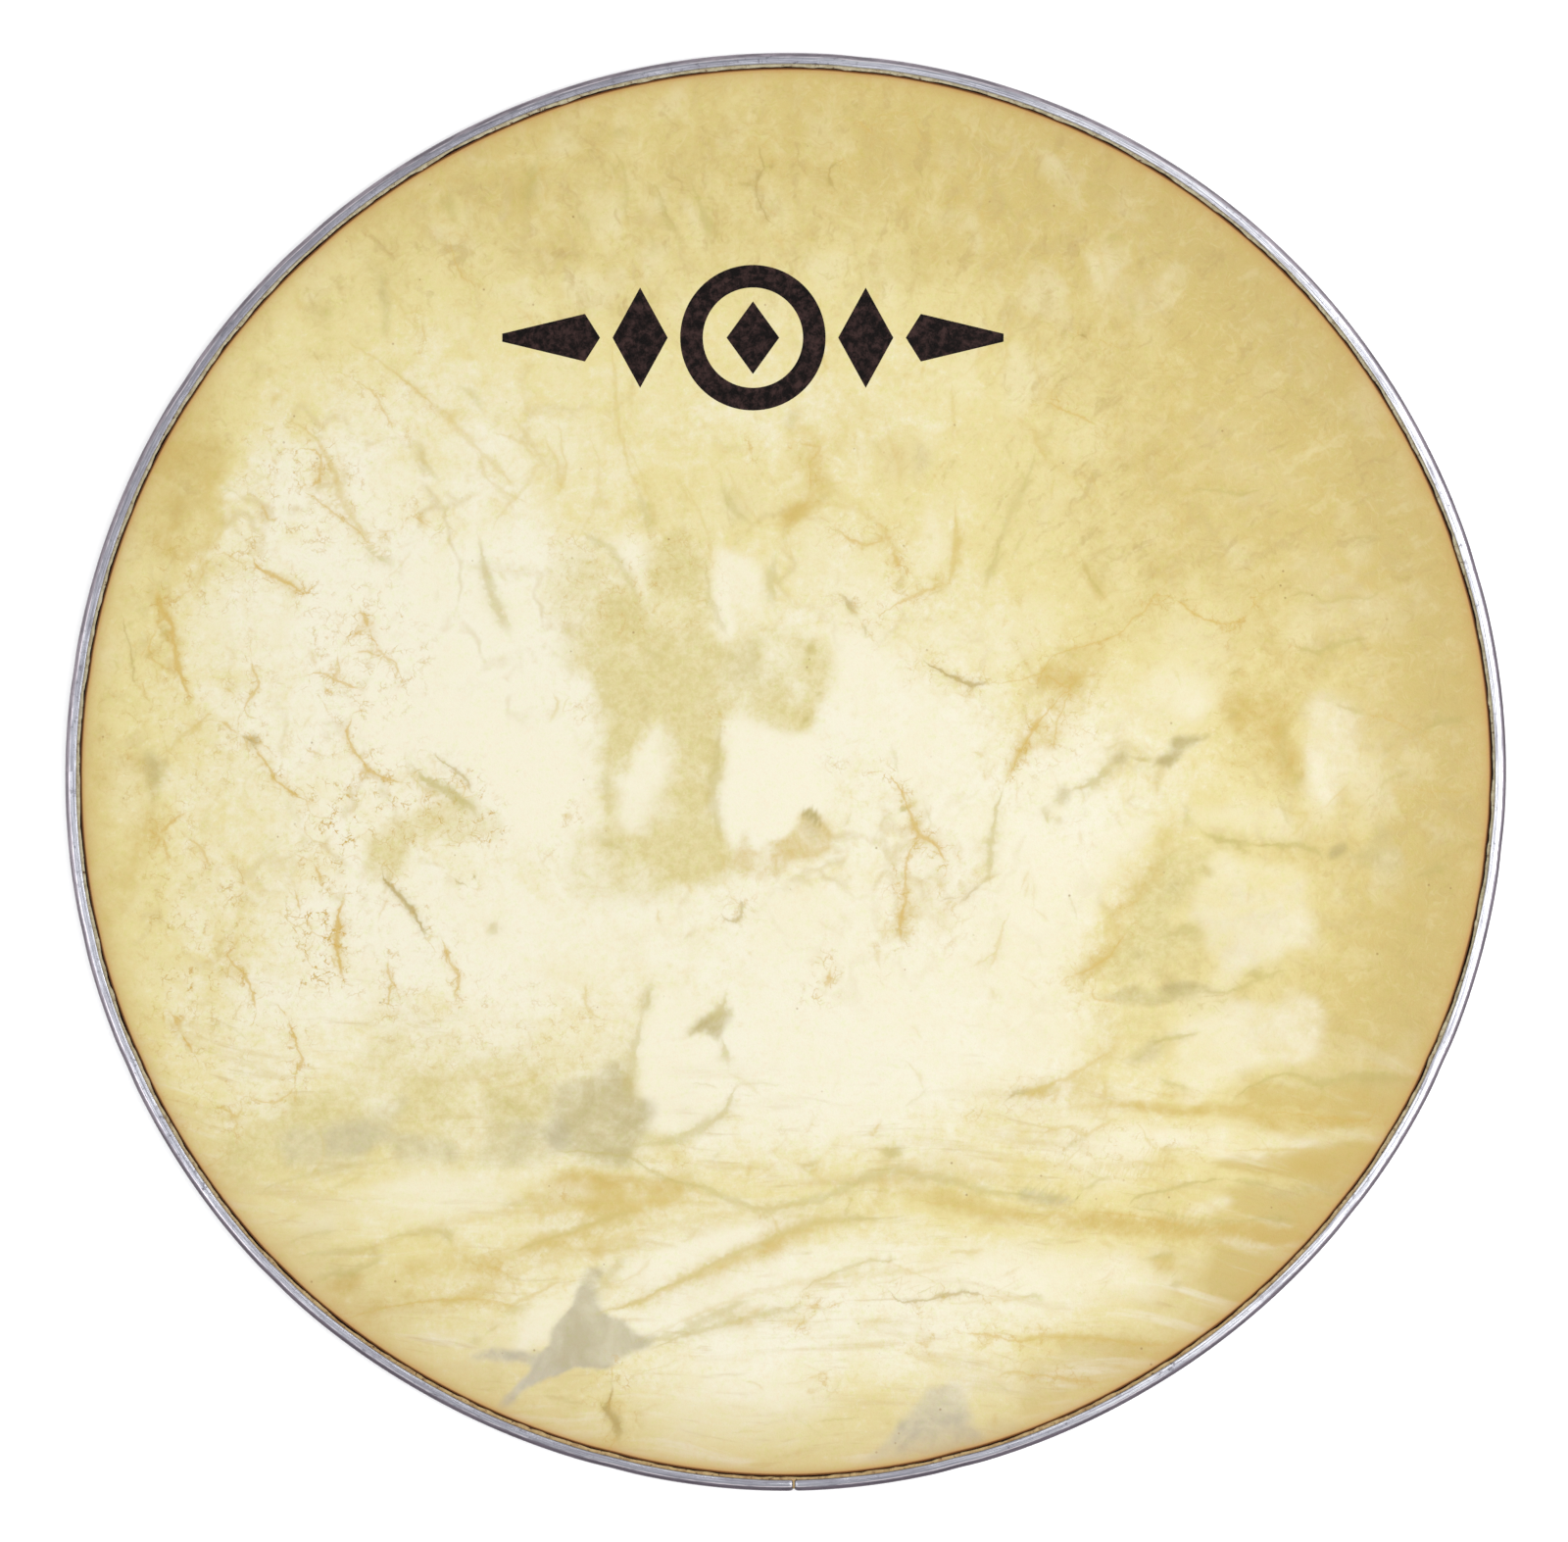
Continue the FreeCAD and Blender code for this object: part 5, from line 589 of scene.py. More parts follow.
TINTS = [
    ("ochre", 191, 166.9, 101.7, 86, -45, 0.66), ("ochre", 108.9, 229.5, 117.3, 35.2, -18, 0.4), ("ochre", -0.6, 249, 129, 43, 0, 0.44),
    ("ochre", -125.7, 229.5, 70.4, 35.2, 35, 0.3), ("ochre", 253.6, 57.4, 43, 109.5, 0, 0.62), ("ochre", 241.8, -83.3, 43, 86, -15, 0.5),
    ("ochre", -196.1, 178.6, 46.9, 46.9, 45, 0.18), ("ochre", 148, 96.5, 78.2, 54.7, 0, 0.34), ("ochre", -39.7, 112.2, 66.5, 31.3, 0, 0.28),
    ("ochre", -43.6, 37.9, 58.7, 58.7, 0, 0.25), ("ochre", -246.9, 104.4, 23.5, 58.7, -10, 0.12), ("ochre", -268.4, -16.9, 19.6, 78.2, 0, 0.2),
    ("ochre", -172.6, -216.3, 54.7, 27.4, -40, 0.2), ("ochre", -39.7, -259.3, 117.3, 23.5, 0, 0.3), ("ochre", 171.5, -212.4, 70.4, 35.2, 40, 0.42),
    ("ochre", -78.8, -173.3, 93.8, 23.5, 5, 0.22), ("ochre", 97.2, -181.1, 101.7, 23.5, -5, 0.2), ("ochre", 62, -235.8, 46.9, 23.5, 0, 0.1),
    ("ochre", 148, -63.8, 27.4, 43, -20, 0.2), ("ochre", 62, 18.3, 58.7, 74.3, 0, -0.22), ("ochre", 30.7, -114.6, 89.9, 39.1, 0, -0.16),
    ("ochre", -129.6, 34, 50.8, 43, 0, -0.14), ("ochre", -157, -114.6, 46.9, 35.2, 0, -0.08), ("ochre", 120.6, -16.9, 35.2, 43, -20, -0.16),
    ("ochre", 190.0, -98, 44.0, 24.0, 0, 0.18), ("ochre", -0.6, -130.2, 43, 35.2, 0, -0.12), ("ochre", -164.8, 41.8, 86, 66.5, 0, -0.3),
    ("ochre", -184.4, 120, 46.9, 46.9, 0, -0.22), ("ochre", -164.8, -67.7, 62.6, 43, 0, -0.22), ("ochre", -223.5, -114.6, 27.4, 35.2, 0, -0.22),
    ("ochre", -63.1, 120, 54.7, 23.5, 0, -0.12), ("ochre", -31.9, 8.0, 58.7, 58.7, 0, -0.24), ("ochre", -102.2, 57.4, 31.3, 46.9, 0, -0.16),
    ("ochre", -137.4, 178.6, 46.9, 35.2, 0, -0.12), ("ochre", -196.1, 190.4, 23.5, 23.5, 0, -0.12), ("ochre", -16.2, -239.7, 78.2, 31.3, 0, -0.3),
    ("ochre", -71, -200.6, 70.4, 35.2, 0, -0.16), ("ochre", -141.3, -173.3, 62.6, 23.5, 0, -0.16), ("ochre", 202.7, 2.7, 39.1, 46.9, 0, 0.14),
    ("ochre", 108.9, -200.6, 62.6, 27.4, 0, -0.06), ("ochre", -94.4, -239.7, 78.2, 35.2, 0, -0.18), ("ochre", -145.3, -204.5, 62.6, 27.4, 0, -0.14),
    ("ochre", 77.6, -220.2, 101.7, 39.1, 0, -0.26), ("ochre", -39.7, -259.3, 78.2, 19.6, 0, -0.04), ("ochre", -0.6, 206, 132.9, 31.3, 0, 0.18),
    ("ochre", 81.5, 34, 50.8, 50.8, 0, 0.14), ("ochre", 159.7, 73.1, 46.9, 43, 0, 0.1), ("ochre", -95.6, -224.9, 62, 31.3, -20, 0.27),
    ("ochre", 185.1, -78.6, 54.7, 46.9, 0, 0.24), ("ochre", 77.6, 34, 43, 35.2, 0, 0.1), ("ochre", 48.3, 108.3, 43, 46.9, 0, 0.14),
    ("ochre", 78.4, 185.3, 43, 31.3, 0, 0.1), ("ochre", 248, 104, 20, 66, 22, 0.26), ("dark", 170, -72, 58, 46, -20, 0.2), ("ochre", -75.7, 186.5, 50, 36, 0, 0.26),
]
# PATTERN-END


# ---------------------------------------------------------------- skin pattern fields
def skin_fields(x, y):
    """Fields of the hide's markings at points x, y in mm."""
    n = len(x)
    f = {k: np.zeros(n) for k in ("ochre", "veil", "light", "lilac", "tan", "dark", "net")}
    wx = x + 3.0 * noise2(x, y, 22, 5) + 1.0 * noise2(x, y, 7, 15, 2)
    wy = y + 3.0 * noise2(x, y, 22, 6) + 1.0 * noise2(x, y, 7, 16, 2)
    for kind, cx, cy, rx, ry, turn, amount in TINTS:
        c, s = math.cos(math.radians(turn)), math.sin(math.radians(turn))
        u, v = ((wx - cx) * c + (wy - cy) * s) / rx, (-(wx - cx) * s + (wy - cy) * c) / ry
        f[kind] += amount * np.exp(-(u * u + v * v))
    for kind, soft, amount, pts in PATCHES:
        p = np.asarray(pts, float)
        lo, hi = p.min(0) - 25, p.max(0) + 25
        sel = np.nonzero((x > lo[0]) & (x < hi[0]) & (y > lo[1]) & (y < hi[1]))[0]
        if not len(sel):
            continue
        q = np.vstack([spline(np.vstack([p, p[:1]]), 2.5)])
        X, Y = wx[sel][:, None], wy[sel][:, None]
        a, b = q[:-1], q[1:]
        ab = b - a
        L = (ab ** 2).sum(1) + 1e-9
        t = np.clip(((X - a[:, 0]) * ab[:, 0] + (Y - a[:, 1]) * ab[:, 1]) / L, 0, 1)
        d = np.sqrt((X - a[:, 0] - t * ab[:, 0]) ** 2 + (Y - a[:, 1] - t * ab[:, 1]) ** 2).min(1)
        cross = ((a[:, 1] > Y) != (b[:, 1] > Y)) & (X < (b[:, 0] - a[:, 0]) * (Y - a[:, 1]) / (b[:, 1] - a[:, 1] + 1e-12) + a[:, 0])
        inside = cross.sum(1) % 2 == 1
        sd = np.where(inside, d, -d)
        f[kind][sel] += amount * step(-soft, soft, sd)
    phi = np.arctan2(y, x)
    r = np.hypot(x, y)
    # narrow marks go to four layers of signed distance, so that close neighbours never share one
    lines = [{"s": np.full(n, 9.0), "w": np.full(n, 0.4), "k": np.zeros(n), "t": np.zeros(n), "best": np.full(n, 9.0), "d": []} for _ in range(LAYERS)]
    tone = {"vein": 0.0, "tan": 0.33, "dark": 0.67, "crack": 1.0}
    for kind, width, amount, pts in STROKES + twigs() + faint_marks():
        q = spline(np.asarray(pts, float), 2.0)
        narrow = kind in ("vein", "crack") or (kind in tone and width < 6.5)
        reach = 7.0 if narrow else 1.8 * width + 3
        lo, hi = q.min(0) - reach, q.max(0) + reach
        sel = np.nonzero((x > lo[0]) & (x < hi[0]) & (y > lo[1]) & (y < hi[1]))[0]
        if not len(sel):
            continue
        px, py = (x, y) if narrow else (0.5 * (x + wx), 0.5 * (y + wy))
        X, Y = px[sel][:, None], py[sel][:, None]
        a, b = q[:-1], q[1:]
        ab = b - a
        seg = np.sqrt((ab ** 2).sum(1)) + 1e-9
        t = np.clip(((X - a[:, 0]) * ab[:, 0] + (Y - a[:, 1]) * ab[:, 1]) / seg ** 2, 0, 1)
        d2 = (X - a[:, 0] - t * ab[:, 0]) ** 2 + (Y - a[:, 1] - t * ab[:, 1]) ** 2
        k = d2.argmin(1)
        rows = np.arange(len(sel))
        d = np.sqrt(d2[rows, k])
        run = np.r_[0, np.cumsum(seg)]
        along = (run[k] + t[rows, k] * seg[k]) / run[-1]
        skew = along ** (0.50 + 1.5 * abs(math.sin(12.9 * pts[0][0] + 4.1 * pts[0][1])))
        fat = np.clip(4 * skew * (1 - skew), 0.0, 1) ** 0.8
        if narrow:
            q0, q1 = q.min(0), q.max(0)
            gaps = []
            for L in lines:
                gap = 9.0
                for o0, o1, o in L["d"]:
                    if (q0 - o1).max() < gap and (o0 - q1).max() < gap:
                        gap = min(gap, np.abs(q[:, None] - o[None]).max(2).min())
                gaps.append(gap)
            L = lines[int(np.argmax(gaps))]
            L["d"].append((q0, q1, q))
            sign = np.sign(ab[k, 0] * (Y[:, 0] - a[k, 1]) - ab[k, 1] * (X[:, 0] - a[k, 0]))
            ends = step(0, min(0.4, (1.2 + 1.6 * width) / run[-1]), np.minimum(along, 1 - along))
            near = d < L["best"][sel]
            s2 = sel[near]
            L["best"][s2] = d[near]
            L["s"][s2] = (d * sign)[near]
            L["w"][s2] = (0.5 * width * (0.20 + 0.95 * fat))[near]
            L["k"][s2] = (amount * (0.15 + 0.85 * ends) * (1 - step(3.0, 5.5, d)))[near]
            L["t"][s2] = tone[kind]
            f["tan"][sel] += 0.22 * amount * np.exp(-(d / (2.4 + 1.2 * width)) ** 2) * (0.3 + 0.7 * fat)
            if kind in ("tan", "dark") and width > 0.9:
                # the mark is the edge of a fold: shaded outside, paler towards the middle
                out_side = sign * np.sign(-(ab[k, 1]) * x[sel] + ab[k, 0] * y[sel])
                fold = amount * np.exp(-d / (2.6 + 1.3 * width)) * step(0, 1.2, d) * step(0, 0.3, np.minimum(along, 1 - along)) * (0.3 + 0.7 * fat)
                f["tan"][sel] += 0.34 * fold * (out_side > 0)
                f["light"][sel] += 0.30 * fold * (out_side < 0)
            if kind == "vein":
                f["net"][sel] = np.maximum(f["net"][sel], 0.75 * amount * np.exp(-(d / 6.5) ** 2))
        else:
            w = 0.6 * width * (0.45 + 0.55 * fat)
            f[kind][sel] = np.maximum(f[kind][sel], 0) + amount * np.exp(-(d / w) ** 2) * (0.3 + 0.7 * fat)
    f["veil"] *= np.clip(0.86 + 0.45 * noise2(x, y, 16, 31, 3), 0.35, 1.25)
    # tone of the ground: cream in the middle, ochre towards the hoop
    f["ochre"] += 0.20 + 0.06 * step(60, 150, r) + 0.12 * step(150, 225, r) + 0.16 * step(215, 278, r)
    # long level waves of the fibres over the lower third
    low = step(-75, -135, y + 0.06 * x + 12 * noise2(x, y, 90, 21, 2))
    v_l = y + 0.10 * x - 12 * np.sin(x / 84.0 + 0.6) + 5 * noise2(x, y, 80, 22, 2)
    f["low"] = low
    f["flow_low"] = np.stack([x + 8 * noise2(x, y, 80, 23, 2), v_l, np.zeros(n)], 1)
    for i, L in enumerate(lines):
        f[f"line{i}"] = np.stack([L["s"], L["w"], L["k"]], 1)
    f["tones"] = np.stack([lines[0]["t"], lines[1]["t"], lines[2]["t"]], 1)
    f["tone3"] = lines[3]["t"]
    return f


LAYERS = 4


def twigs():
    """Hair-thin side branches of the veins and cracks, and their thin ends."""
    rng = np.random.default_rng(5)
    out = []
    for kind, width, amount, pts in STROKES:
        if kind not in ("vein", "crack"):
            continue
        q = spline(np.asarray(pts, float), 1.5)
        length = np.hypot(*np.diff(q, axis=0).T).sum()
        if length < 4:
            continue
        starts = [(int(rng.integers(1, len(q) - 1)), None) for _ in range(int(length / 4.5))] + [(0, -1), (len(q) - 1, 1)]
        for i, end in starts:
            a, b = q[max(0, i - 1)], q[min(len(q) - 1, i + 1)]
            turn = math.atan2(b[1] - a[1], b[0] - a[0])
            if end is None:
                turn += rng.choice((-1, 1)) * rng.uniform(0.5, 1.4)
                reach = rng.uniform(2.5, 7.5)
            else:
                turn += (math.pi if end < 0 else 0) + rng.normal(0, 0.3)
                reach = rng.uniform(4, 9)
            line, bend = [tuple(q[i])], rng.normal(0, 0.5)
            for _ in range(3):
                turn += bend + rng.normal(0, 0.35)
                line.append((line[-1][0] + reach / 3 * math.cos(turn), line[-1][1] + reach / 3 * math.sin(turn)))
            out.append(("vein", float(rng.uniform(0.35, 0.7)), float(amount * rng.uniform(0.45, 0.8)), line))
    return out


def faint_marks():
    """Small faint marks that every such hide carries between the strong ones."""
    rng = np.random.default_rng(77)
    out = []
    for i in range(230):
        rr, a = 268 * math.sqrt(rng.uniform(0.01, 1)), rng.uniform(0, 2 * math.pi)
        x0, y0 = rr * math.cos(a), rr * math.sin(a)
        low = y0 < -95
        turn = rng.normal(0.0, 0.22) if low else rng.normal(math.pi / 2, 0.55)
        length = rng.uniform(5, 17) * (1.5 if low else 1.0)
        bend = rng.normal(0, 0.45)
        pts = [(x0, y0)]
        for j in range(3):
            turn += bend * 0.5
            pts.append((pts[-1][0] + length / 3 * math.cos(turn), pts[-1][1] + length / 3 * math.sin(turn)))
        kind = ("tan", "tan", "dark", "vein")[int(rng.integers(4))]
        out.append((kind, float(rng.uniform(0.8, 2.4)), float(rng.uniform(0.12, 0.34)), pts))
    return out


# ---------------------------------------------------------------- node helper
class Nodes:
    def __init__(self, material):
        material.use_nodes = True
        self.t = material.node_tree
        self.shader = self.t.nodes["Principled BSDF"]

    def new(self, kind, **props):
        n = self.t.nodes.new(kind)
        for k, v in props.items():
            setattr(n, k, v)
        return n

    def put(self, socket, value):
        if isinstance(value, bpy.types.NodeSocket):
            self.t.links.new(value, socket)
        else:
            socket.default_value = value

    def math(self, op, a, b=0.0, c=0.0, clamp=False):
        n = self.new("ShaderNodeMath", operation=op, use_clamp=clamp)
        for s, v in zip(n.inputs, (a, b, c)):
            self.put(s, v)
        return n.outputs[0]

    def add(self, a, b):
        return self.math("ADD", a, b)

    def mul(self, a, b):
        return self.math("MULTIPLY", a, b)

    def ramp(self, v, lo, hi, a=0.0, b=1.0):
        n = self.new("ShaderNodeMapRange", interpolation_type="SMOOTHSTEP")
        for s, x in zip(n.inputs, (v, lo, hi, a, b)):
            self.put(s, x)
        return n.outputs[0]

    def mix(self, fac, a, b, mode="MIX"):
        n = self.new("ShaderNodeMix", data_type="RGBA", blend_type=mode, clamp_factor=True)
        self.put(n.inputs[0], fac)
        self.put(n.inputs[6], a)
        self.put(n.inputs[7], b)
        return n.outputs[2]

    def vec(self, op, a, b=(0, 0, 0), scale=None):
        n = self.new("ShaderNodeVectorMath", operation=op)
        self.put(n.inputs[0], a)
        if scale is None:
            self.put(n.inputs[1], b)
        else:
            self.put(n.inputs[3], scale)
        return n.outputs[0]

    def noise(self, vec, size, detail=2.0, rough=0.5, distort=0.0, out="Fac"):
        """Noise whose lumps are about size units of vec across."""
        n = self.new("ShaderNodeTexNoise")
        self.put(n.inputs["Vector"], vec)
        n.inputs["Scale"].default_value = 1.0 / size
        n.inputs["Detail"].default_value = detail
        n.inputs["Roughness"].default_value = rough
        n.inputs["Distortion"].default_value = distort
        return n.outputs[out]

    def cells(self, vec, size, feature="DISTANCE_TO_EDGE", randomness=1.0):
        n = self.new("ShaderNodeTexVoronoi", feature=feature)
        self.put(n.inputs["Vector"], vec)
        n.inputs["Scale"].default_value = 1.0 / size
        n.inputs["Randomness"].default_value = randomness
        return n.outputs["Distance"]

    def attr(self, name, out="Fac"):
        return self.new("ShaderNodeAttribute", attribute_type="GEOMETRY", attribute_name=name).outputs[out]

    def split(self, v):
        n = self.new("ShaderNodeSeparateXYZ")
        self.put(n.inputs[0], v)
        return n.outputs

    def mm(self):
        return self.vec("SCALE", self.new("ShaderNodeTexCoord").outputs["Object"], scale=1000.0)

    def bump(self, height, distance, strength=1.0, normal=None):
        n = self.new("ShaderNodeBump")
        n.inputs["Strength"].default_value = strength
        n.inputs["Distance"].default_value = distance
        self.put(n.inputs["Height"], height)
        if normal is not None:
            self.put(n.inputs["Normal"], normal)
        return n.outputs[0]


def rgb(r, g, b):
    """An sRGB colour as seen, 0-255, to the linear colour of the surface under these lights."""
    lin = [(c / 255 / 12.92) if c <= 10 else ((c / 255 + 0.055) / 1.055) ** 2.4 for c in (r, g, b)]
    return tuple(min(0.95, v / LEVEL) for v in lin) + (1.0,)


LEVEL = 1.77   # light on a white card lying on the floor


# ---------------------------------------------------------------- materials
def hide_material():
    m = bpy.data.materials.new("natural_hide")
    k = Nodes(m)
    p = k.mm()
    lowv = k.attr("flow_low", "Vector")
    low = k.attr("low")
    n_big = k.noise(p, 60, 3, 0.55, 0.4)
    n_mid = k.noise(p, 16, 4, 0.6, 0.5)
    n_fine = k.noise(p, 3.4, 4, 0.75, 0.3)
    n_hair = k.noise(p, 1.1, 3, 0.7)
    # ground colour, cream to ochre
    ochre = k.add(k.attr("ochre"), k.mul(k.add(n_big, -0.5), 0.30))
    ochre = k.add(ochre, k.add(k.mul(k.add(n_mid, -0.5), 0.72), k.mul(k.add(n_fine, -0.5), 0.44)))
    cream, yellow, gold = rgb(251, 246, 223), rgb(239, 225, 162), rgb(219, 197, 123)
    col = k.mix(k.ramp(ochre, -0.05, 0.55), cream, yellow)
    col = k.mix(k.ramp(ochre, 0.45, 1.25), col, gold)
    # long wavy bands over the lower third
    lowp = k.vec("MULTIPLY", lowv, (0.15, 1.0, 1.0))
    band = k.noise(lowp, 12, 4, 0.6, 0.5)
    fibre = k.noise(k.vec("MULTIPLY", lowv, (0.12, 1.0, 1.0)), 3.2, 3, 0.6, 0.3)
    col = k.mix(k.mul(low, k.ramp(band, 0.50, 0.74, 0, 0.52)), col, rgb(221, 198, 138))
    col = k.mix(k.mul(low, k.ramp(band, 0.48, 0.28, 0, 0.52)), col, rgb(252, 247, 222))
    col = k.mix(k.mul(low, k.ramp(fibre, 0.56, 0.76, 0, 0.40)), col, rgb(206, 176, 116))
    # soft leaf-shaped lobes over the upper part
    up = k.math("SUBTRACT", 1.0, low)
    warp = k.vec("SCALE", k.vec("SUBTRACT", k.noise(p, 15, 2, 0.5, 0.0, "Color"), (0.5, 0.5, 0.5)), scale=20.0)
    lobe = k.cells(k.vec("MULTIPLY", k.vec("ADD", p, warp), (1.0, 0.72, 1.0)), 25)
    lobe_zone = k.mul(up, k.ramp(k.noise(p, 70, 2, 0.5, 0.3), 0.38, 0.62))
    edge = k.mul(k.ramp(lobe, 0.09, 0.0), k.ramp(n_mid, 0.40, 0.62))
    col = k.mix(k.mul(lobe_zone, k.mul(edge, 0.42)), col, rgb(212, 190, 134))
    col = k.mix(k.mul(lobe_zone, k.ramp(lobe, 0.08, 0.38, 0, 0.36)), col, rgb(250, 243, 210))
    # fine mottling, a touch greener and pinker by turns
    col = k.mix(k.ramp(n_fine, 0.52, 0.80, 0, 0.30), col, rgb(224, 203, 128))
    pale = k.math("SUBTRACT", 1.0, k.ramp(ochre, 0.35, 0.9))
    col = k.mix(k.mul(pale, k.ramp(n_fine, 0.46, 0.22, 0, 0.32)), col, rgb(252, 248, 226))
    # cloudy streaks where the hide is ochre
    here = k.split(p)
    fan = k.new("ShaderNodeCombineXYZ")
    k.put(fan.inputs[0], k.mul(k.math("ARCTAN2", here[0], here[1]), 190.0))
    k.put(fan.inputs[1], k.mul(k.math("SQRT", k.add(k.mul(here[0], here[0]), k.mul(here[1], here[1]))), 0.45))
    cloud = k.noise(k.vec("ADD", fan.outputs[0], k.vec("SCALE", k.noise(p, 9.0, 2, 0.5, 0.0, "Color"), scale=9.0)), 9.0, 4, 0.62)
    zone = k.mul(k.math("SUBTRACT", 1.0, low), k.ramp(ochre, 0.35, 0.8))
    col = k.mix(k.mul(zone, k.ramp(cloud, 0.52, 0.72, 0, 0.42)), col, rgb(208, 184, 116))
    col = k.mix(k.mul(zone, k.ramp(cloud, 0.48, 0.28, 0, 0.36)), col, rgb(243, 230, 178))
    crepe = k.noise(k.vec("MULTIPLY", k.vec("ADD", fan.outputs[0], k.vec("SCALE", k.noise(p, 14.0, 2, 0.5, 0.0, "Color"), scale=16.0)), (0.45, 2.6, 1.0)), 2.3, 3, 0.62)
    col = k.mix(k.mul(zone, k.ramp(crepe, 0.54, 0.72, 0, 0.34)), col, rgb(202, 176, 108))
    col = k.mix(k.mul(zone, k.ramp(crepe, 0.46, 0.30, 0, 0.26)), col, rgb(241, 227, 172))
    # thin wavy creases that run outwards over the upper part
    streak = k.noise(k.vec("MULTIPLY", k.vec("ADD", fan.outputs[0], k.vec("SCALE", k.noise(p, 11.0, 2, 0.5, 0.0, "Color"), scale=12.0)), (1.0, 0.5, 1.0)), 5.5, 3, 0.6)
    upper = k.mul(zone, k.ramp(here[1], 10, 110))
    col = k.mix(k.mul(upper, k.ramp(streak, 0.56, 0.70, 0, 0.44)), col, rgb(198, 171, 108))
    col = k.mix(k.mul(upper, k.ramp(streak, 0.44, 0.30, 0, 0.30)), col, rgb(240, 226, 174))
    # listed markings
    rough = k.add(k.mul(k.add(n_mid, -0.5), 1.5), k.mul(k.add(n_fine, -0.5), 0.45))
    def mark(name, colour, hi, amount, grain):
        v = k.attr(name)
        v = k.add(v, k.mul(rough, k.mul(k.math("MINIMUM", v, 0.8), grain)))
        return k.mix(k.ramp(v, 0.06, hi, 0, amount), col, colour)
    col = mark("light", rgb(252, 246, 221), 1.0, 0.90, 1.3)
    col = mark("veil", k.mix(k.ramp(n_fine, 0.35, 0.65), rgb(233, 220, 163), rgb(222, 207, 142)), 1.0, 0.92, 0.65)
    col = mark("tan", rgb(216, 188, 106), 1.05, 0.92, 1.4)
    # lilac-grey where the hide is thin: painted shade of the floor seen through it
    col = mark("lilac", k.mix(k.ramp(n_mid, 0.35, 0.65), rgb(217, 209, 180), rgb(199, 190, 162)), 1.05, 0.95, 0.9)
    col = mark("dark", rgb(192, 176, 118), 1.10, 0.92, 1.1)
    # fine golden webs of broken threads
    wp = k.vec("ADD", p, k.vec("SCALE", k.vec("SUBTRACT", k.noise(p, 5.0, 3, 0.6, 0.0, "Color"), (0.5, 0.5, 0.5)), scale=7.0))
    broken = k.ramp(k.noise(p, 5.0, 3, 0.6), 0.47, 0.60)
    web = k.add(k.ramp(k.cells(wp, 6.5), 0.060, 0.004), k.mul(k.ramp(k.cells(k.vec("ADD", wp, (31.0, 7.0, 3.0)), 3.4), 0.085, 0.01), 0.6))
    col = k.mix(k.mul(k.mul(web, broken), k.math("MINIMUM", k.attr("net"), 0.9)), col, rgb(212, 177, 96))
    # narrow marks: signed distance across, half width and strength along each of them
    wob = k.add(k.mul(k.add(k.noise(p, 6.0, 3, 0.65), -0.5), 3.4), k.mul(k.add(n_hair, -0.5), 0.9))
    swell = k.ramp(k.noise(p, 5.0, 2, 0.6), 0.30, 0.72, 0.55, 1.5)
    tones = k.split(k.attr("tones", "Vector"))
    for i in range(LAYERS):
        s, w, amount = k.split(k.attr(f"line{i}", "Vector"))[:3]
        tone = tones[i] if i < 3 else k.attr("tone3")
        d = k.math("DIVIDE", k.math("ABSOLUTE", k.add(s, wob)), k.mul(w, swell))
        line = k.mul(k.add(k.ramp(d, 1.25, 0.15, 0, 0.64), k.ramp(d, 3.4, 0.4, 0, 0.27)), amount)
        ink = k.mix(k.ramp(tone, 0.0, 0.33), rgb(219, 185, 97), rgb(222, 197, 117))
        ink = k.mix(k.ramp(tone, 0.40, 0.67), ink, rgb(202, 187, 113))
        ink = k.mix(k.ramp(tone, 0.75, 1.0), ink, rgb(187, 164, 92))
        col = k.mix(k.mul(line, 1.0), col, ink)
    # painted shade: the hide is a little darker towards the hoop on the right, where the hoop shades it
    radius = k.math("SQRT", k.add(k.mul(here[0], here[0]), k.mul(here[1], here[1])))
    right = k.mul(k.ramp(radius, 225, 283), k.ramp(k.add(here[0], k.mul(here[1], 0.25)), 80, 250))
    col = k.mix(k.mul(right, 0.8), col, k.mix(1.0, col, (0.865, 0.84, 0.86, 1), "MULTIPLY"))
    # and greyer by the hoop at the bottom: painted shade of the floor seen through the hide
    foot = k.mul(k.ramp(radius, 235, 283), k.ramp(here[1], -110, -230))
    col = k.mix(k.mul(foot, 0.8), col, k.mix(1.0, col, (0.89, 0.87, 1.0, 1), "MULTIPLY"))
    # the edge where the skin turns down beside the hoop: brown and stained, with painted shade that deepens towards the
    # hoop
    rim = k.attr("rim")
    rimn = k.add(rim, k.mul(k.add(n_mid, -0.5), 5.0))
    col = k.mix(k.ramp(rimn, 14.0, 0.0, 0, 0.40), col, rgb(212, 182, 108))
    col = k.mix(k.ramp(rimn, 5.0, 0.0, 0, 0.34), col, rgb(196, 156, 92))
    col = k.mix(k.ramp(k.add(rim, k.mul(k.add(n_fine, -0.5), 1.0)), 1.7, 0.1, 0, 0.55), col, rgb(206, 150, 82))
    col = k.mix(k.ramp(rim, 0.35, -0.3, 0, 0.92), col, rgb(140, 84, 44))
    flap = k.attr("flap")
    fl = k.mix(k.ramp(n_fine, 0.35, 0.7), rgb(206, 197, 168), rgb(166, 152, 120))
    fl = k.mix(k.ramp(here[1], -70, -230, 0, 0.75), fl, k.mix(k.ramp(n_fine, 0.35, 0.7), rgb(206, 172, 112), rgb(164, 122, 74)))
    fl = k.mix(k.ramp(k.noise(p, 1.8, 3, 0.7), 0.56, 0.70), fl, rgb(98, 66, 42))
    col = k.mix(flap, col, fl)
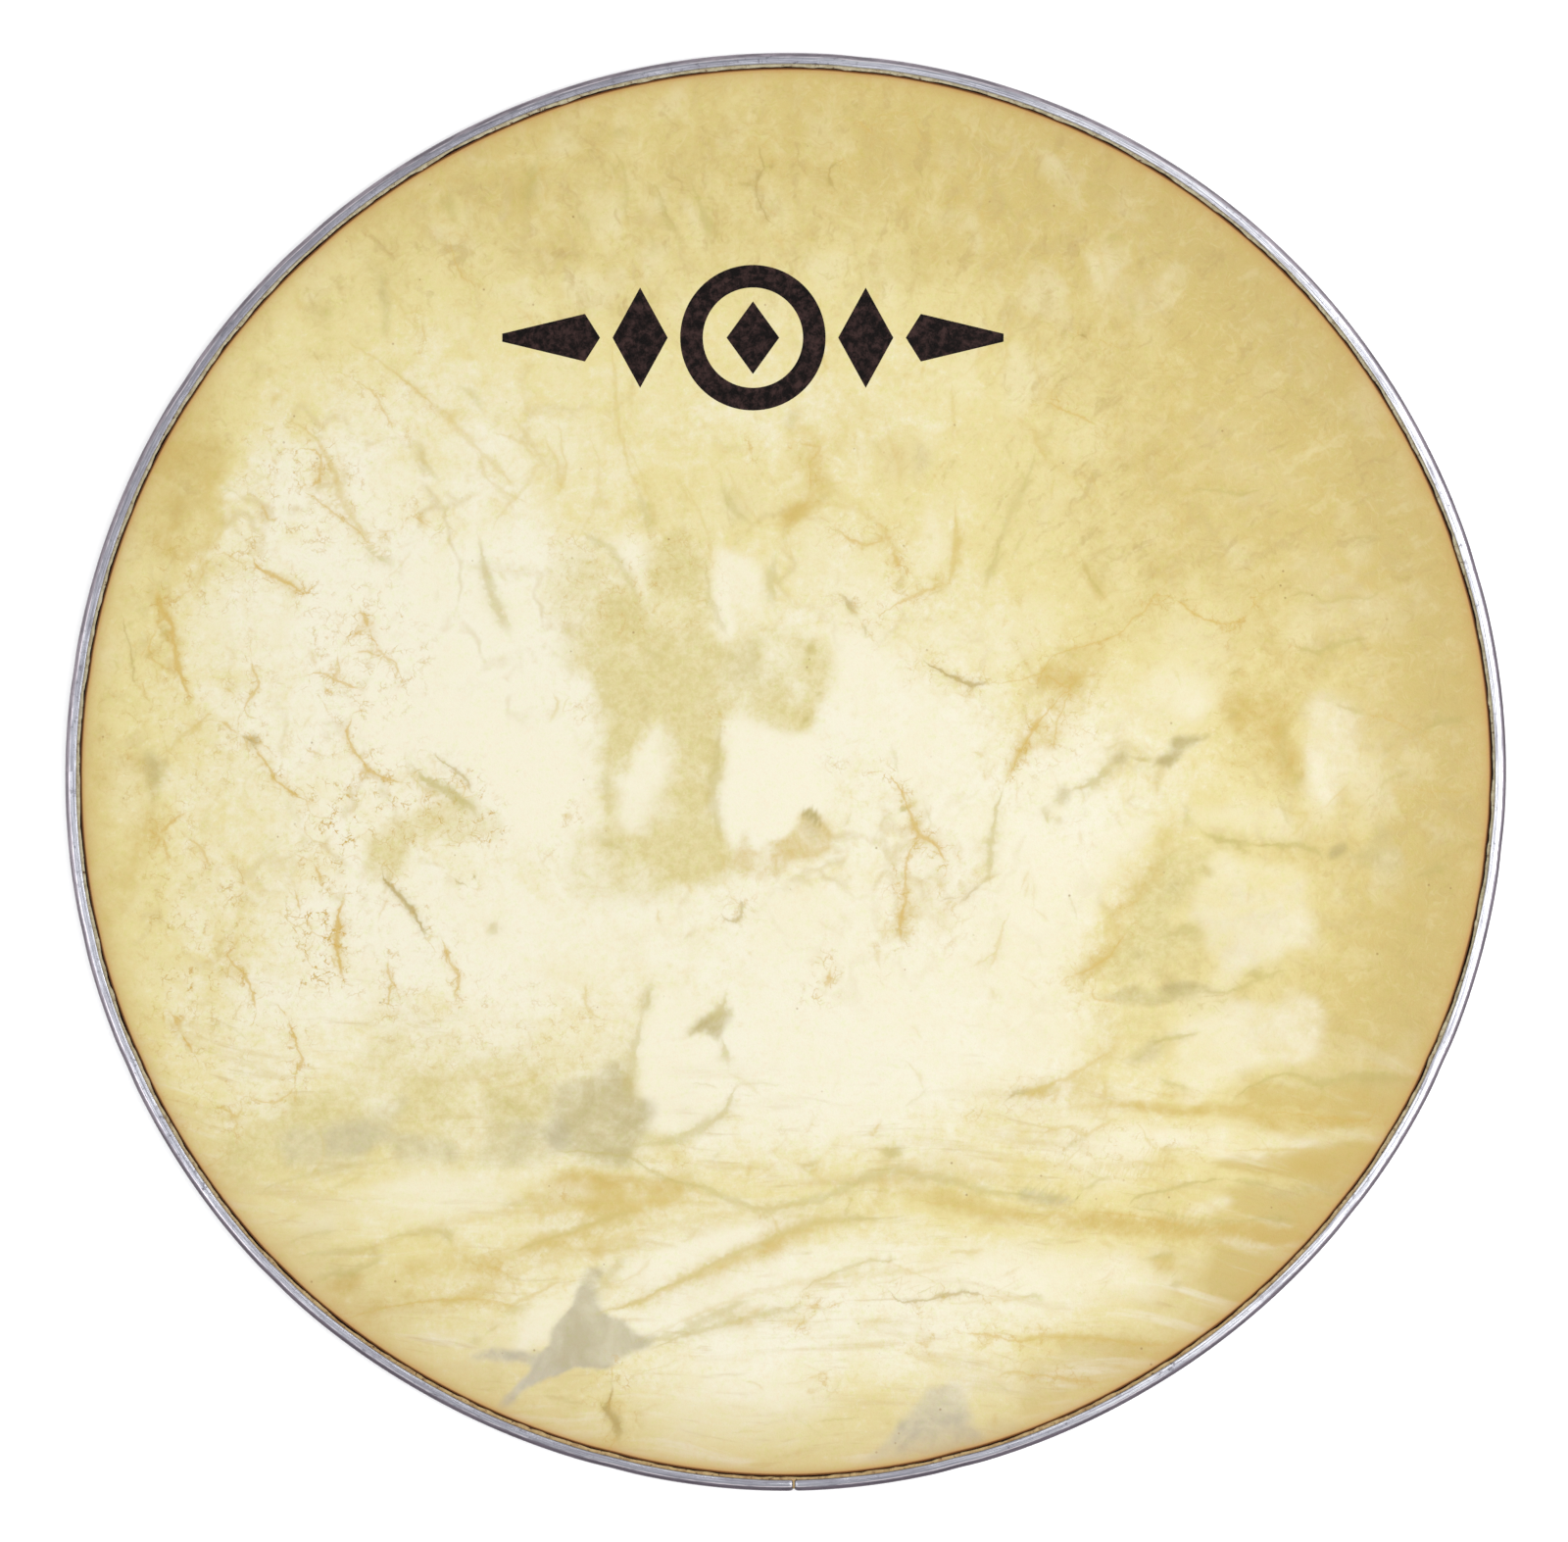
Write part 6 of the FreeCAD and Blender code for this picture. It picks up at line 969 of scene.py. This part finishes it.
    # specks
    speck = k.math("MULTIPLY", k.ramp(k.cells(p, 9.0, "F1"), 0.075, 0.03), k.ramp(k.noise(p, 30, 1), 0.5, 0.62))
    col = k.mix(k.mul(speck, 0.55), col, rgb(150, 112, 62))
    col = k.mix(k.ramp(n_hair, 0.5, 0.9, 0, 0.10), col, rgb(190, 160, 100))
    # pinkish and greenish grain over everything
    n_hue = k.noise(p, 2.4, 3, 0.8)
    col = k.mix(k.ramp(n_hue, 0.50, 0.70), col, k.mix(1.0, col, (1.0, 0.955, 0.93, 1), "MULTIPLY"))
    col = k.mix(k.ramp(n_hue, 0.50, 0.30), col, k.mix(1.0, col, (0.955, 0.99, 0.86, 1), "MULTIPLY"))
    k.put(k.shader.inputs["Base Color"], col)
    k.put(k.shader.inputs["Roughness"], k.add(k.ramp(n_fine, 0.2, 0.8, 0.40, 0.52), k.mul(flap, 0.25)))
    k.shader.inputs["Specular IOR Level"].default_value = 0.18
    # grain of the hair side: shallow pores, soft wrinkles
    pores = k.ramp(k.cells(k.vec("ADD", p, k.vec("SCALE", k.noise(p, 3, 1, 0.5, 0.0, "Color"), scale=1.5)), 1.05, "F1"), 0.05, 0.55)
    h = k.add(k.mul(pores, 0.35), k.add(k.mul(n_hair, 0.45), k.mul(n_fine, 0.8)))
    h = k.add(h, k.mul(flap, k.mul(k.noise(p, 1.6, 3, 0.7), 3.0)))
    k.put(k.shader.inputs["Normal"], k.bump(h, 0.00006))
    return m


def metal_material():
    m = bpy.data.materials.new("hoop_aluminium")
    k = Nodes(m)
    p = k.mm()
    xyz = k.split(p)
    around = k.mul(k.math("ARCTAN2", xyz[1], xyz[0]), 285.0)
    across = k.attr("across")
    uv = k.new("ShaderNodeCombineXYZ")
    k.put(uv.inputs[0], around)
    k.put(uv.inputs[1], across)
    k.put(uv.inputs[2], xyz[2])
    lines = k.noise(k.vec("MULTIPLY", uv.outputs[0], (0.012, 1.0, 0.25)), 0.32, 3, 0.65)
    rub = k.noise(k.vec("MULTIPLY", uv.outputs[0], (0.10, 1.0, 0.3)), 1.6, 4, 0.7)
    blot = k.noise(p, 2.4, 4, 0.7)
    broad = k.noise(p, 45, 2, 0.5)
    col = k.mix(k.ramp(lines, 0.3, 0.7), (0.185, 0.185, 0.22, 1), (0.43, 0.44, 0.48, 1))
    # painted highlight: the crown is lighter from x = 60 mm rightwards, where the key light's reflection falls
    col = k.mix(k.ramp(xyz[0], 60, 205, 0, 0.60), col, k.mix(k.ramp(lines, 0.38, 0.58), (0.26, 0.26, 0.30, 1), (0.76, 0.77, 0.80, 1)))
    col = k.mix(k.ramp(rub, 0.52, 0.70, 0, 0.6), col, (0.19, 0.175, 0.20, 1))
    col = k.mix(k.ramp(rub, 0.42, 0.25, 0, 0.6), col, (0.58, 0.59, 0.62, 1))
    col = k.mix(k.mul(k.ramp(blot, 0.55, 0.68), k.ramp(broad, 0.42, 0.6, 0.25, 0.8)), col, (0.085, 0.078, 0.095, 1))
    # painted shade: the crown is duller towards the upper left, away from the lights
    upper_left = k.add(k.mul(xyz[1], 0.0025), k.mul(xyz[0], -0.0025))
    col = k.mix(k.mul(k.ramp(upper_left, 0.55, 1.0, 0, 0.75), k.ramp(rub, 0.30, 0.60, 0.45, 1.0)), col, (0.135, 0.13, 0.155, 1))
    # painted shade: the crown is duller along the bottom, left of x = 140 mm
    col = k.mix(k.mul(k.mul(k.ramp(xyz[1], -150, -285, 0, 0.6), k.ramp(xyz[0], 140, 40)), k.ramp(rub, 0.30, 0.60, 0.3, 1.0)), col, (0.15, 0.145, 0.17, 1))
    # painted reflection and shade on the outer wall: darker than the crown, lighter towards the upper left and darker
    # towards the lower right
    wall = k.mul(k.ramp(across, 13.5, 16.0), k.ramp(k.add(across, k.mul(k.add(blot, -0.5), 1.0)), 19.9, 19.1))
    side = k.add(k.mul(xyz[1], 0.0030), k.mul(xyz[0], -0.0018))
    wall_painted_shade = k.mix(k.ramp(rub, 0.35, 0.65), (0.075, 0.060, 0.075, 1), (0.14, 0.115, 0.14, 1))
    wall_painted_light = k.mix(k.ramp(rub, 0.35, 0.65), (0.150, 0.130, 0.150, 1), (0.34, 0.30, 0.335, 1))
    col = k.mix(k.mul(wall, 0.92), col, k.mix(k.ramp(side, -0.35, 0.55), wall_painted_shade, wall_painted_light))
    seam = k.mul(k.ramp(k.math("ABSOLUTE", k.add(across, -19.75)), 0.30, 0.05), k.ramp(rub, 0.62, 0.40))
    col = k.mix(k.mul(seam, 0.7), col, (0.74, 0.66, 0.70, 1))
    fine_line = k.ramp(k.math("ABSOLUTE", k.add(k.add(across, k.mul(k.add(broad, -0.5), 1.2)), -21.3)), 0.22, 0.04)
    col = k.mix(k.mul(fine_line, 0.55), col, (0.13, 0.12, 0.15, 1))
    k.put(k.shader.inputs["Base Color"], col)
    k.shader.inputs["Metallic"].default_value = 1.0
    k.put(k.shader.inputs["Roughness"], k.add(k.add(k.ramp(rub, 0.3, 0.7, 0.26, 0.42), k.ramp(blot, 0.5, 0.75, 0.0, 0.15)), k.mul(wall, 0.20)))
    h = k.add(k.mul(lines, 1.0), k.add(k.mul(rub, 0.9), k.mul(blot, 0.9)))
    k.put(k.shader.inputs["Normal"], k.bump(h, 0.00007, 0.9))
    return m


def ink_material():
    m = bpy.data.materials.new("printing_ink")
    k = Nodes(m)
    p = k.mm()
    fine = k.noise(p, 3.4, 4, 0.75, 0.3)
    hair = k.noise(p, 1.1, 3, 0.7)
    # paler flecks over the ink
    pale_flecks = k.ramp(k.noise(p, 1.6, 4, 0.75), 0.62, 0.78)
    col = k.mix(k.ramp(fine, 0.40, 0.70), (0.0014, 0.0004, 0.0003, 1), (0.030, 0.0150, 0.0138, 1))
    col = k.mix(k.mul(pale_flecks, 0.35), col, (0.045, 0.032, 0.026, 1))
    k.put(k.shader.inputs["Base Color"], col)
    k.put(k.shader.inputs["Roughness"], k.ramp(fine, 0.2, 0.8, 0.34, 0.52))
    k.shader.inputs["Specular IOR Level"].default_value = 0.07
    pores = k.ramp(k.cells(p, 1.05, "F1"), 0.05, 0.55)
    h = k.add(k.mul(pores, 0.35), k.add(k.mul(hair, 0.6), k.mul(fine, 0.8)))
    k.put(k.shader.inputs["Normal"], k.bump(h, 0.00009))
    return m


def wire_material():
    m = bpy.data.materials.new("drawn_steel")
    k = Nodes(m)
    p = k.mm()
    n = k.noise(p, 1.2, 4, 0.7)
    rust = k.ramp(k.noise(p, 9, 4, 0.6), 0.58, 0.72)
    col = k.mix(k.ramp(n, 0.3, 0.7), (0.30, 0.30, 0.31, 1), (0.46, 0.46, 0.47, 1))
    col = k.mix(k.mul(rust, 0.8), col, (0.20, 0.095, 0.045, 1))
    k.put(k.shader.inputs["Base Color"], col)
    k.put(k.shader.inputs["Metallic"], k.math("SUBTRACT", 1.0, k.mul(rust, 0.8)))
    k.put(k.shader.inputs["Roughness"], k.add(0.35, k.mul(rust, 0.4)))
    k.put(k.shader.inputs["Normal"], k.bump(n, 0.00005))
    return m


HIDE, METAL, INK, WIRE = hide_material(), metal_material(), ink_material(), wire_material()


# ---------------------------------------------------------------- hoop channel
def build_hoop():
    t = 0.3
    line = [(280.0, 4.70)] + arc((280.9, 1.2), 0.9, 180, 270, 7) + [(283.3, 0.3)] + arc((285.8, 1.2), 0.9, 270, 360, 7)
    crown = spline([(286.70, 3.4), (286.70, 5.2), (286.66, 6.15), (286.45, 6.75), (286.02, 7.20), (285.42, 7.47), (284.7, 7.63),
                    (283.95, 7.70), (283.25, 7.665), (282.80, 7.58)], 0.24)
    c = np.array(line + [tuple(q) for q in crown])
    keep = [0] + [i for i in range(1, len(c)) if np.hypot(*(c[i] - c[i - 1])) > 1e-3]
    c = c[keep]
    tan = np.gradient(c, axis=0)
    tan /= np.hypot(tan[:, 0], tan[:, 1])[:, None]
    nor = np.stack([tan[:, 1], -tan[:, 0]], 1)      # towards the outside of the channel
    n_end = 4
    def cap(i, sgn):
        base = math.atan2(sgn * nor[i, 1], sgn * nor[i, 0])
        turn = -1 if i == 0 else 1
        return [c[i] + t * np.array([math.cos(base + turn * s * a), math.sin(base + turn * s * a)])
                for a in np.linspace(0, math.pi, n_end + 2)[1:-1] for s in (1,)]
    outer = c + t * nor
    inner = c - t * nor
    # rolled lines along the crown: two shallow grooves
    along_r = outer[:, 0]
    groove = 0.05 * np.exp(-((along_r - 283.55) / 0.16) ** 2) + 0.06 * np.exp(-((along_r - 285.55) / 0.2) ** 2)
    groove[c[:, 1] < 6.9] = 0
    outer = outer - nor * groove[:, None]
    # order: outer from foot to lip, round the lip, inner back, round the foot
    tip = [c[-1] + t * (math.cos(a) * nor[-1] + math.sin(a) * tan[-1]) for a in np.linspace(0, math.pi, n_end + 2)[1:-1]]
    foot = [c[0] + t * (-math.cos(a) * nor[0] - math.sin(a) * tan[0]) for a in np.linspace(0, math.pi, n_end + 2)[1:-1]]
    prof = np.vstack([outer, tip, inner[::-1], foot])
    n_out, m = len(outer), len(prof)
    half_gap = JOINT_GAP / 2 / MID_R
    nphi = 1090
    span = 2 * math.pi - 2 * half_gap
    s = np.linspace(0, 1, nphi)
    # a few extra rings close to the two ends for their rounded corners
    ends = np.array([0.0, 0.12, 0.3, 0.6, 1.0, 1.5, 2.1]) / (MID_R * span)
    s = np.unique(np.r_[s, ends, 1 - ends])
    phi = JOINT + half_gap + s * span
    dist = np.minimum(s, 1 - s) * span * MID_R
    e = np.clip(1 - dist / 1.6, 0, 1)
    e = 1 - np.sqrt(np.clip(1 - e * e, 0, 1))
    cr, cz = 284.2, 5.2
    R, Z = np.broadcast_to(prof[:, 0], (len(s), m)).copy(), np.broadcast_to(prof[:, 1], (len(s), m)).copy()
    top = step(4.5, 7.0, Z)
    Z -= e[:, None] * 0.75 * top
    R -= e[:, None] * 0.75 * step(284.5, 286.8, R) * step(1.0, 4.0, Z)
    R += e[:, None] * 0.45 * step(284.0, 282.6, R) * top
    P = phi[:, None] + np.zeros_like(R)
    arc_x, arc_y = np.cos(phi) * 285, np.sin(phi) * 285
    sway = 0.07 * noise2(arc_x, arc_y, 60, 31, 3)[:, None] * top
    press = 0.10 * np.maximum(0, noise2(arc_x, arc_y, 9, 32, 2))[:, None] * step(6.8, 7.6, Z) * step(284.4, 282.8, R)
    Z += sway - press
    Z = np.clip(Z, 0.0, 8.06)
    X, Y = shape_xy(R, P)
    verts = np.stack([X, Y, Z], 2).reshape(-1, 3)
    faces = []
    n = len(s)
    idx = np.arange(n * m).reshape(n, m)
    a, b = idx[:-1], idx[1:]
    quads = np.stack([a, np.roll(a, -1, 1), np.roll(b, -1, 1), b], 2).reshape(-1, 4)
    faces = quads.tolist()
    # end faces: strips between the two sides of the sheet
    ninner = len(inner)
    for ring, flip in ((idx[0], False), (idx[-1], True)):
        o = ring[:n_out]
        i_ = ring[n_out + n_end:n_out + n_end + ninner][::-1]
        for q in range(n_out - 1):
            f = [o[q], i_[q], i_[q + 1], o[q + 1]]
            faces.append(f[::-1] if flip else f)
        tipf = [o[-1], i_[-1]] + list(ring[n_out:n_out + n_end][::-1])
        footf = [i_[0], o[0]] + list(ring[n_out + n_end + ninner:][::-1])
        faces.append(tipf[::-1] if flip else tipf)
        faces.append(footf[::-1] if flip else footf)
    ob = make_mesh("hoop_channel_rolled", verts, faces, METAL)
    outward(ob)
    w = np.r_[0, np.cumsum(np.hypot(*np.diff(prof, axis=0).T))]
    at = ob.data.attributes.new("across", "FLOAT", "POINT")
    at.data.foreach_set("value", np.tile(w, n).astype(np.float32))
    return ob


hoop = build_hoop()


# ---------------------------------------------------------------- wire inside the lap
def build_wire():
    n, m = 720, 20
    phi = np.arange(n) / n * 2 * math.pi
    a = np.arange(m) / m * 2 * math.pi
    bead = 0.16 * np.exp(-(((phi - math.radians(62) + math.pi) % (2 * math.pi) - math.pi) * MID_R / 1.6) ** 2)
    rr = (WIRE_R - 0.18 + bead)[:, None]
    R = MID_R + rr * np.cos(a)
    Z = WIRE_Z + rr * np.sin(a)
    X, Y = shape_xy(R, phi[:, None] + 0 * R)
    idx = np.arange(n * m).reshape(n, m)
    b = np.roll(idx, -1, 0)
    faces = np.stack([idx, b, np.roll(b, -1, 1), np.roll(idx, -1, 1)], 2).reshape(-1, 4)
    ob = make_mesh("core_wire_welded", np.stack([X, Y, Z], 2).reshape(-1, 3), faces.tolist(), WIRE)
    outward(ob)
    return ob


wire = build_wire()


# ---------------------------------------------------------------- the hide
def skin_rise(x, y):
    """Slight waves of the dried skin about its flat plane, in mm."""
    r = np.hypot(x, y)
    inner = 1 - step(225, 278, r)
    return inner * (0.22 * noise2(x, y, 110, 41, 2) + 0.07 * noise2(x, y, 34, 42, 2))


def build_hide():
    N, R0 = 240, 278.2
    verts, faces, rise, rims, flaps = [], [], [], [], []

    def disc(n, top):
        g = np.linspace(-1, 1, n + 1)
        a, b = np.meshgrid(g, g, indexing="ij")
        big = np.abs(a) > np.abs(b)
        r = np.where(big, a, b)
        with np.errstate(divide="ignore", invalid="ignore"):
            ph = np.where(big, (math.pi / 4) * np.nan_to_num(b / a), math.pi / 2 - (math.pi / 4) * np.nan_to_num(a / b))
        ph = np.where(r < 0, ph + math.pi, ph)
        r = np.abs(r) * R0
        start = len(verts_all[0])
        z = SKIN_TOP if top else SKIN_TOP - SKIN_T
        x, y = shape_xy(r, ph)
        zz = z + skin_rise(x, y)
        for q in range(x.size):
            pass
        return np.stack([x.ravel(), y.ravel(), zz.ravel()], 1), (R0 - r).ravel() + 2.0, ph, r

    verts_all = [[]]
    blocks, rim_b, flap_b = [], [], []
    count = 0

    def add(v, rim, flap):
        nonlocal count
        blocks.append(v)
        rim_b.append(rim)
        flap_b.append(flap)
        first = count
        count += len(v)
        return first

    def disc_faces(first, n, up):
        i = np.arange((n + 1) * (n + 1)).reshape(n + 1, n + 1) + first
        q = np.stack([i[:-1, :-1], i[1:, :-1], i[1:, 1:], i[:-1, 1:]], 2).reshape(-1, 4)
        faces.extend((q if up else q[:, ::-1]).tolist())
        # boundary, anticlockwise from angle -45 degrees
        right = [i[n, j] for j in range(0, n)]
        topr = [i[a, n] for a in range(n, 0, -1)]
        left = [i[0, j] for j in range(n, 0, -1)]
        bot = [i[a, 0] for a in range(0, n)]
        return right + topr + left + bot

    v, rim, _, _ = disc(N, True)
    ring_top = disc_faces(add(v, rim, np.zeros(len(v))), N, True)
    v, rim, _, _ = disc(N // 2, False)
    ring_bot = disc_faces(add(v, rim, np.zeros(len(v))), N // 2, False)
    n_top, n_bot = len(ring_top), len(ring_bot)

    def ring(n, rz, rim, flap, ragged=0.0, wavy=0.0):
        phi = -math.pi / 4 + np.arange(n) / n * 2 * math.pi
        cx, cy = np.cos(phi) * 282, np.sin(phi) * 282
        dr = ragged * (0.55 * noise2(cx, cy, 11, 51, 3) + 0.45 * noise2(cx, cy, 3.4, 52, 2))
        dz = wavy * (0.6 * noise2(cx, cy, 14, 53, 2) + 0.4 * noise2(cx, cy, 4, 54, 2))
        x, y = shape_xy(np.full(n, rz[0]) + dr, phi)
        first = add(np.stack([x, y, np.full(n, rz[1]) + dz], 1), np.full(n, rim), np.full(n, flap))
        return list(range(first, first + n))

    def join(a, b):
        """Strip between ring a and the next ring b along the surface; counts may differ by two."""
        na, nb = len(a), len(b)
        if na == nb:
            for i in range(na):
                j = (i + 1) % na
                faces.append([a[i], b[i], b[j], a[j]])
        elif na == 2 * nb:
            for i in range(nb):
                j = (i + 1) % nb
                p, q, r_ = a[2 * i], a[2 * i + 1], a[(2 * i + 2) % na]
                faces.extend([[p, b[i], q], [q, b[i], b[j]], [q, b[j], r_]])
        else:
            for i in range(na):
                j = (i + 1) % na
                p, q, r_ = b[2 * i], b[2 * i + 1], b[(2 * i + 2) % nb]
                faces.extend([[a[i], p, q], [a[i], q, a[j]], [a[j], q, r_]])

    # from the playing face over the wall's edge, down and under the wire (inner side of the lap)
    ro = 0.32 + SKIN_T
    path = []
    for i, (r_, z_) in enumerate(arc(BEND_C, ro, 90, 12, 6)):
        path.append((n_top, (r_, z_), 280.3 - r_, 0.0))
    lap_in, lap_out = 2.13, 3.03
    for (r_, z_) in arc((MID_R, WIRE_Z), lap_in, 180, 360, 11):
        path.append((n_bot, (r_, z_), -2.0, 0.0))
    path.append((n_bot, (MID_R + lap_in, 5.6), -2.0, 0.6))
    for (r_, z_) in arc((284.6, 5.55), 0.85, 0, 90, 4):
        path.append((n_bot, (r_, z_), -2.0, 1.0))
    path.append((n_bot, (283.2, 6.36), -2.0, 1.0))
    prev = ring_top
    for n, rz, rim, fl in path:
        cur = ring(n, rz, rim, fl)
        join(prev, cur)
        prev = cur
    # free flap under the lip, rough cut and crinkled
    flap_rings = [((282.5, 6.34), 0.10, 0.06), ((281.95, 6.32), 0.25, 0.12), ((281.5, 6.38), 0.42, 0.16), ((281.3, 6.56), 0.5, 0.18),
                  ((281.3, 6.82), 0.5, 0.18), ((281.5, 7.00), 0.42, 0.16), ((281.8, 7.07), 0.3, 0.12), ((282.15, 7.08), 0.2, 0.08), ((282.5, 7.07), 0.08, 0.04)]
    for rz, rag, wav in flap_rings:
        cur = ring(n_top, rz, -2.0, 1.0, rag, wav)
        join(prev, cur)
        prev = cur
    back = [(n_bot, (283.2, 7.06), 1.0)] + [(n_bot, q, 1.0) for q in arc((284.6, 5.55), 1.50, 90, 0, 5)]
    back += [(n_bot, (MID_R + lap_out - 0.02, 3.65), 0.0)]
    back += [(n_bot, q, 0.0) for q in arc((MID_R, WIRE_Z), lap_out - 0.02, 352, 188, 11)]
    back += [(n_bot, q, 0.0) for q in arc(BEND_C, 0.32, 0, 90, 5)]
    for n, rz, fl in back:
        cur = ring(n, rz, -2.0, fl)
        join(prev, cur)
        prev = cur
    join(prev, ring_bot)

    V = np.vstack(blocks)
    ob = make_mesh("hide_skin_lapped", V, faces, HIDE)
    outward(ob)
    me = ob.data
    x, y = V[:, 0], V[:, 1]
    flds = skin_fields(x, y)
    flds["rim"] = np.concatenate(rim_b)
    flds["flap"] = np.concatenate(flap_b)
    for name, val in flds.items():
        if val.ndim == 1:
            at = me.attributes.new(name, "FLOAT", "POINT")
            at.data.foreach_set("value", val.astype(np.float32))
        else:
            at = me.attributes.new(name, "FLOAT_VECTOR", "POINT")
            at.data.foreach_set("vector", val.astype(np.float32).ravel())
    print("hide: vertices", len(V), "triangles", sum(len(f) - 2 for f in faces))
    return ob


hide = build_hide()


# ---------------------------------------------------------------- printed ornament
def build_mark():
    from mathutils.geometry import delaunay_2d_cdt
    shapes = []
    circle = lambda r, n: [(r * math.cos(2 * math.pi * i / n), r * math.sin(2 * math.pi * i / n)) for i in range(n)]
    shapes.append([circle(29.0, 180), circle(20.0, 140)[::-1]])
    shapes.append([[(0, 14.5), (-10.5, 0), (0, -14.5), (10.5, 0)]])
    for s in (-1, 1):
        shapes.append([[(s * 34, 0), (s * 45, 20), (s * 56, 0), (s * 45, -20)]])
        shapes.append([[(s * 61, 0), (s * 67, 9.5), (s * 100, 1.6), (s * 100, -1.6), (s * 67, -9.5)]])

    def dense(loop, gap=1.6):
        out = []
        for i, a in enumerate(loop):
            b = loop[(i + 1) % len(loop)]
            n = max(1, int(math.dist(a, b) / gap))
            out += [(a[0] + (b[0] - a[0]) * j / n, a[1] + (b[1] - a[1]) * j / n) for j in range(n)]
        return out

    verts, faces = [], []
    for shape in shapes:
        loops = [dense(l) for l in shape]
        pts, edges, base = [], [], 0
        for l in loops:
            pts += l
            edges += [(base + i, base + (i + 1) % len(l)) for i in range(len(l))]
            base += len(l)
        xs, ys = [q[0] for q in loops[0]], [q[1] for q in loops[0]]
        def inside(q):
            n = 0
            for l in loops:
                for i, a in enumerate(l):
                    b = l[i - 1]
                    if (a[1] > q[1]) != (b[1] > q[1]) and q[0] < (b[0] - a[0]) * (q[1] - a[1]) / (b[1] - a[1]) + a[0]:
                        n += 1
            return n % 2 == 1
        near = lambda q: min((q[0] - a[0]) ** 2 + (q[1] - a[1]) ** 2 for l in loops for a in l)
        gx = np.arange(min(xs) + 1, max(xs), 2.2)
        gy = np.arange(min(ys) + 1, max(ys), 2.2)
        for i, a in enumerate(gx):
            for b in gy:
                q = (float(a), float(b + (1.1 if i % 2 else 0)))
                if inside(q) and near(q) > 0.8:
                    pts.append(q)
        out = delaunay_2d_cdt([Vector(q) for q in pts], edges, [], 0, 1e-5)
        vv = [(v.x, v.y) for v in out[0]]
        ff = []
        for f in out[2]:
            c = (sum(vv[i][0] for i in f) / len(f), sum(vv[i][1] for i in f) / len(f))
            if inside(c):
                ff.append(list(f))
        used = sorted(set(i for f in ff for i in f))
        new = {o: n for n, o in enumerate(used)}
        vv = np.array([vv[i] for i in used])
        ff = [[new[i] for i in f] for f in ff]
        x, y = vv[:, 0] + MARK[0], vv[:, 1] + MARK[1]
        z = SKIN_TOP + skin_rise(x, y)
        off = len(verts)
        k = len(x)
        verts += [(a, b, c + 0.055) for a, b, c in zip(x, y, z)] + [(a, b, c + 0.012) for a, b, c in zip(x, y, z)]
        cnt = {}
        for f in ff:
            for i in range(len(f)):
                cnt[(f[i], f[(i + 1) % len(f)])] = 1
        faces += [[off + i for i in f] for f in ff] + [[off + k + i for i in reversed(f)] for f in ff]
        faces += [[off + b, off + a, off + k + a, off + k + b] for (a, b) in cnt if (b, a) not in cnt]
    ob = make_mesh("printed_ornament", np.array(verts), faces, INK, smooth=False)
    outward(ob)
    return ob


mark = build_mark()

for piece, node, slot in ((hoop, "hoop_channel", "hoop_metal"), (wire, "core_ring", "core_wire"),
                          (hide, "batter_skin", "hide"), (mark, "printed_mark", "ink")):
    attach(piece, "root")
    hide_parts(node)

# ---------------------------------------------------------------- floor, light, camera
floor_mat = bpy.data.materials.new("floor_white")
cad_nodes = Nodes(floor_mat)
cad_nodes.shader.inputs["Base Color"].default_value = (0.95, 0.95, 0.95, 1)
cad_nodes.shader.inputs["Roughness"].default_value = 0.9
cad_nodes.shader.inputs["Specular IOR Level"].default_value = 0.1
n = 96
ring = [(6000 * math.cos(2 * math.pi * i / n), 6000 * math.sin(2 * math.pi * i / n), -0.05) for i in range(n)]
floor = make_mesh("floor", np.array(ring), [list(range(n))], floor_mat, smooth=False)


def area(name, place, target, size, power, colour=(1, 1, 1)):
    lamp = bpy.data.lights.new(name, "AREA")
    lamp.shape = "RECTANGLE"
    lamp.size, lamp.size_y = size
    lamp.energy = power
    lamp.color = colour
    ob = bpy.data.objects.new(name, lamp)
    ob.location = place
    ob.rotation_euler = (Vector(target) - Vector(place)).to_track_quat("-Z", "Y").to_euler()
    bpy.context.scene.collection.objects.link(ob)
    return ob


area("key_softbox", (1.30, 0.02, 1.35), (0, 0, 0), (1.9, 1.0), 26)
area("overhead_strip", (0.50, 0.06, 2.4), (0.22, 0.0, 0.0), (0.42, 1.1), 6.0)
area("fill_left", (-1.6, -0.5, 1.9), (0, 0, 0), (1.6, 1.6), 19)

world = bpy.data.worlds.new("studio")
bpy.context.scene.world = world
world.use_nodes = True
bg = world.node_tree.nodes["Background"]
bg.inputs[0].default_value = (1.0, 1.0, 1.0, 1)
bg.inputs[1].default_value = 1.0
sky = world.node_tree.nodes.new("ShaderNodeTexCoord")
up_down = world.node_tree.nodes.new("ShaderNodeSeparateXYZ")
shade = world.node_tree.nodes.new("ShaderNodeMapRange")
for i, v in ((1, 0.0), (2, 0.75), (3, 0.30), (4, 1.12)):
    shade.inputs[i].default_value = v
world.node_tree.links.new(sky.outputs["Generated"], up_down.inputs[0])
world.node_tree.links.new(up_down.outputs[2], shade.inputs[0])
world.node_tree.links.new(shade.outputs[0], bg.inputs[1])

scene = bpy.context.scene
scene.view_settings.view_transform = "Standard"
scene.view_settings.look = "None"
scene.view_settings.exposure = 0.0
scene.view_settings.gamma = 1.0

cam = bpy.data.cameras.new("camera")
cam.sensor_width = 36
cam.sensor_fit = "HORIZONTAL"
HEIGHT = 3.0
cam.lens = 36 * (HEIGHT - 0.005) / 0.6257
cam.clip_end = 50
camera = bpy.data.objects.new("camera", cam)
camera.location = (-0.0006, 0.0002, HEIGHT)
camera.rotation_euler = (0, 0, 0)
scene.collection.objects.link(camera)
scene.camera = camera
